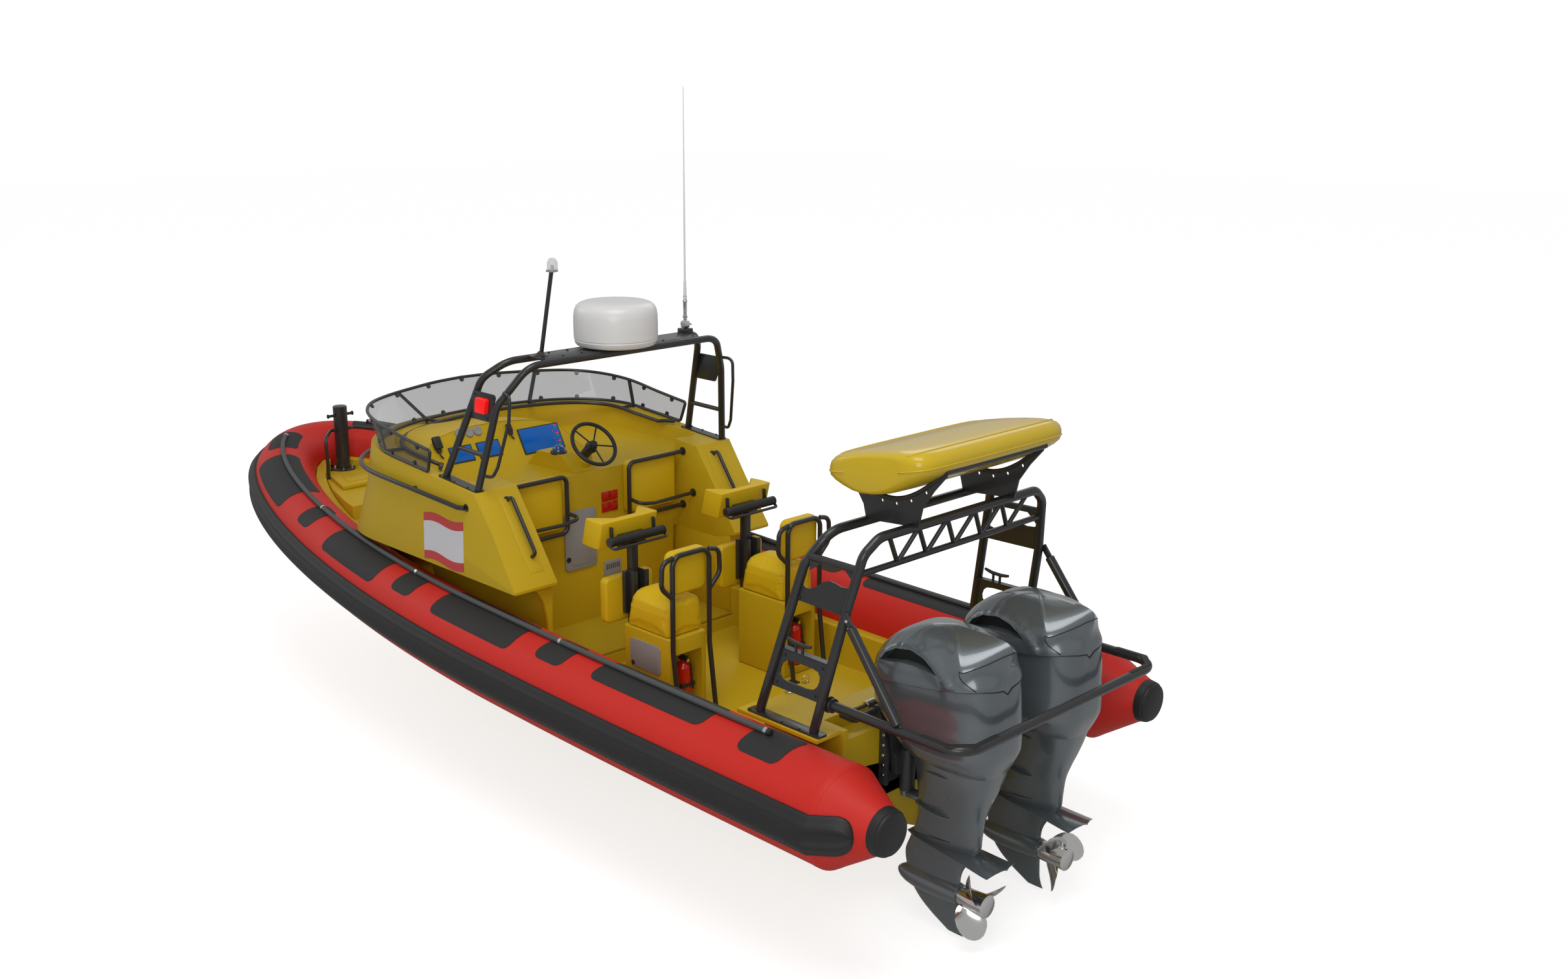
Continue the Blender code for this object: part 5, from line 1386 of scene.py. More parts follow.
def make_screen_clips(low, top, count, size):
    """Round clips along both edges of the screen."""
    clips = []
    for line, other in ((low, top), (top, low)):
        for p, run in spaced(line, count, 0.16):
            nearest = min(other, key=lambda v: (v - p).length)
            inner = (nearest - p).normalized() * 0.020
            facing = inner.cross(run)
            if facing.dot(Vector((p.x - SCREEN_X, p.y, 0))) < 0:
                facing = -facing
            clips.append((p + inner, facing))
    studs("screen_clips", clips, size, 0.010, "boat", "frame_black", "frame_paint", 18)


# Radar arch

ARCH_TOP = 2.035


class RadarArch(bpy.types.Operator):
    """Tubular arch with steps, plates, lamp, radome, mast and whip aerial"""
    bl_idname = "boat.radar_arch"
    bl_label = "Radar arch"

    def execute(self, context):
        make_arch_tubes()
        make_arch_fittings(context.scene.boat_frames.bolt)
        make_radome()
        make_whip()
        return {"FINISHED"}


def make_arch_tubes():
    """Two hoops, the deck between them, steps, side loops, plates, foot plates and the lamp's mast."""
    front = [(3.31, 1.062, 1.256), (3.05, 0.93, 1.93), (2.95, 0.80, ARCH_TOP), (2.95, 0.0, ARCH_TOP)]
    rear = [(2.945, 1.064, 1.232), (2.845, 0.965, 1.78), (2.72, 0.80, ARCH_TOP), (2.72, 0.0, ARCH_TOP)]
    arch = Shape("frame_paint")
    for half in (front, rear):
        arch.tube(whole(half), 0.024, 20, bend=0.16, steps=10)
    arch.slab(round_box((2.735, -0.66), (2.935, 0.66), 0.04), "z", ARCH_TOP + 0.010, ARCH_TOP + 0.0245,
              0.003)
    plate = flat_rounded([(2.915, 1.668), (3.165, 1.668), (3.078, 1.855), (2.832, 1.855)], 0.02, 5)
    thick = 0.009
    for sign in (1, -1):
        arch.tube([(3.228, sign * 1.018, 1.462), (2.902, sign * 1.018, 1.456)], 0.016, 16)
        loop = [(2.815, sign * 0.930, 1.866), (2.715, sign * 0.955, 1.866), (2.722, sign * 0.965, 1.70),
                (2.795, sign * 1.012, 1.400), (2.835, sign * 1.025, 1.332), (2.925, sign * 1.045, 1.330)]
        arch.tube(loop, 0.011, 14, bend=0.045)
        arch.slab(plate, "y", *span(sign, 0.970, 0.980), 0.0015)
        y0, y1 = span(sign, 1.024, 1.096)
        rows = []
        for x, pull in ((2.925, 0.012), (2.94, 0.0), (3.345, 0.0), (3.36, 0.012)):
            z = coaming_top(x) + GAP
            rows.append([(x, y0 + pull, z), (x, y1 - pull, z), (x, y1 - pull, z + thick),
                         (x, y0 + pull, z + thick)])
        arch.skin(rows)
    mast_x, mast_y = 2.86, 0.60
    arch.turned([(0.0, 0.048), (0.008, 0.048), (0.012, 0.040), (0.024, 0.024), (0.032, 0.016)],
                (mast_x, mast_y, ARCH_TOP + 0.020), steps=28)
    arch.tube([(mast_x, mast_y, ARCH_TOP + 0.02), (2.72, mast_y, 2.62)], 0.0135, 16)
    arch.block((2.905, -0.755, ARCH_TOP + 0.010), (2.985, -0.675, ARCH_TOP + 0.047), 0.006)
    arch.done("radar_arch_tubes", "boat", "frame_black", "radar_arch")


def make_arch_fittings(bolt):
    """Side lamp, mast lamp and bolts."""
    lamp = Shape("lamp_red")
    outline = flat_rounded([(2.925, 1.722), (3.030, 1.722), (3.015, 1.822), (2.905, 1.822)], 0.014, 5)
    lamp.slab(outline, "y", 0.978, 1.014, 0.006, 3)
    lamp.done("side_lamp", "boat", "signal_red")
    y = 0.60
    lens = Shape("clear_lens")
    lens.turned([(2.622, 0.030), (2.626, 0.034), (2.668, 0.033), (2.690, 0.024), (2.698, 0.008)],
                (2.71, y, 0))
    lens.use("steel").turned([(2.606, 0.015), (2.612, 0.038), (2.622, 0.038), (2.624, 0.030)],
                             (2.716, y, 0))
    lens.turned([(2.624, 0.010), (2.650, 0.010), (2.655, 0.005)], (2.711, y, 0), steps=16)
    lens.done("mast_lamp", "boat", "screen_glass")
    points = []
    for sign in (1, -1):
        for x in (2.945, 3.03, 3.18, 3.30, 3.345):
            points.append(((x, sign * 1.088, coaming_top(x) + 0.0105), (-0.07, 0, 1)))
        for x, z in ((2.935, 1.69), (3.135, 1.69), (2.865, 1.835), (3.06, 1.835)):
            points.append(((x, sign * 0.982, z), (0, sign, 0)))
    points += [((x, y, 2.0610), (0, 0, 1)) for x in (2.76, 2.91) for y in (-0.62, -0.35, 0.35, 0.50)]
    studs("radar_arch_bolts", points, bolt, 0.006, "boat", "frame_black", "frame_paint")


def make_radome():
    """Radome shell with its groove, on four feet."""
    x, foot = 2.835, 2.0598
    dome = Shape("white_shell")
    profile = [(foot, 0.215), (2.064, 0.235), (2.072, 0.262), (2.085, 0.272), (2.105, 0.2775),
               (2.110, 0.2745), (2.1135, 0.2745), (2.118, 0.279), (2.20, 0.2800), (2.262, 0.2785),
               (2.300, 0.273), (2.325, 0.262), (2.343, 0.242), (2.353, 0.215), (2.359, 0.165),
               (2.3615, 0.09), (2.362, 0.01)]
    dome.turned(profile, (x, 0, 0), steps=72)
    dome.use("black_plastic")
    for y in (0.12, -0.12):
        for away in (-0.075, 0.075):
            dome.turned([(foot, 0.018), (2.066, 0.018)], (x + away, y, 0), steps=16)
    dome.done("radome_shell", "boat", "radome_white", "radome", angle=30)


def make_whip():
    """Whip aerial on its laydown ratchet, with the ratchet's lever."""
    x, y, z = 2.945, -0.715, 2.1103
    whip = Shape("steel")
    whip.turned([(-0.022, 0.022), (-0.020, 0.028), (0.020, 0.028), (0.022, 0.022)], (x, y, z), (0, 1, 0),
                28)
    whip.turned([(0.0, 0.012), (0.040, 0.012), (0.044, 0.016), (0.060, 0.016), (0.064, 0.012),
                 (0.150, 0.0135), (0.155, 0.0155), (0.170, 0.0155), (0.175, 0.012),
                 (0.20, 0.012)], (x, y, z), steps=24)
    whip.tube([(x, y - 0.024, z), (x, y - 0.050, z), (x, y - 0.058, z - 0.014)], 0.004, 10, bend=0.01)
    whip.use("white_shell")
    whip.turned([(0.195, 0.0115), (0.30, 0.0095), (0.31, 0.0072), (0.70, 0.0058), (1.10, 0.0042),
                 (1.60, 0.0024), (1.618, 0.0018), (1.620, 0.0006)], (x, y, z), steps=16)
    whip.done("whip_rod", "whip_aerial", "radome_white", "whip_aerial")


# Seats

def swollen(obj, cap, voxel=0.006):
    """Swell a closed pad by cloth pressure, with each point's travel capped."""
    frames = 20
    mod = obj.modifiers.new("Remesh", "REMESH")
    mod.mode, mod.voxel_size, mod.use_smooth_shade = "VOXEL", voxel, True
    obj.data = settled(obj)
    start = [v.co.copy() for v in obj.data.vertices]
    scene = bpy.context.scene
    cloth = obj.modifiers.new("Cloth", "CLOTH")
    cloth.settings.use_pressure = True
    cloth.settings.uniform_pressure_force = 4.0
    cloth.settings.effector_weights.gravity = 0.0
    cloth.settings.quality = 4
    for step in range(1, frames + 1):
        scene.frame_set(step)
    mesh = settled(obj)
    scene.frame_set(1)
    for v, before in zip(mesh.vertices, start):
        move = v.co - before
        if move.length > cap:
            v.co = before + move.normalized() * cap
    return mesh


def cushion(name, shape, node, cap):
    """A padded piece of the boat: swelled, covered, riding on the boat and standing for its node."""
    obj = loose(name + "_form", shape)
    mesh = swollen(obj, cap)
    bpy.data.objects.remove(obj, do_unlink=True)
    piece = place_piece(name, mesh, ["seat_cover"], "boat", "pad_yellow", node, angle=60)


class Seats(bpy.types.Operator):
    """Leaning seats and rear seat pods with their frames, cushions and extinguishers"""
    bl_idname = "boat.seats"
    bl_label = "Seats"

    def execute(self, context):
        for sign, side in SIDES:
            y = sign * SEAT_Y
            make_seat_post(y, side)
            make_seat_pads(y, sign, side)
            make_pod(y, sign, side)
            make_pod_pads(y, side, context.scene.boat_seats.crown)
            make_pod_frame(y, side)
            make_extinguisher(y, side)
        return {"FINISHED"}


def make_seat_post(y, side):
    """Square post with its slotted slides, whose slots are painted shade, the head that carries the wedge,
    and the knee roll.
    """
    slide_low, slide_top = 0.478, 0.782
    roll_x, roll_z, roll_half = 2.060, 1.003, 0.213
    post = Shape("frame_paint")
    post.block((2.078, y - 0.027, 0.40), (2.132, y + 0.027, 0.955), 0.006, 3)
    for s in (1, -1):
        a, b = sorted((y + s * 0.030, y + s * 0.040))
        post.block((2.030, a, slide_low), (2.120, b, slide_top), 0.004)
        a, b = sorted((y + s * 0.028, y + s * 0.064))
        post.block((2.0205, a, slide_low), (2.032, b, slide_top), 0.004)
        # Each slot is a near-black bar on the slide: painted shade where the opening would be.
        slot = y + s * 0.046
        post.use("seam").block((2.0190, slot - 0.004, 0.56), (2.0208, slot + 0.004, 0.705), 0.0005, 1)
        post.use("frame_paint")
    post.block((2.100, y - 0.066, 0.49), (2.134, y + 0.066, 0.77), 0.004)
    post.block((2.088, y - 0.10, 0.932), (2.1392, y + 0.10, 1.018), 0.006)
    post.use("rubber").tube([(roll_x, y - roll_half, roll_z), (roll_x, y + roll_half, roll_z)], 0.0298, 28)
    post.use("frame_paint")
    for s in (1, -1):
        post.turned([(0.0, 0.030), (0.010, 0.030), (0.012, 0.026)], (roll_x, y + s * roll_half, roll_z),
                    (0, s, 0), 28)
    post.tube([(2.062, y + 0.219, 0.985), (2.018, y + 0.219, 0.968), (2.018, y - 0.219, 0.968),
               (2.062, y - 0.219, 0.985)], 0.0095, 14, bend=0.03)
    for s in (1, -1):
        post.block((2.085, y + s * 0.172 - 0.0065, 1.01), (2.112, y + s * 0.172 + 0.0065, 1.086))
    post.done("leaning_post_" + side, "boat", "frame_black", "seat_post_" + side)


def make_seat_pads(y, sign, side):
    """The knee pad on the post and the wedge with its two ears."""
    pad = Shape("seat_cover")
    pad.slab(round_box((y - 0.195, 0.437), (y + 0.195, 0.737), 0.035), "x", 2.1365, 2.203, 0.016, 4)
    piece = pad.done("knee_pad_" + side, "boat", "pad_yellow", "seat_squab_" + side, angle=60)
    wedge = Shape("seat_cover")
    half = [(2.105, -0.228), (2.200, -0.227), (2.286, -0.216), (2.280, -0.200), (2.166, -0.086)]
    lean = Matrix(((1, 0, -0.25, 0.28), (0, 1, 0, y + sign * 0.012), (0, 0, 1, 0), (0, 0, 0, 1)))
    wedge.slab(half + [(x, -w) for x, w in reversed(half)], "z", 0.938, 1.120, 0.010, 3, lean)
    piece = wedge.done("seat_wedge_" + side, "boat", "pad_yellow", "seat_back_" + side, angle=60)


def make_pod(y, sign, side):
    """The pod's box, open at the back, and the latched panel on its outer side."""
    x0, x1, half = 1.58, 2.02, 0.15
    body = loose("pod_body", Shape("gelcoat").block((x0, y - half, SOLE_Z + GAP), (x1, y + half, 0.470),
                                                    0.012, 3))
    recess = loose("pod_recess", Shape().block((x0 - 0.05, y - 0.11, -0.01), (x0 + 0.13, y + 0.11, 0.36),
                                               0.01))
    place_piece("pod_box_" + side, taken(carve(body, [recess])), ["gelcoat"], "boat", "gelcoat_yellow",
                "pod_" + side)
    panel = Shape("grey_plastic")
    face = y + sign * half
    panel.slab(round_box((1.67, 0.21), (1.955, 0.40), 0.03), "y",
               *sorted((face - sign * 0.001, face + sign * 0.007)), 0.002)
    panel.use("black_plastic").turned([(0.0, 0.017), (0.0015, 0.016), (0.0010, 0.012), (0.0010, 0.002)],
                                      (1.927, face + sign * 0.0066, 0.235), (0, sign, 0), 24)
    panel.done("pod_panel_" + side, "boat", "hatch_grey")
POD_SEAT = ((0.4720, 0.146, 2.014, 1.606), (0.50, 0.147, 2.014, 1.604), (0.60, 0.143, 1.995, 1.604),
            (0.650, 0.133, 1.982, 1.604), (0.682, 0.118, 1.965, 1.606), (0.700, 0.096, 1.945, 1.612),
            (0.711, 0.070, 1.925, 1.622), (0.717, 0.040, 1.90, 1.64))


def make_pod_pads(y, side, crown):
    """The saddle-shaped seat, by (height, half width, front, rear) levels, and the backrest."""
    rings = []
    for z, w, front, rear in POD_SEAT:
        ring = [(u, y + v, z) for u, v in ((rear, -w), (front - 0.03, -w), (front, -w * 0.72),
                                           (front, w * 0.72), (front - 0.03, w), (rear, w))]
        rings.append([tuple(p) for p in rounded(ring, 0.022, 3, True)])
    cushion("pod_seat_" + side, Shape("seat_cover").skin(rings), "pod_cushion_" + side, min(crown, 0.006))
    back = Shape("seat_cover")
    back.slab(round_box((y - 0.150, 0.750), (y + 0.150, 1.025), 0.05, 8), "x", 1.5735, 1.640, 0.018, 4)
    piece = back.done("pod_backrest_" + side, "boat", "pad_yellow", "pod_back_" + side, angle=60)


def make_pod_frame(y, side):
    """The hoop behind the pod, its two arm loops and its feet."""
    x, half, top, foot_z = 1.552, 0.150, 1.01, SOLE_Z + 0.004
    tubes = Shape("frame_paint")
    tubes.tube([(1.49, y - half, foot_z), (x, y - half, 0.40), (x, y - half, top), (x, y + half, top),
                (x, y + half, 0.40), (1.49, y + half, foot_z)], 0.0162, 18, bend=0.07)
    for s in (1, -1):
        tubes.tube([(x, y + s * 0.145, 1.005), (x, y + s * 0.232, 0.985), (x, y + s * 0.240, 0.83),
                    (x, y + s * half, 0.745)], 0.0155, 16, bend=0.085)
        foot = y + s * half
        tubes.block((1.455, foot - 0.028, SOLE_Z + GAP), (1.525, foot + 0.028, SOLE_Z + 0.010), 0.002)
    tubes.done("pod_tubes_" + side, "boat", "frame_black", "pod_frame_" + side)


def make_extinguisher(y, side):
    """Red bottle with its valve, levers, hose, gauge and strap."""
    mid = y - 0.01
    bottle = Shape("signal_red")
    bottle.turned([(-0.0097, 0.044), (-0.004, 0.050), (0.004, 0.052), (0.228, 0.052), (0.248, 0.048),
                   (0.266, 0.036), (0.280, 0.018), (0.288, 0.017)], (1.645, mid, 0), steps=36)
    bottle.use("black_plastic").block((1.612, mid - 0.010, 0.284), (1.680, mid + 0.010, 0.302))
    bottle.block((1.600, mid - 0.008, 0.306), (1.665, mid + 0.008, 0.320))
    bottle.tube([(1.612, mid, 0.292), (1.596, y - 0.03, 0.27), (1.590, y - 0.045, 0.10)], 0.006, 10,
                bend=0.03)
    bottle.use("steel").turned([(0.0, 0.011), (0.004, 0.011)], (1.600, mid, 0.293), (-1, 0, 0), 18)
    bottle.use("black_plastic").block((1.590, mid - 0.054, 0.12), (1.700, mid + 0.054, 0.145), 0.002)
    bottle.done("bottle_" + side, "boat", "signal_red", "extinguisher_" + side)


# Aft frame

class AftFrame(bpy.types.Operator):
    """Aft A-frame, raft cradle and pack, and the engine guard"""
    bl_idname = "boat.aft_frame"
    bl_label = "Aft frame"

    def execute(self, context):
        bolt = context.scene.boat_frames.bolt
        make_a_frame(bolt)
        make_cradle()
        make_raft_pack()
        make_guard(bolt)
        return {"FINISHED"}


FORE_BAR = [(0.50, 0.935, AFT_DECK_Z + 0.012), (0.30, 0.80, 1.30), (0.21, 0.70, 1.480), (0.21, 0.0, 1.480)]
AFT_BAR = [(0.09, 0.935, AFT_DECK_Z + 0.012), (-0.045, 0.85, 1.10), (-0.10, 0.78, 1.43),
           (-0.12, 0.68, 1.510), (-0.12, 0.0, 1.510)]


def on_bar(bar, z):
    """Where a leg's centre-line is at a height."""
    for a, b in zip(bar, bar[1:]):
        if a[2] <= z <= b[2]:
            t = (z - a[2]) / (b[2] - a[2])
            return Vector(a).lerp(Vector(b), t)
    return Vector(bar[-1])


def leg_place(sign, share, z, out=0.0):
    """A place between the two legs: share runs from the fore leg (0) to the aft one (1)."""
    p = on_bar(FORE_BAR, z).lerp(on_bar(AFT_BAR, z), share)
    return Vector((p.x, sign * (p.y + out), z))


def leg_plate(shape, sign, outline, hole=None):
    """A gusset between the two legs, with a hole that has as many points as its outline."""
    half = 0.005
    other = bmesh.new()

    def row(points, out):
        return [other.verts.new(leg_place(sign, t, z, out - 0.006)) for t, z in points]

    outer = [row(outline, half), row(outline, -half)]
    pairs = [(outer[0], outer[1])]
    if hole is None:
        other.faces.new(outer[0])
        other.faces.new(outer[1])
    else:
        inner = [row(hole, half), row(hole, -half)]
        pairs += [(outer[0], inner[0]), (outer[1], inner[1]), (inner[0], inner[1])]
    for a, b in pairs:
        for i in range(len(outline)):
            j = (i + 1) % len(outline)
            other.faces.new((a[i], a[j], b[j], b[i]))
    bmesh.ops.recalc_face_normals(other, faces=other.faces)
    shape.merge(other, 0.0015, 1, 40)
GUSSET = [(0.0, 0.595), (0.28, 0.595), (0.50, 0.595), (0.72, 0.595), (1.0, 0.595), (1.0, 0.66),
          (1.0, 0.705), (1.0, 0.75), (1.0, 0.810), (0.72, 0.810), (0.50, 0.810), (0.28, 0.810),
          (0.0, 0.810), (0.0, 0.75), (0.0, 0.705), (0.0, 0.66)]
GUSSET_HOLE = [(0.20, 0.652), (0.32, 0.645), (0.50, 0.645), (0.68, 0.645), (0.79, 0.652), (0.845, 0.675),
               (0.86, 0.705), (0.845, 0.735), (0.79, 0.757), (0.68, 0.764), (0.50, 0.764), (0.32, 0.764),
               (0.20, 0.757), (0.145, 0.735), (0.13, 0.705), (0.145, 0.675)]
WAVY_GUSSET = [(0.0, 1.095), (0.25, 1.095), (0.5, 1.095), (0.75, 1.095), (1.0, 1.095), (1.0, 1.257),
               (0.90, 1.243), (0.78, 1.238), (0.64, 1.247), (0.54, 1.250), (0.44, 1.236), (0.32, 1.195),
               (0.24, 1.176), (0.16, 1.174), (0.06, 1.184), (0.0, 1.186)]


def make_a_frame(bolt):
    """The aft frame: two hoops, the truss between them, and what each side carries."""
    arch = Shape("frame_paint")
    for half, bend in ((AFT_BAR, 0.10), (FORE_BAR, 0.15)):
        arch.tube(whole(half), 0.027, 22, bend=bend, steps=10)
    arch.tube([(-0.075, 0.815, 1.32), (-0.075, -0.815, 1.32)], 0.018, 16)
    ends = ((-0.118, 1.50), (-0.075, 1.32))
    for i in range(5):
        for (xa, za), (xb, zb), late in ((*ends, 0.0), (*reversed(ends), 0.5)):
            y = 0.60 - 0.24 * (i + late)
            arch.tube([(xa, y, za), (xb, y - 0.12, zb)], 0.0135, 12)
    points = []
    for sign in (1, -1):
        add_frame_side(arch, points, sign)
    arch.done("a_frame_tubes", "boat", "frame_black", "aft_arch")
    studs("a_frame_bolts", points, bolt, 0.006, "boat", "frame_black", "frame_paint")
    make_deck_rings()


def add_frame_side(arch, points, sign):
    """One side of the aft frame: tie, feet, gussets, cleat and flange; its bolts go into points."""
    arch.tube([(0.270, sign * 0.79, 1.345), (-0.08, sign * 0.80, 1.350)], 0.021, 18)
    y0, y1 = span(sign, 0.792, 0.802)
    arch.slab([(0.262, 1.335), (0.175, 1.335), (0.262, 1.270)], "y", y0, y1, 0.001, 1)
    arch.slab([(-0.070, 1.340), (0.020, 1.340), (-0.055, 1.272)], "y", y0, y1, 0.001, 1)
    y0, y1 = span(sign, 0.898, 0.972)
    arch.slab(round_box((0.02, y0), (0.57, y1), 0.015, 4), "z", AFT_DECK_Z + GAP, AFT_DECK_Z + 0.013)
    points += [((x, sign * 0.963, AFT_DECK_Z + 0.0145), (0, 0, 1)) for x in (0.04, 0.17, 0.30, 0.42, 0.55)]
    leg_plate(arch, sign, GUSSET, GUSSET_HOLE)
    shelf, shelf_z, thick = 0.040, 0.811, 0.008
    rows = []
    for t in (0.02, 0.98):
        p = leg_place(1, t, 0.810)
        rows.append([(p.x, sign * (p.y - back), z) for back, z in (
            (0.0, shelf_z), (shelf, shelf_z), (shelf, shelf_z + thick), (0.0, shelf_z + thick))])
    arch.skin(rows)
    leg_plate(arch, sign, WAVY_GUSSET)
    for t, z in ((0.14, 0.625), (0.86, 0.625), (0.14, 0.785), (0.86, 0.785), (0.10, 1.115), (0.90, 1.115)):
        points.append((leg_place(sign, t, z, 0.001), (0, sign, 0.15)))
    for x in (0.292, 0.242):
        arch.tube([(x, sign * 0.868, 0.81), (x, sign * 0.870, 0.862)], 0.0085, 14)
    horn = [(0.358, 0.880), (0.335, 0.874), (0.300, 0.866), (0.235, 0.864), (0.200, 0.868), (0.178, 0.872)]
    arch.tube([(x, sign * 0.870, z) for x, z in horn], [0.0085, 0.0105, 0.0115, 0.0115, 0.0105, 0.0085], 14)
    p = on_bar(AFT_BAR, GUARD_Z)
    arch.turned([(0.0, 0.045), (0.008, 0.045), (0.010, 0.028)], (p.x - 0.028, sign * GUARD_Y, GUARD_Z),
                (-1, 0, 0), 24)


def make_deck_rings():
    """Lifting rings on the aft bench and a small one on the sole, each on its plate."""
    ring = Shape("steel")
    turns = [2 * pi * k / 28 for k in range(28)]
    for x, y, z, wire in ((0.585, 0.62, 0.452, 0.0045), (0.585, -0.62, 0.452, 0.0045),
                          (1.433, -0.402, SOLE_Z + 0.030, 0.0042)):
        ring.tube([(x, y + 0.026 * cos(a), z + 0.026 * sin(a)) for a in turns], wire, 12, closed=True)
    for sign in (1, -1):
        ring.block((0.565, sign * 0.62 - 0.018, 0.4203), (0.605, sign * 0.62 + 0.018, 0.426), 0.002)
    ring.block((1.415, -0.420, SOLE_Z + GAP), (1.451, -0.384, SOLE_Z + 0.005), 0.001)
    ring.done("deck_rings", "boat", "steel")
SADDLE_STEPS = 20


def saddle_curve():
    """The raft cradle's upper edge, from its fore end to its aft end."""
    shares = [k / SADDLE_STEPS for k in range(SADDLE_STEPS + 1)]
    return [(0.325 - 0.67 * t, 1.74 + 0.12 * t - 0.150 * sin(pi * t)) for t in shares]


def make_cradle():
    """Two saddle plates with lightening holes and rolled edges, and the bars across their ends."""
    cradle = Shape("frame_paint")
    curve = saddle_curve()
    lower = [(x - 0.012 * sin(pi * k / SADDLE_STEPS), z - 0.030 - 0.030 * sin(pi * k / SADDLE_STEPS))
             for k, (x, z) in enumerate(curve)]
    feet = [(-0.262, 1.735), (-0.190, 1.630), (-0.165, 1.520), (-0.05, 1.512), (0.10, 1.500),
            (0.200, 1.493), (0.222, 1.575), (0.285, 1.665)]
    outline = curve + [lower[-1]] + feet + [lower[0]]
    for y in (0.42, -0.42):
        plate = loose("saddle", Shape("frame_paint").slab(outline, "y", y - 0.006, y + 0.006, 0))
        holes = [(curve[k][0], curve[k][1] - 0.028, 0.010, 16) for k in (4, 7, 10, 13, 16)]
        holes += [(half[-1][0], half[-1][2], 0.0278, 24) for half in (AFT_BAR, FORE_BAR)]
        carve(plate, [loose("hole", Shape().turned([(-0.02, r), (0.02, r)], (x, y, z), (0, 1, 0), sides))
                      for x, z, r, sides in holes])
        cradle.bm.from_mesh(plate.data)
        bpy.data.objects.remove(plate)
        cradle.tube([(x, y, z) for x, z in curve], 0.013, 16)
    for x, z in ((0.325, 1.74), (-0.347, 1.857)):
        cradle.tube([(x, 0.436, z), (x, -0.436, z)], 0.0165, 18)
    cradle.done("cradle_saddles", "boat", "frame_black", "raft_cradle")
RAFT_UPPER = [(0.366, 0.020), (0.364, 0.052), (0.352, 0.084), (0.326, 0.108), (0.285, 0.124), (0.20, 0.136),
              (0.07, 0.142)]
RAFT_LOWER = [(-0.357, -0.010), (-0.318, -0.038), (-0.25, -0.070), (-0.17, -0.100), (-0.09, -0.117)]
RAFT_ENDS = ((0.642, 0.52), (0.640, 0.62), (0.634, 0.72), (0.622, 0.81), (0.602, 0.88), (0.572, 0.93),
             (0.53, 0.962), (0.46, 0.984), (0.36, 0.994), (0.26, 1.0), (0.13, 1.0), (0.0, 1.0))


def raft_ring(y, scale):
    """The pack's section at one place across the boat, tipped with the cradle."""
    middle_x, middle_z, tip = -0.01, 1.8192, 0.12 / 0.67
    section = RAFT_UPPER + [(-u, w) for u, w in reversed(RAFT_UPPER)] + RAFT_LOWER + [(0.0, -0.123)]
    out = []
    for u, w in section + [(-u, w) for u, w in reversed(RAFT_LOWER)]:
        x = middle_x + u * scale
        w *= 0.86 if w > 0 else 1.0
        out.append((x, y, middle_z - tip * (x - middle_x) + w * (0.45 + 0.55 * scale)))
    return out


def make_raft_pack():
    """Hard raft pack: full ends with raised creases along its edges and its lid."""
    sections = [(y, s) for y, s in RAFT_ENDS] + [(-y, s) for y, s in reversed(RAFT_ENDS[:-1])]
    pack = Shape("raft_shell").skin([raft_ring(y, s) for y, s in sections])
    for k in (0, 13):
        pack.tube([raft_ring(y + (0.001 if i < len(RAFT_ENDS) else -0.001), s)[k]
                   for i, (y, s) in enumerate(sections)], 0.0045, 10)
    for k in (4, 9):
        pack.tube([Vector(raft_ring(y, s)[k]) + Vector((0, 0, -0.0005)) for y, s in sections[3:-3]], 0.0055,
                  10)
    pack.done("raft_pack", "boat", "pad_yellow", "raft_pod", angle=60)


def make_guard(bolt):
    """The rail round the engines, its struts with their clevises, flanges and the tread on its corners."""
    y, z = GUARD_Y, GUARD_Z
    guard = Shape("frame_paint")
    guard.tube([(0.0265, y, z), (-0.875, y, z), (-0.875, -y, z), (0.0265, -y, z)], 0.027, 22, bend=0.14,
               steps=12)
    points = []
    for sign in (1, -1):
        guard.tube([(-0.108, sign * 0.875, 1.060), (-0.452, sign * y, 0.622)], 0.0275, 24)
        for px, py, pz in ((-0.085, 0.873, 1.092), (-0.474, y, z)):
            guard.block((-0.040, -0.0065, -0.021), (0.040, 0.0065, 0.021), 0.006, 3,
                        Matrix.Translation((px, sign * py, pz)) @ Matrix.Rotation(-0.905, 4, "Y"))
            points.append(((px, sign * (py + 0.010), pz), (0, sign, 0)))
        guard.turned([(0.0, 0.040), (0.010, 0.040), (0.012, 0.028)], (0.005, sign * y, z), (-1, 0, 0), 28)
        corner = [(-0.60, 0.868), (-0.60, 0.898), (-0.80, 0.898), (-0.889, 0.80), (-0.889, 0.60),
                  (-0.860, 0.60), (-0.862, 0.775), (-0.775, 0.868)]
        corner = flat_rounded([(px, sign * py) for px, py in corner], 0.03, 4)
        guard.use("tread_rubber").slab(corner, "z", z + 0.0155, z + 0.0285, 0.003)
        guard.use("frame_paint")
    guard.done("guard_rail", "boat", "frame_black", "engine_guard")
    studs("guard_pins", points, bolt * 1.2, 0.010, "boat", "steel", "steel", 12)


# Engines

class Engines(bpy.types.Operator):
    """Twin outboards: cowls, legs, propellers, brackets and steering rams"""
    bl_idname = "boat.engines"
    bl_label = "Engines"

    def execute(self, context):
        seam = context.scene.boat_engines.seam
        for sign, side in SIDES:
            y = sign * ENGINE_Y
            make_cowl(y, side)
            make_cowl_trim(y, side, seam)
            make_leg(y, side)
            make_propeller(y, side, sign)
            make_brackets(y, side)
        return {"FINISHED"}


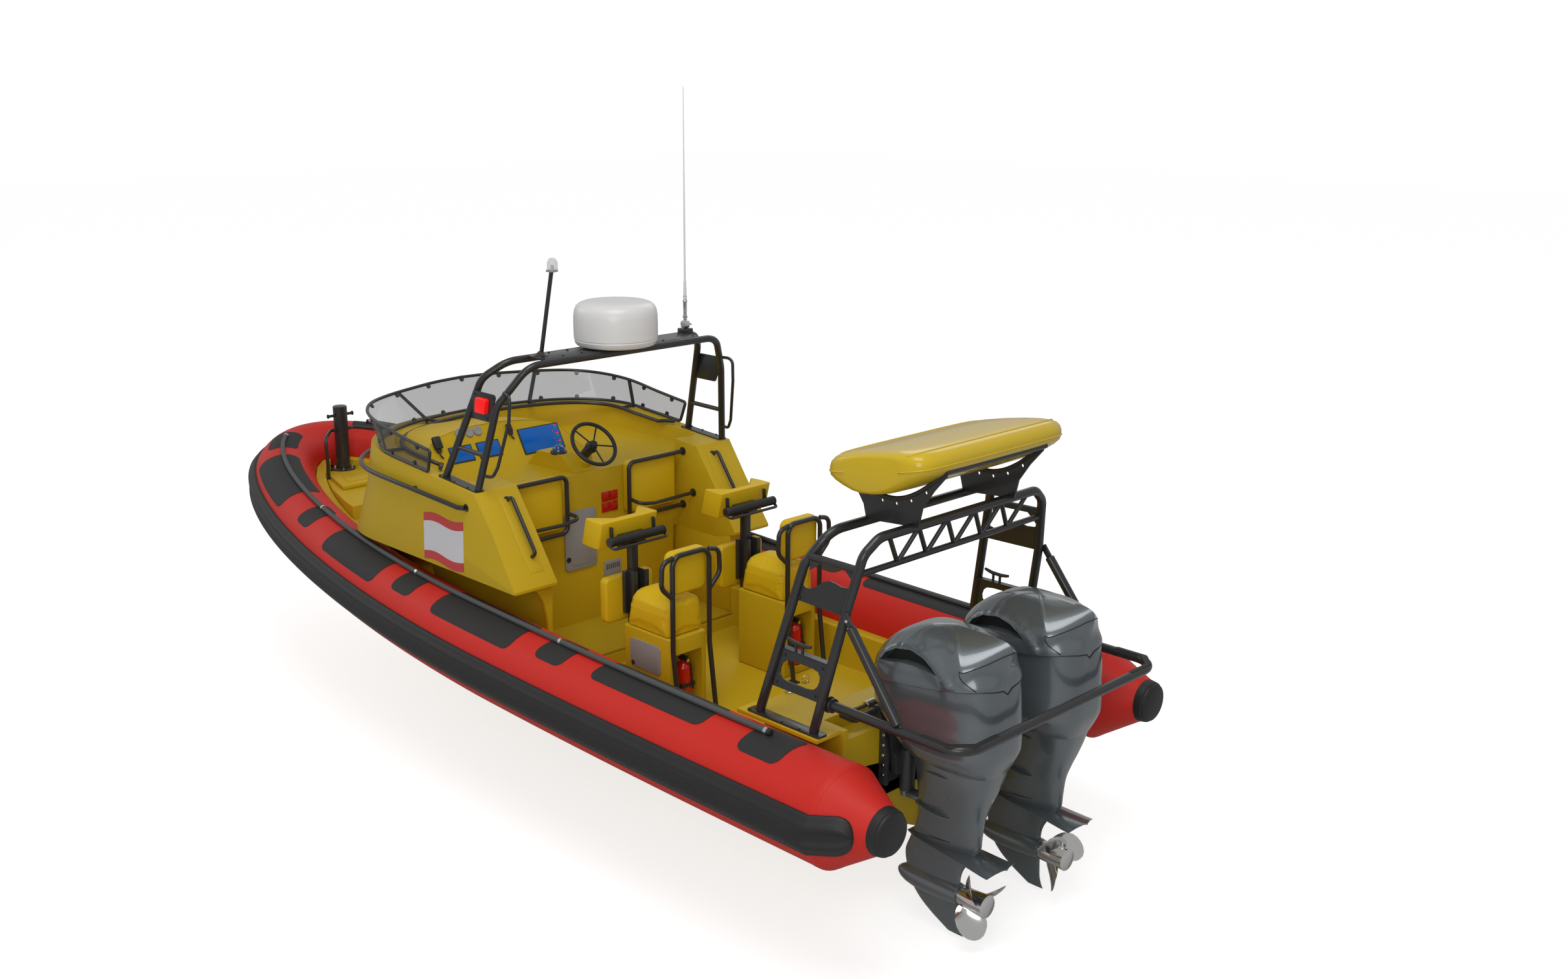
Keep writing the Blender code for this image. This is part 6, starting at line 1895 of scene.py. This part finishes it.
def smooth_rows(levels, steps):
    """Rows between the given levels, on a smooth curve through every column."""
    rows = []
    for i in range(len(levels) - 1):
        around = (levels[max(i - 1, 0)], levels[i], levels[i + 1], levels[min(i + 2, len(levels) - 1)])
        for k in range(steps):
            t = k / steps
            rows.append([0.5 * (2 * b + (c - a) * t + (2 * a - 5 * b + 4 * c - d) * t * t
                                + (3 * b - a - 3 * c + d) * t ** 3) for a, b, c, d in zip(*around)])
    rows.append(list(levels[-1]))
    return rows


def engine_ring(y, z, front, rear, half, power=2.6, taper=0.18, count=72):
    """One level section of an engine, narrower towards its rear by taper."""
    middle, reach = (front + rear) / 2, (front - rear) / 2
    ring = []
    for k in range(count):
        t = 2 * pi * k / count
        c, s = cos(t), sin(t)
        u = copysign(abs(c) ** (2 / power), c)
        v = copysign(abs(s) ** (2 / power), s)
        ring.append(Vector((middle + reach * u, y + half * v * (1 - taper * (1 - u) / 2), z)))
    return ring


LOWER = ((0.2705, -0.200, -0.734, 0.166, 3.2, 0.02), (0.32, -0.180, -0.756, 0.224, 3.2, 0.10),
         (0.38, -0.150, -0.776, 0.276, 3.2, 0.15), (0.44, -0.100, -0.781, 0.291, 3.2, 0.18),
         (0.50, -0.040, -0.781, 0.295, 3.2, 0.185), (0.56, 0.016, -0.778, 0.294, 3.2, 0.19),
         (0.66, 0.023, -0.771, 0.294, 3.2, 0.19), (0.766, 0.010, -0.756, 0.287, 3.2, 0.175))


BROW = ((-0.078, 0.800), (-0.090, 0.835), (-0.112, 0.870), (-0.145, 0.898), (-0.185, 0.918),
        (-0.235, 0.930), (-0.290, 0.935), (-0.345, 0.930), (-0.395, 0.918), (-0.440, 0.898),
        (-0.480, 0.874), (-0.515, 0.850), (-0.545, 0.822), (-0.562, 0.795))


def hood_point(y, a, b):
    """A point of the hood: a runs round the plan, b from the parting line (0) to the crown (1)."""
    c, s = cos(a), sin(a)
    aft = max(0.0, min(1.0, (-c - 0.08) / 0.55))
    aft = aft * aft * (3 - 2 * aft)
    power = 2.9 + 6.0 * aft ** 2
    across, over = cos(0.5 * pi * b), sin(0.5 * pi * b)
    radius = (abs(across) ** power + abs(over) ** power) ** (-1 / power)
    inward, up = 1 - radius * across, radius * over
    u = copysign(abs(c) ** (2 / 3.3), c)
    v = copysign(abs(s) ** (2 / 3.3), s)
    x, w = -0.365 + 0.391 * u, 0.297 * v * (1 - 0.155 * (1 - u) / 2)
    low = split_height(Vector((x, y + w, 0)), y) + 0.003
    lip = 1.026 - 0.128 * min(1.0, abs(w) / 0.235)
    lip = 0.962 + (lip - 0.962) * aft
    hollow = sin(pi * min(1.0, up)) ** 2
    x += (0.016 * hollow + (-0.797 + 0.165 * min(1.0, abs(w) / 0.235) - x) * up ** 1.6) * aft * (1 - inward)
    w *= 1 - 0.14 * up ** 2 * (1 - aft)
    lean = 0.045 * max(0.0, c) * up ** 2
    x -= lean
    px = x + (-0.40 - x) * inward
    pw = w * (1 - inward)
    pz = low + (lip - low) * up + (1.031 - lip) * (1 - (1 - inward) ** 2)
    if abs(pw) > 0.12 and pz < 0.99:
        here = Vector((px, 0, pz))
        reach = min((here - Vector((bx, 0, bz))).length for bx, bz in BROW)
        pw += copysign(0.015 * exp(-(reach / 0.026) ** 2), pw)
    return Vector((px, y + max(-0.2985, min(0.2985, pw)), pz))


def split_height(p, y):
    """Height of the parting line: it climbs aft along the sides and dips to a notch at the back."""
    along_side = (p.x + 0.11) / -0.61
    rise = 0.712 + 0.070 * max(0.0, min(1.0, along_side))
    across = abs(p.y - y)
    if p.x < -0.70:
        rise = 0.782 - 0.022 * max(0.0, 1 - across / 0.15) - 0.022 * max(0.0, 1 - across / 0.035)
    return rise


def lower_rows(y):
    """The cowl's lower half up to its parting line."""
    top, start = 0.766, 0.56
    rows = [engine_ring(y, *row, count=120) for row in smooth_rows(LOWER, 5)]
    for row in rows:
        for p, edge in zip(row, rows[-1]):
            p.z += (split_height(edge, y) - 0.003 - top) * max(0.0, min(1.0, (p.z - start) / (top - start)))
    return rows


def make_cowl(y, side):
    """The cowl's lower half and hood, with an intake cut into each side."""
    count, steps = 150, 34
    hood = [[hood_point(y, 2 * pi * k / count, b) for k in range(count)]
            for b in [i / steps for i in range(steps)] + [0.992]]
    main = loose("cowl_" + side, Shape("engine_paint").skin(lower_rows(y)).skin(hood))
    intake = [(-0.098, 0.818), (-0.125, 0.862), (-0.185, 0.898), (-0.285, 0.913), (-0.375, 0.897),
              (-0.445, 0.866), (-0.490, 0.836), (-0.43, 0.838), (-0.34, 0.846), (-0.24, 0.842),
              (-0.16, 0.824)]
    carve(main, [loose("intake", Shape().skin([[(x, y + s * depth, z) for x, z in intake]
                                               for depth in (0.19, 0.34)]))
                 for s in (1, -1)])
    place_piece("cowl_shell_" + side, taken(main), ["engine_paint"], "engine_" + side, "engine_grey",
                "engine_cowl_" + side)


LEG = ((0.2697, -0.205, -0.730, 0.156, 3.3, 0.0), (0.20, -0.212, -0.712, 0.134, 3.2, -0.14),
       (0.12, -0.210, -0.686, 0.117, 3.0, -0.16), (0.04, -0.207, -0.657, 0.102, 2.7, -0.12),
       (-0.04, -0.202, -0.636, 0.088, 2.4, -0.04), (-0.14, -0.192, -0.630, 0.076, 2.2, 0.1),
       (-0.22, -0.172, -0.622, 0.060, 2.2, 0.1), (-0.30, -0.140, -0.560, 0.048, 2.15, 0.1),
       (-0.38, -0.110, -0.512, 0.041, 2.15, 0.1), (-0.46, -0.118, -0.498, 0.034, 2.15, 0.1),
       (-0.56, -0.150, -0.500, 0.026, 2.15, 0.1), (-0.64, -0.215, -0.503, 0.019, 2.15, 0.1),
       (-0.70, -0.300, -0.508, 0.0125, 2.15, 0.1), (-0.745, -0.385, -0.522, 0.008, 2.15, 0.1),
       (-0.766, -0.425, -0.535, 0.004, 2.15, 0.1))


def make_cowl_trim(y, side, seam):
    """The dark parting seam, the line over each lip, and the near-black back of each intake: its dark
    grille, with the deep recess's shade painted in.
    """
    dark = Shape("seam")
    dark.tube([Vector((p.x - 0.0015, y + (p.y - y) * 0.997, split_height(p, y)))
               for p in lower_rows(y)[-1]],
              seam * 1.1, 8, closed=True)
    turn, count, level = 0.06, 18, 0.43
    for s in (1, -1):
        line = [hood_point(y, s * (pi - turn * k), level) for k in range(count + 1)]
        nose = pi - turn * count
        line += [hood_point(y, s * (nose + 0.38 * t), level - 0.40 * t) for t in (0.2, 0.4, 0.6, 0.8, 1.0)]
        dark.tube(line, seam * 0.9, 8)
        # The intake's back: a near-black sheet that is partly its dark grille and partly painted shade of
        # the deep recess.
        inside = [(x, y + s * 0.200, z) for x,
                  z in ((-0.105, 0.820), (-0.17, 0.893), (-0.29, 0.908), (-0.40, 0.885), (-0.485, 0.840),
                        (-0.34, 0.845), (-0.22, 0.838))]
        dark.skin([inside, [(x, w - s * 0.01, z) for x, w, z in inside]])
    dark.done("cowl_trim_" + side, "engine_" + side, "engine_grey", angle=50)
GEARCASE = ((-0.062, 0.004), (-0.066, 0.014), (-0.080, 0.028), (-0.105, 0.043), (-0.145, 0.056),
            (-0.20, 0.065), (-0.28, 0.069), (-0.38, 0.069), (-0.46, 0.065), (-0.505, 0.059),
            (-0.5098, 0.050))
PLATE = ((-0.14, 0.030), (-0.20, 0.058), (-0.30, 0.078), (-0.45, 0.094), (-0.60, 0.106), (-0.72, 0.117),
         (-0.765, 0.120), (-0.785, 0.075), (-0.800, 0.035), (-0.8095, 0.004))
SHELVES = ((0.205, 0.158, 0.105, -0.24, -0.58, 0.010), (-0.035, 0.120, 0.070, -0.22, -0.50, -0.012))


def plate_rings(y):
    """The drooping anti-ventilation plate, by (place, half width) stations."""
    rings = []
    for x, w in PLATE:
        aft = max(0.0, min(1.0, (-0.20 - x) / 0.5))
        top, low = [], []
        for share in (1.0, 0.8, 0.5, 0.2, 0.0, -0.2, -0.5, -0.8, -1.0):
            z = -0.248 - 0.034 * aft * (share * w / 0.12) ** 2 + 0.006 * aft
            top.append((x, y + w * share, z))
            low.append((x, y + w * share, z - (0.0135 - 0.010 * abs(share))))
        rings.append(top + low[::-1])
    return rings


def shelf_rings(y, s, z, reach, root, x0, x1, slope):
    """A thin rounded fin along one side of the leg."""
    rings = []
    for k in range(17):
        t = k / 16
        x = x0 + (x1 - x0) * t
        w = root + (reach - root) * sin(pi * t ** 1.35) ** 0.75
        height = z + slope * t + 0.010 * sin(pi * t)
        rings.append([(x, y + s * out, height + up)
                      for out, up in ((root * 0.8, -0.022), (root * 0.8, 0.010), (w, 0.0015),
                                      (w, -0.0015))])
    return rings


def make_leg(y, side):
    """Midsection, gearcase, plate, fins, the swivel's two yokes and the steering arm."""
    body = "engine_" + side
    yoke_x, turns = STEER_X + 0.004, [2 * pi * k / 40 for k in range(40)]
    leg = Shape("engine_paint")
    leg.skin([engine_ring(y, *row, count=64) for row in smooth_rows(LEG, 5)])
    leg.skin([[(x, y + r * cos(a), SHAFT_Z + r * sin(a)) for a in turns] for x, r in GEARCASE])
    leg.skin(plate_rings(y))
    for shelf in SHELVES:
        for s in (1, -1):
            leg.skin(shelf_rings(y, s, *shelf))
    leg.block((-0.30, y - 0.034, 0.2253), (yoke_x, y + 0.034, 0.260), 0.008)
    leg.block((-0.26, y - 0.033, -0.056), (yoke_x, y + 0.033, -0.0203), 0.008)
    leg.turned([(0.229, 0.032), (0.47, 0.032), (0.496, 0.028)], (STEER_X, y, 0), steps=28)
    leg.turned([(-0.058, 0.034), (-0.054, 0.038), (-0.023, 0.038)], (STEER_X, y, 0), steps=28)
    leg.use("frame_paint").block((STEER_X - 0.005, y - 0.020, 0.482), (0.084, y + 0.020, 0.4955), 0.004)
    leg.done("leg_casting_" + side, body, "engine_grey", "engine_leg_" + side, angle=40)
    seam = Shape("seam")
    line = ((-0.175, 0.062, -0.226), (-0.30, 0.066, -0.212), (-0.45, 0.060, -0.198), (-0.57, 0.040, -0.180),
            (-0.627, 0.004, -0.150))
    for s in (1, -1):
        seam.tube([(x, y + s * w, z) for x, w, z in line], 0.0020, 8, bend=0.03)
    seam.done("leg_seams_" + side, body, "engine_grey", angle=60)


BLADE = ((0.050, 0.130, 62, 0.0085), (0.070, 0.160, 57, 0.0070), (0.095, 0.182, 52, 0.0058),
         (0.120, 0.190, 47, 0.0048), (0.145, 0.186, 43, 0.0040), (0.168, 0.163, 40, 0.0033),
         (0.186, 0.120, 38, 0.0028), (0.196, 0.070, 36.5, 0.0024), (0.1995, 0.034, 36, 0.0020))


def blade_rings(y, base, hand):
    """One propeller blade, by (radius, chord, pitch angle, thickness) sections."""
    cuts = 12
    around = [(1, i) for i in range(cuts + 1)] + [(-1, i) for i in range(cuts - 1, 0, -1)]
    rings = []
    for r, chord, pitch, thick in BLADE:
        t = radians(pitch)
        skew, rake = 0.20 * chord * (r / 0.2) ** 2, 0.35 * (r - 0.05)
        ring = []
        for face, i in around:
            u = -0.5 + i / cuts
            lift = face * thick * sqrt(max(0.0, 1 - (2 * u) ** 2)) * 0.95
            fore = u * chord * sin(t) + lift * cos(t)
            a = base + hand * (u * chord * cos(t) - lift * sin(t) + skew * 0.4) / r
            x = max(PROP_X - 0.178, min(PROP_X - 0.004, PROP_X - 0.085 + fore - rake))
            ring.append((x, y + r * cos(a), SHAFT_Z + r * sin(a)))
        rings.append(ring)
    return rings


def make_propeller(y, side, hand):
    """Steel propeller with three blades; hand is 1 or -1 for the way that it turns."""
    blades = 3
    prop = Shape("steel")
    prop.turned([(0.0, 0.050), (-0.006, 0.056), (-0.10, 0.060), (-0.165, 0.0645), (-0.178, 0.066),
                 (-0.180, 0.064), (-0.180, 0.004)], (PROP_X, y, SHAFT_Z), (1, 0, 0), 48)
    for blade in range(blades):
        prop.skin(blade_rings(y, 2 * pi * blade / blades + 0.95, hand))
    prop.done("screw_" + side, "propeller_" + side, "steel", "propeller_" + side, angle=50)


def make_brackets(y, side):
    """Clamp and swivel castings and the steering ram, from the frame's own shapes, and the clamp's bolts."""
    for node, name, finish, body, slot, width in (
            ("clamp_bracket_", "clamp_casting_", "grey_casting", "boat", "bracket_black", 0.003),
            ("swivel_bracket_", "swivel_casting_", "grey_casting", "tilt_" + side, "bracket_black", 0.003),
            ("steering_ram_", "ram_barrel_", "steel", "ram_" + side, "steel", 0.0015)):
        refined(node + side, name + side, finish, body, slot, width)
    points = [((-0.034, y + s * 0.131, z), (0, s, 0)) for s in (1, -1)
              for z in (0.08, 0.14, 0.20, 0.26, 0.32)]
    studs("clamp_bolts_" + side, points, 0.009, 0.008, "boat", "steel", "steel", 14)


# Stage

CAMERA_PLACE = (-5.218, 6.55, 3.87)
CAMERA_YAW, CAMERA_PITCH, CAMERA_ROLL = -45.36, -15.18, 0.459
SENSOR = 36.0
FOCAL_PIXELS, PHOTO_WIDTH = 2414.4, 2421
CAMERA_LENS = SENSOR * FOCAL_PIXELS / PHOTO_WIDTH


class Stage(bpy.types.Operator):
    """Pale floor, soft lights and the camera at the photograph's angle"""
    bl_idname = "boat.stage"
    bl_label = "Stage"

    def execute(self, context):
        settings = context.scene.boat_stage
        make_floor(settings.floor)
        make_world(context.scene, settings.world, settings.backdrop)
        add_light("key", (-1.5, 3.5, 11.0), (2.0, 0, 0.4), settings.key, 6.0)
        add_light("aft", (-6.0, 9.0, 4.5), (1.0, 0, 0.4), settings.fill * 3.5, 5.0)
        add_light("side", (6.0, -8.0, 7.0), (3.0, 0, 0.4), settings.fill, 5.0)
        add_light("bow", (12.0, 4.0, 6.0), (4.0, 0, 0.4), settings.fill, 4.0)
        make_camera(context.scene)
        context.scene.view_settings.view_transform = "Standard"
        return {"FINISHED"}


def make_floor(z, size=60.0, grey=0.62, glow=0.72):
    """A pale floor that shows white to the camera and still takes soft shadows."""
    mesh = bpy.data.meshes.new("floor")
    corners = ((-size, -size, z), (size, -size, z), (size, size, z), (-size, size, z))
    mesh.from_pydata(corners, [], [(0, 1, 2, 3)])
    mat = bpy.data.materials.new("floor")
    mat.use_nodes = True
    tree = mat.node_tree
    seen = put(tree, "ShaderNodeLightPath").outputs["Is Camera Ray"]
    fill(tree, tree.nodes["Principled BSDF"], {
        "Base Color": (grey, grey, grey, 1), "Roughness": 0.9, "Specular IOR Level": 0.0,
        "Emission Color": (1, 1, 1, 1), "Emission Strength": maths(tree, "MULTIPLY", seen, glow)})
    mesh.materials.append(mat)
    linked("floor", mesh)


def make_world(scene, light, backdrop):
    """White surroundings, brighter to the camera than to the boat."""
    world = bpy.data.worlds.new("surroundings")
    world.use_nodes = True
    tree = world.node_tree
    seen = put(tree, "ShaderNodeLightPath").outputs["Is Camera Ray"]
    bright = put(tree, "ShaderNodeMapRange", {"Value": seen, "To Min": light, "To Max": backdrop})
    fill(tree, tree.nodes["Background"], {"Color": (1, 1, 1, 1), "Strength": bright.outputs[0]})
    scene.world = world


def add_light(name, place, target, power, size):
    """A square soft light, turned to its target."""
    data = bpy.data.lights.new(name, "AREA")
    data.energy, data.size, data.color = power, size, (1.0, 0.99, 0.97)
    obj = linked(name, data)
    obj.location = place
    obj.rotation_euler = (Vector(target) - Vector(place)).to_track_quat("-Z", "Y").to_euler()


def make_camera(scene):
    """The camera at the place and turn that were fitted to the photograph."""
    data = bpy.data.cameras.new("camera")
    data.sensor_fit, data.sensor_width, data.lens = "HORIZONTAL", SENSOR, CAMERA_LENS
    data.clip_end = 200.0
    yaw, pitch, roll = (radians(v) for v in (CAMERA_YAW, CAMERA_PITCH, CAMERA_ROLL))
    forward = Vector((cos(pitch) * cos(yaw), cos(pitch) * sin(yaw), sin(pitch)))
    right = forward.cross(Vector((0, 0, 1))).normalized()
    up = right.cross(forward)
    right, up = right * cos(roll) + up * sin(roll), up * cos(roll) - right * sin(roll)
    camera = linked("camera", data)
    camera.matrix_world = Matrix.Translation(CAMERA_PLACE) @ Matrix((right, up,
                                                                     -forward)).transposed().to_4x4()
    scene.camera = camera


# Add-on

OPERATORS = (Collar, Hull, Console, Windscreen, RadarArch, Seats, AftFrame, Engines, Stage)
SETTINGS = {"boat_hull": HullSettings, "boat_frames": FrameSettings, "boat_seats": SeatSettings,
            "boat_engines": EngineSettings, "boat_stage": StageSettings}


class BoatPanel(bpy.types.Panel):
    """Lists the boat's settings and the operators that build it"""
    bl_idname = "VIEW3D_PT_boat"
    bl_label = "Inshore rescue boat"
    bl_space_type = "VIEW_3D"
    bl_region_type = "UI"
    bl_category = "Boat"

    def draw(self, context):
        for key, kind in SETTINGS.items():
            box = self.layout.box()
            for field in kind.__annotations__:
                box.prop(getattr(context.scene, key), field)
        for kind in OPERATORS:
            self.layout.operator(kind.bl_idname)


CLASSES = (*SETTINGS.values(), *OPERATORS, BoatPanel)


def register():
    for kind in CLASSES:
        bpy.utils.register_class(kind)
    for key, kind in SETTINGS.items():
        setattr(bpy.types.Scene, key, PointerProperty(type=kind))


def unregister():
    for key in SETTINGS:
        delattr(bpy.types.Scene, key)
    for kind in reversed(CLASSES):
        bpy.utils.unregister_class(kind)


def main():
    """Builds the boat from the panel's settings."""
    register()
    make_groups()
    make_looks(bpy.context.scene)
    TREES.update(heads=head_tree(), path=path_tree(), slats=slat_tree())
    for kind in OPERATORS:
        group, name = kind.bl_idname.split(".")
        getattr(getattr(bpy.ops, group), name)()
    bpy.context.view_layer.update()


if __name__ == "__main__":
    main()
